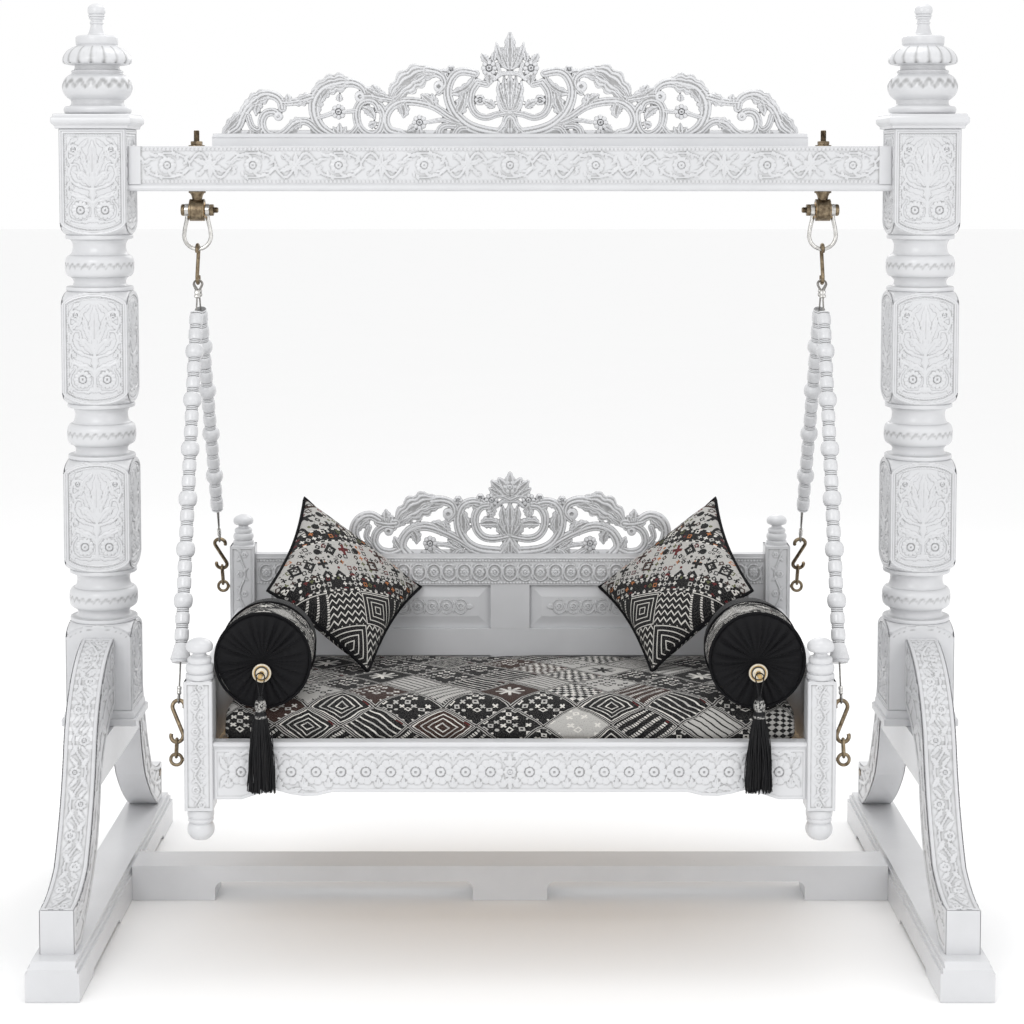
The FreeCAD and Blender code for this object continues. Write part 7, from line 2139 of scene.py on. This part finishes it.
def scattered(n, x, y, size, seed, share):
    """Small crosses, diamonds, dots and squares worked over a grid: where they lie, and a pick of thread."""
    across, up = x / size, y / size
    col, row = across.floor(), up.floor()
    px, py = across - col - 0.5, up - row - 0.5
    ax, ay = px.abs(), py.abs()
    kind, tone = n.random(n.vector(col, row, seed)), n.random(n.vector(col, row, seed + 3.7))
    cross = ((ax < 0.11) * (ay < 0.38)).max((ay < 0.11) * (ax < 0.38))
    diamond = ((ax + ay) < 0.46) * ((ax + ay) > 0.20)
    dot = (px * px + py * py) < 0.055
    square = (ax.max(ay) < 0.36) * (ax.max(ay) > 0.20)
    chosen = [cross * (kind < 0.30), diamond * (kind > 0.30) * (kind < 0.55), dot * (kind > 0.55) * (kind < 0.72),
              square * (kind > 0.72) * (kind < 0.92)]
    mark = chosen[0] + chosen[1] + chosen[2] + chosen[3]
    return mark * (n.random(n.vector(col, row, seed + 8.1)) < share), tone


def nested(n, x, y, wide, tall, seed):
    """Rectangles one inside another, in blocks; every third block has rows of dashes."""
    across, up = x / wide, y / tall
    col, row = across.floor(), up.floor()
    px, py = across - col - 0.5, up - row - 0.5
    boxes = (px.abs().max(py.abs()) * 8.0 + 0.35) % 1.0 < 0.20
    dashes = ((px * 4.0) % 1.0 < 0.22) * ((py * 15.0) % 1.0 < 0.62)
    zigzag = (py * 5.0 + ((px * 5.0) % 1.0 - 0.5).abs() * 1.3) % 1.0 < 0.24
    pick = n.random(n.vector(col, row, seed))
    return boxes * (pick < 0.46) + dashes * (pick > 0.46) * (pick < 0.74) + zigzag * (pick > 0.74)


def cushion_cloth(n, u, v):
    """Bands across the cushion: pale fields of small motifs, rows of squares, and a dark field of boxes."""
    along, side = (u + v) * 0.5, (u - v) * 0.5
    along = along + (side * 17.0).sin() * 0.006
    pale = (along < 0.088) + (along > 0.118) * (along < 0.202)
    rows = (along > 0.088) * (along < 0.118) + (along > 0.202) * (along < 0.232)
    big, hue = scattered(n, side + 0.01, along, 0.031, 21.0, 0.75)
    mark, tone = scattered(n, side, along, 0.0135, 2.0, 0.80)
    thread = palette(n, tone, [(0.0, BLACK), (0.46, BROWN), (0.60, RED), (0.72, OLIVE), (0.80, RUST), (0.88, BLACK)])
    shade = n.mix(mark, GREY, thread)
    shade = n.mix(big, shade, palette(n, hue, [(0.0, BLACK), (0.55, BROWN), (0.75, RED), (0.85, BLACK)]))
    fine, tone = scattered(n, side + 0.004, along, 0.0075, 5.0, 0.5)
    shade = n.mix(fine * (n.noise(n.vector(side, along), 34.0, 2.0) > 0.55), shade, BLACK)
    dark = n.mix(nested(n, side, along + 0.01, 0.078, 0.062, 9.0), BLACK, WHITE)
    spots, tone = scattered(n, side, along, 0.0125, 12.0, 0.9)
    band = n.mix(spots, BLACK, palette(n, tone, [(0.0, GREY), (0.36, WHITE), (0.54, RED), (0.68, RUST), (0.78, OLIVE),
                                                 (0.86, GREY)]))
    shade = n.mix(rows, n.mix(pale, dark, shade), band)
    edges = None
    for at in (0.088, 0.118, 0.202, 0.232):
        line = (along - at).abs() < 0.0016
        edges = line if edges is None else edges.max(line)
    return n.mix(edges, shade, n.mix((side * 400.0).sin() > 0.2, BLACK, WHITE)), edges


def angular_cloth(n, u, v, wide, tall, seed):
    """Slanting patches, each pale, dark, boxed, checked or barred, parted by narrow lines."""
    p, q = u / wide + v / tall, u / wide - v / tall
    col, row = p.floor(), q.floor()
    x, y = p - col - 0.5, q - row - 0.5
    kind, tone = n.random(n.vector(col, row, seed)), n.random(n.vector(col, row, seed + 4.4))
    ax, ay = x.abs(), y.abs()
    between = lambda low, high: (kind > low) * (kind < high)
    boxes = (ax.max(ay) * 9.0 + 0.3) % 1.0 < 0.26
    checks = ((x * 9.0).floor() + (y * 9.0).floor()) % 2.0 < 0.5
    bars = (x * 7.0) % 1.0 < 0.26
    rungs = ((y * 5.0) % 1.0 < 0.4) * ((x * 15.0) % 1.0 < 0.6)
    star = (((ax < 0.045).max(ay < 0.045)).max(((ax - ay).abs() < 0.05))) * ((ax * ax + ay * ay) < 0.1)
    mark, pick = scattered(n, x, y, 0.19, seed + 1.0, 0.7)
    drawn = (boxes * between(0.0, 0.14) + checks * between(0.14, 0.20) + bars * between(0.20, 0.29)
             + rungs * between(0.29, 0.40) + mark * between(0.40, 0.88) + star * (kind > 0.88))
    ground = palette(n, tone, [(0.0, BLACK), (0.58, GREY), (0.74, BROWN), (0.84, BLACK), (0.94, GREY)])
    light = (tone > 0.58) * (tone < 0.74) + (tone > 0.94)
    ink = n.mix(light, palette(n, pick, [(0.0, WHITE), (0.36, GREY), (0.74, RED), (0.86, WHITE)]), BLACK)
    shade = n.mix(drawn, ground, ink)
    near = (0.5 - ax).min(0.5 - ay)
    shade = n.mix(near < 0.045, shade, BLACK)
    edge = (near < 0.033) * (near > 0.014)
    return n.mix(edge, shade, GREY), near < 0.02


def cotton(name, look):
    """Printed and embroidered cotton: the cushions' bands, the mattress's patches or the bolsters' band."""
    n = Nodes(name)
    u, v, _ = n.split(n.field("cloth", True))
    plain = n.field("plain")
    if name == "cushion_cotton":
        shade, seam = cushion_cloth(n, u % 0.9, v)
    else:
        wide = (2.1 if name == "mattress_cotton" else 1.3) / look.patches_per_metre
        at = n.vector(u, v)
        across = u + (n.noise(at, 11.0, 3.0) - 0.5) * 0.022
        along = v + (n.noise(n.vector(u, v, 4.0), 11.0, 3.0) - 0.5) * 0.022
        along = along.min(0.0) + along.max(0.0) * (0.5 if name == "mattress_cotton" else 1.0)
        shade, seam = angular_cloth(n, across, along, wide, wide * 0.72, 3.0)
    shade = n.mix(plain, shade, tuple(look.dark_cloth))
    at = n.vector(u, v)
    weave = ((u * 3600.0).sin() * (v * 3600.0).sin()) * 0.5 + 0.5
    worn = n.noise(at, 420.0, 3.0)
    shade = n.mix(n.ramp(worn, 0.50, 0.60) * 0.22 * (1.0 - plain), shade, tuple(c * 0.4 for c in WHITE))
    shade = n.mix(n.ramp(worn, 0.36, 0.46) * -0.35 + 0.35, shade, BLACK)
    shade = n.mix(weave * 0.18, shade, BLACK)
    folds = n.noise(at, 24.0, 3.0)
    sunk = n.bump(seam * (1.0 - plain), 0.0012, -0.5, n.bump(folds, 0.008, 0.5))
    return n.set(Base_Color=shade, Roughness=n.ramp(worn, 0.2, 0.8) * 0.1 + 0.78 - plain * 0.30, Sheen_Weight=0.02,
                 Sheen_Roughness=0.45, Specular_IOR_Level=0.11, Normal=n.bump(weave, 0.0005, 0.6, sunk))


def piping_cotton(look):
    """Corded edging in dark cotton, wound on the slant, with painted light on the ridges of its twist and painted shade
    in its grooves.
    """
    n = Nodes("piping_cotton")
    at = n.place()
    x, y, z = n.split(at)
    wound = ((x + y + z) * 2100.0).sin() * 0.5 + 0.5
    # Painted light and shade: a lighter and a darker copy of the dark cloth alternate along the twist.
    shade = n.mix(wound, tuple(c * 0.5 for c in look.dark_cloth), tuple(c * 1.6 for c in look.dark_cloth))
    return n.set(Base_Color=shade, Roughness=n.ramp(wound, 0.0, 1.0) * 0.1 + 0.75, Specular_IOR_Level=0.1,
                 Normal=n.bump(wound, 0.0006, 0.6))


def button_inlay(look):
    """Rings of cream shell, black resin and brass round a dark middle."""
    n = Nodes("button_inlay")
    r = n.field("ring")
    shade = palette(n, r * 45.0, [(0.0, (0.02, 0.018, 0.016)), (0.22, (0.45, 0.30, 0.10)), (0.30, (0.66, 0.60, 0.48)),
                                  (0.56, (0.02, 0.018, 0.016)), (0.70, (0.50, 0.33, 0.12)), (0.80, (0.62, 0.56, 0.45)),
                                  (0.93, (0.05, 0.04, 0.03))])
    cloud = n.noise(n.place(), 220.0, 4.0)
    shade = n.mix(n.ramp(cloud, 0.4, 0.8) * 0.4, shade, (0.05, 0.04, 0.03))
    return n.set(Base_Color=shade, Roughness=n.ramp(cloud, 0.2, 0.8) * 0.2 + 0.25, Normal=n.bump(cloud, 0.0004, 0.3),
                 Coat_Weight=0.3)


def tassel_thread(look):
    """Black floss with bright wound bands on the head."""
    n = Nodes("tassel_thread")
    x, y, z = n.split(n.place())
    floss = n.noise(n.vector(x * 900.0, y * 900.0, z * 30.0), 1.0, 3.0)
    wound = ((z * 5200.0) + (x * 600.0)).sin() * 0.5 + 0.5
    band = n.field("band")
    dark = n.mix(n.ramp(floss, 0.3, 0.7), (0.003, 0.003, 0.004), (0.012, 0.012, 0.013))
    mottle = n.ramp(n.noise(n.vector(x, y, z), 260.0, 2.0), 0.42, 0.58)
    bright = n.mix(mottle, (0.006, 0.006, 0.007), (0.55, 0.54, 0.52))
    bright = n.mix(wound * 0.5, bright, (0.02, 0.02, 0.02))
    return n.set(Base_Color=n.mix(band, dark, bright), Roughness=wound * 0.06 + 0.22, Specular_IOR_Level=0.22,
                 Normal=n.bump(wound, 0.0004, 0.4))


FINISH_MAKERS = {
    "white_gloss_paint": white_paint,
    "white_bead_paint": bead_paint,
    "bare_timber": timber,
    "bronzed_steel": lambda look: metal("bronzed_steel", tuple(look.bronze), (0.34, 0.27, 0.18), 0.28),
    "bearing_bronze": lambda look: metal("bearing_bronze", (0.55, 0.34, 0.14), (0.75, 0.55, 0.30), 0.22),
    "nickel_steel": lambda look: metal("nickel_steel", (0.52, 0.51, 0.49), (0.74, 0.73, 0.71), 0.16),
    "steel_wire_rope": lambda look: metal("steel_wire_rope", (0.22, 0.21, 0.20), (0.45, 0.44, 0.42), 0.30, 400.0),
    "cushion_cotton": lambda look: cotton("cushion_cotton", look),
    "mattress_cotton": lambda look: cotton("mattress_cotton", look),
    "bolster_cotton": lambda look: cotton("bolster_cotton", look),
    "piping_cotton": piping_cotton,
    "button_inlay": button_inlay,
    "tassel_thread": tassel_thread,
}


# Stage

LENS_MM, SENSOR_MM = 76.64, 36.0
LENS_SHIFT = (0.00195, -0.1943)
CAMERA_AT = (0, -5.150, 1.7715)
CAMERA_DIP = math.radians(3.89)
FLOOR_RADIUS, VIEW_END = 60.0, 60.0


def make_stage(look):
    """A plain pale floor, soft even light and the camera."""
    scene = bpy.context.scene
    scene.view_settings.view_transform = "Standard"
    bm = bmesh.new()
    bmesh.ops.create_circle(bm, cap_ends=True, radius=FLOOR_RADIUS, segments=96)
    mesh = bpy.data.meshes.new("floor")
    bm.to_mesh(mesh)
    bm.free()
    floor = bpy.data.objects.new("floor", mesh)
    floor.location = (0, 0, -0.0006)
    scene.collection.objects.link(floor)
    n = Nodes("floor_paint")
    cloud = n.noise(n.place(), 1.5, 3.0)
    mesh.materials.append(n.set(Base_Color=n.mix(cloud, tuple(look.floor), tuple(c * 0.985 for c in look.floor)),
                                Roughness=n.ramp(cloud, 0.2, 0.8) * 0.05 + 0.75))
    world = bpy.data.worlds.new("studio")
    world.use_nodes = True
    world.node_tree.nodes["Background"].inputs[0].default_value = (1.0, 1.0, 1.0, 1.0)
    world.node_tree.nodes["Background"].inputs[1].default_value = look.surround
    scene.world = world
    for name, power, size, place, aim in (("key", 150, 2.6, (-2.2, -4.8, 3.4), (0, 0, 0.9)),
                                          ("fill", 60, 3.0, (3.4, -3.4, 2.6), (0, 0, 0.9)),
                                          ("top", 90, 2.2, (0.4, 0.6, 4.8), (0, 0, 0.8)),
                                          ("back", 50, 2.4, (0.8, 4.0, 3.4), (0, 0, 1.0))):
        light = bpy.data.lights.new(name, "AREA")
        light.shape = "DISK"
        light.size = size
        light.energy = power * look.light
        lamp = bpy.data.objects.new(name, light)
        lamp.location = place
        lamp.rotation_euler = (Vector(aim) - Vector(place)).to_track_quat("-Z", "Y").to_euler()
        scene.collection.objects.link(lamp)
    lens = bpy.data.cameras.new("camera")
    lens.lens, lens.sensor_width = LENS_MM, SENSOR_MM
    lens.shift_x, lens.shift_y = LENS_SHIFT
    lens.clip_end = VIEW_END
    camera = bpy.data.objects.new("camera", lens)
    camera.location = CAMERA_AT
    camera.rotation_euler = (math.radians(90) - CAMERA_DIP, 0, 0)
    scene.collection.objects.link(camera)
    scene.camera = camera


# Add-on

class SwingLook(PropertyGroup):
    """Sizes and colours of the swing's looks."""

    paint: FloatVectorProperty(name="Paint", description="Gloss paint on the carved wood", subtype="COLOR",
                               size=3, min=0.0, max=1.0, default=(0.625, 0.63, 0.645))
    # The colour of the painted shade in the carving's hollows and, darker, in the beads' grooves.
    recess_shade: FloatVectorProperty(name="Recess", description="Shade rubbed into the carving", subtype="COLOR",
                                size=3, min=0.0, max=1.0, default=(0.25, 0.25, 0.25))
    bronze: FloatVectorProperty(name="Bronze", description="Bronzed steel of the hooks and eyes", subtype="COLOR",
                                size=3, min=0.0, max=1.0, default=(0.115, 0.085, 0.055))
    dark_cloth: FloatVectorProperty(name="Dark cloth", description="Plain cotton of the bolster ends and piping",
                                    subtype="COLOR", size=3, min=0.0, max=1.0, default=(0.006, 0.006, 0.007))
    floor: FloatVectorProperty(name="Floor", description="Colour of the floor", subtype="COLOR",
                               size=3, min=0.0, max=1.0, default=(0.95, 0.95, 0.95))
    patches_per_metre: FloatProperty(name="Patches per metre", description="Rows of patches in a metre of cloth",
                                     default=14.0, min=4.0, max=40.0)
    surround: FloatProperty(name="Surround", description="Brightness of the light all round", default=1.0,
                            min=0.0, max=3.0)
    light: FloatProperty(name="Lamps", description="Brightness of the lamps", default=0.46, min=0.0, max=5.0)


class SWING_OT_stage(Operator):
    """Make the floor, the lights and the camera."""

    bl_idname = "swing.stage"
    bl_label = "Stage"

    def execute(self, context):
        make_stage(context.scene.swing_look)
        return {"FINISHED"}


class SWING_OT_foot_frame(Operator):
    """Paint the sledges and carve the braces."""

    bl_idname = "swing.foot_frame"
    bl_label = "Foot frame"

    def execute(self, context):
        make_foot_frame()
        return {"FINISHED"}


class SWING_OT_posts(Operator):
    """Turn and carve the two posts with their caps and finials."""

    bl_idname = "swing.posts"
    bl_label = "Posts"

    def execute(self, context):
        make_posts()
        return {"FINISHED"}


class SWING_OT_beam(Operator):
    """Carve the top beam."""

    bl_idname = "swing.beam"
    bl_label = "Beam"

    def execute(self, context):
        make_beam()
        return {"FINISHED"}


class SWING_OT_crests(Operator):
    """Pierce and carve both crests."""

    bl_idname = "swing.crests"
    bl_label = "Crests"

    def execute(self, context):
        make_crests()
        return {"FINISHED"}


class SWING_OT_hangers(Operator):
    """Make the stems, shackles and upper hooks."""

    bl_idname = "swing.hangers"
    bl_label = "Hangers"

    def execute(self, context):
        make_hangers()
        return {"FINISHED"}


class SWING_OT_strands(Operator):
    """Thread the beads and hang the ropes."""

    bl_idname = "swing.strands"
    bl_label = "Strands"

    def execute(self, context):
        make_strands()
        return {"FINISHED"}


class SWING_OT_seat_posts(Operator):
    """Turn and carve the seat's posts."""

    bl_idname = "swing.seat_posts"
    bl_label = "Seat posts"

    def execute(self, context):
        make_seat_posts()
        return {"FINISHED"}


class SWING_OT_front_rail(Operator):
    """Carve the front rail."""

    bl_idname = "swing.front_rail"
    bl_label = "Front rail"

    def execute(self, context):
        make_front_rail()
        return {"FINISHED"}


class SWING_OT_back(Operator):
    """Dress the seat's back."""

    bl_idname = "swing.back"
    bl_label = "Back"

    def execute(self, context):
        make_back()
        return {"FINISHED"}


class SWING_OT_deck(Operator):
    """Finish the slats under the mattress."""

    bl_idname = "swing.deck"
    bl_label = "Deck"

    def execute(self, context):
        make_deck()
        return {"FINISHED"}


class SWING_OT_mattress(Operator):
    """Sew and stuff the seat pad."""

    bl_idname = "swing.mattress"
    bl_label = "Mattress"

    def execute(self, context):
        make_mattress()
        return {"FINISHED"}


class SWING_OT_bolsters(Operator):
    """Sew and stuff the bolsters."""

    bl_idname = "swing.bolsters"
    bl_label = "Bolsters"

    def execute(self, context):
        make_bolsters()
        return {"FINISHED"}


class SWING_OT_buttons(Operator):
    """Make the bolsters' buttons."""

    bl_idname = "swing.buttons"
    bl_label = "Buttons"

    def execute(self, context):
        make_buttons()
        return {"FINISHED"}


class SWING_OT_tassels(Operator):
    """Tie the tassels."""

    bl_idname = "swing.tassels"
    bl_label = "Tassels"

    def execute(self, context):
        make_tassels()
        return {"FINISHED"}


class SWING_OT_cushions(Operator):
    """Sew and stuff the cushions."""

    bl_idname = "swing.cushions"
    bl_label = "Cushions"

    def execute(self, context):
        make_cushions()
        return {"FINISHED"}


STEPS = [
    SWING_OT_stage, SWING_OT_foot_frame, SWING_OT_posts, SWING_OT_beam, SWING_OT_crests, SWING_OT_hangers,
    SWING_OT_strands, SWING_OT_seat_posts, SWING_OT_front_rail, SWING_OT_back, SWING_OT_deck, SWING_OT_mattress,
    SWING_OT_bolsters, SWING_OT_buttons, SWING_OT_tassels, SWING_OT_cushions,
]


class SWING_PT_panel(Panel):
    """The swing's look and its steps."""

    bl_idname = "SWING_PT_panel"
    bl_label = "Jhoola Swing"
    bl_space_type = "VIEW_3D"
    bl_region_type = "UI"
    bl_category = "Swing"

    def draw(self, context):
        look = context.scene.swing_look
        for name in SwingLook.__annotations__:
            self.layout.prop(look, name)
        for operator in STEPS:
            self.layout.operator(operator.bl_idname)


CLASSES = [SwingLook] + STEPS + [SWING_PT_panel]


def register():
    """Add the panel, the operators and the swing's settings."""
    for cls in CLASSES:
        bpy.utils.register_class(cls)
    bpy.types.Scene.swing_look = PointerProperty(type=SwingLook)


def unregister():
    """Take the add-on out again."""
    del bpy.types.Scene.swing_look
    for cls in reversed(CLASSES):
        bpy.utils.unregister_class(cls)


def main():
    """Build the whole swing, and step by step."""
    register()
    bpy.ops.swing.stage()
    bpy.ops.swing.foot_frame()
    bpy.ops.swing.posts()
    bpy.ops.swing.beam()
    bpy.ops.swing.crests()
    bpy.ops.swing.hangers()
    bpy.ops.swing.strands()
    bpy.ops.swing.seat_posts()
    bpy.ops.swing.front_rail()
    bpy.ops.swing.back()
    bpy.ops.swing.deck()
    bpy.ops.swing.mattress()
    bpy.ops.swing.bolsters()
    bpy.ops.swing.buttons()
    bpy.ops.swing.tassels()
    bpy.ops.swing.cushions()


if __name__ == "__main__":
    main()
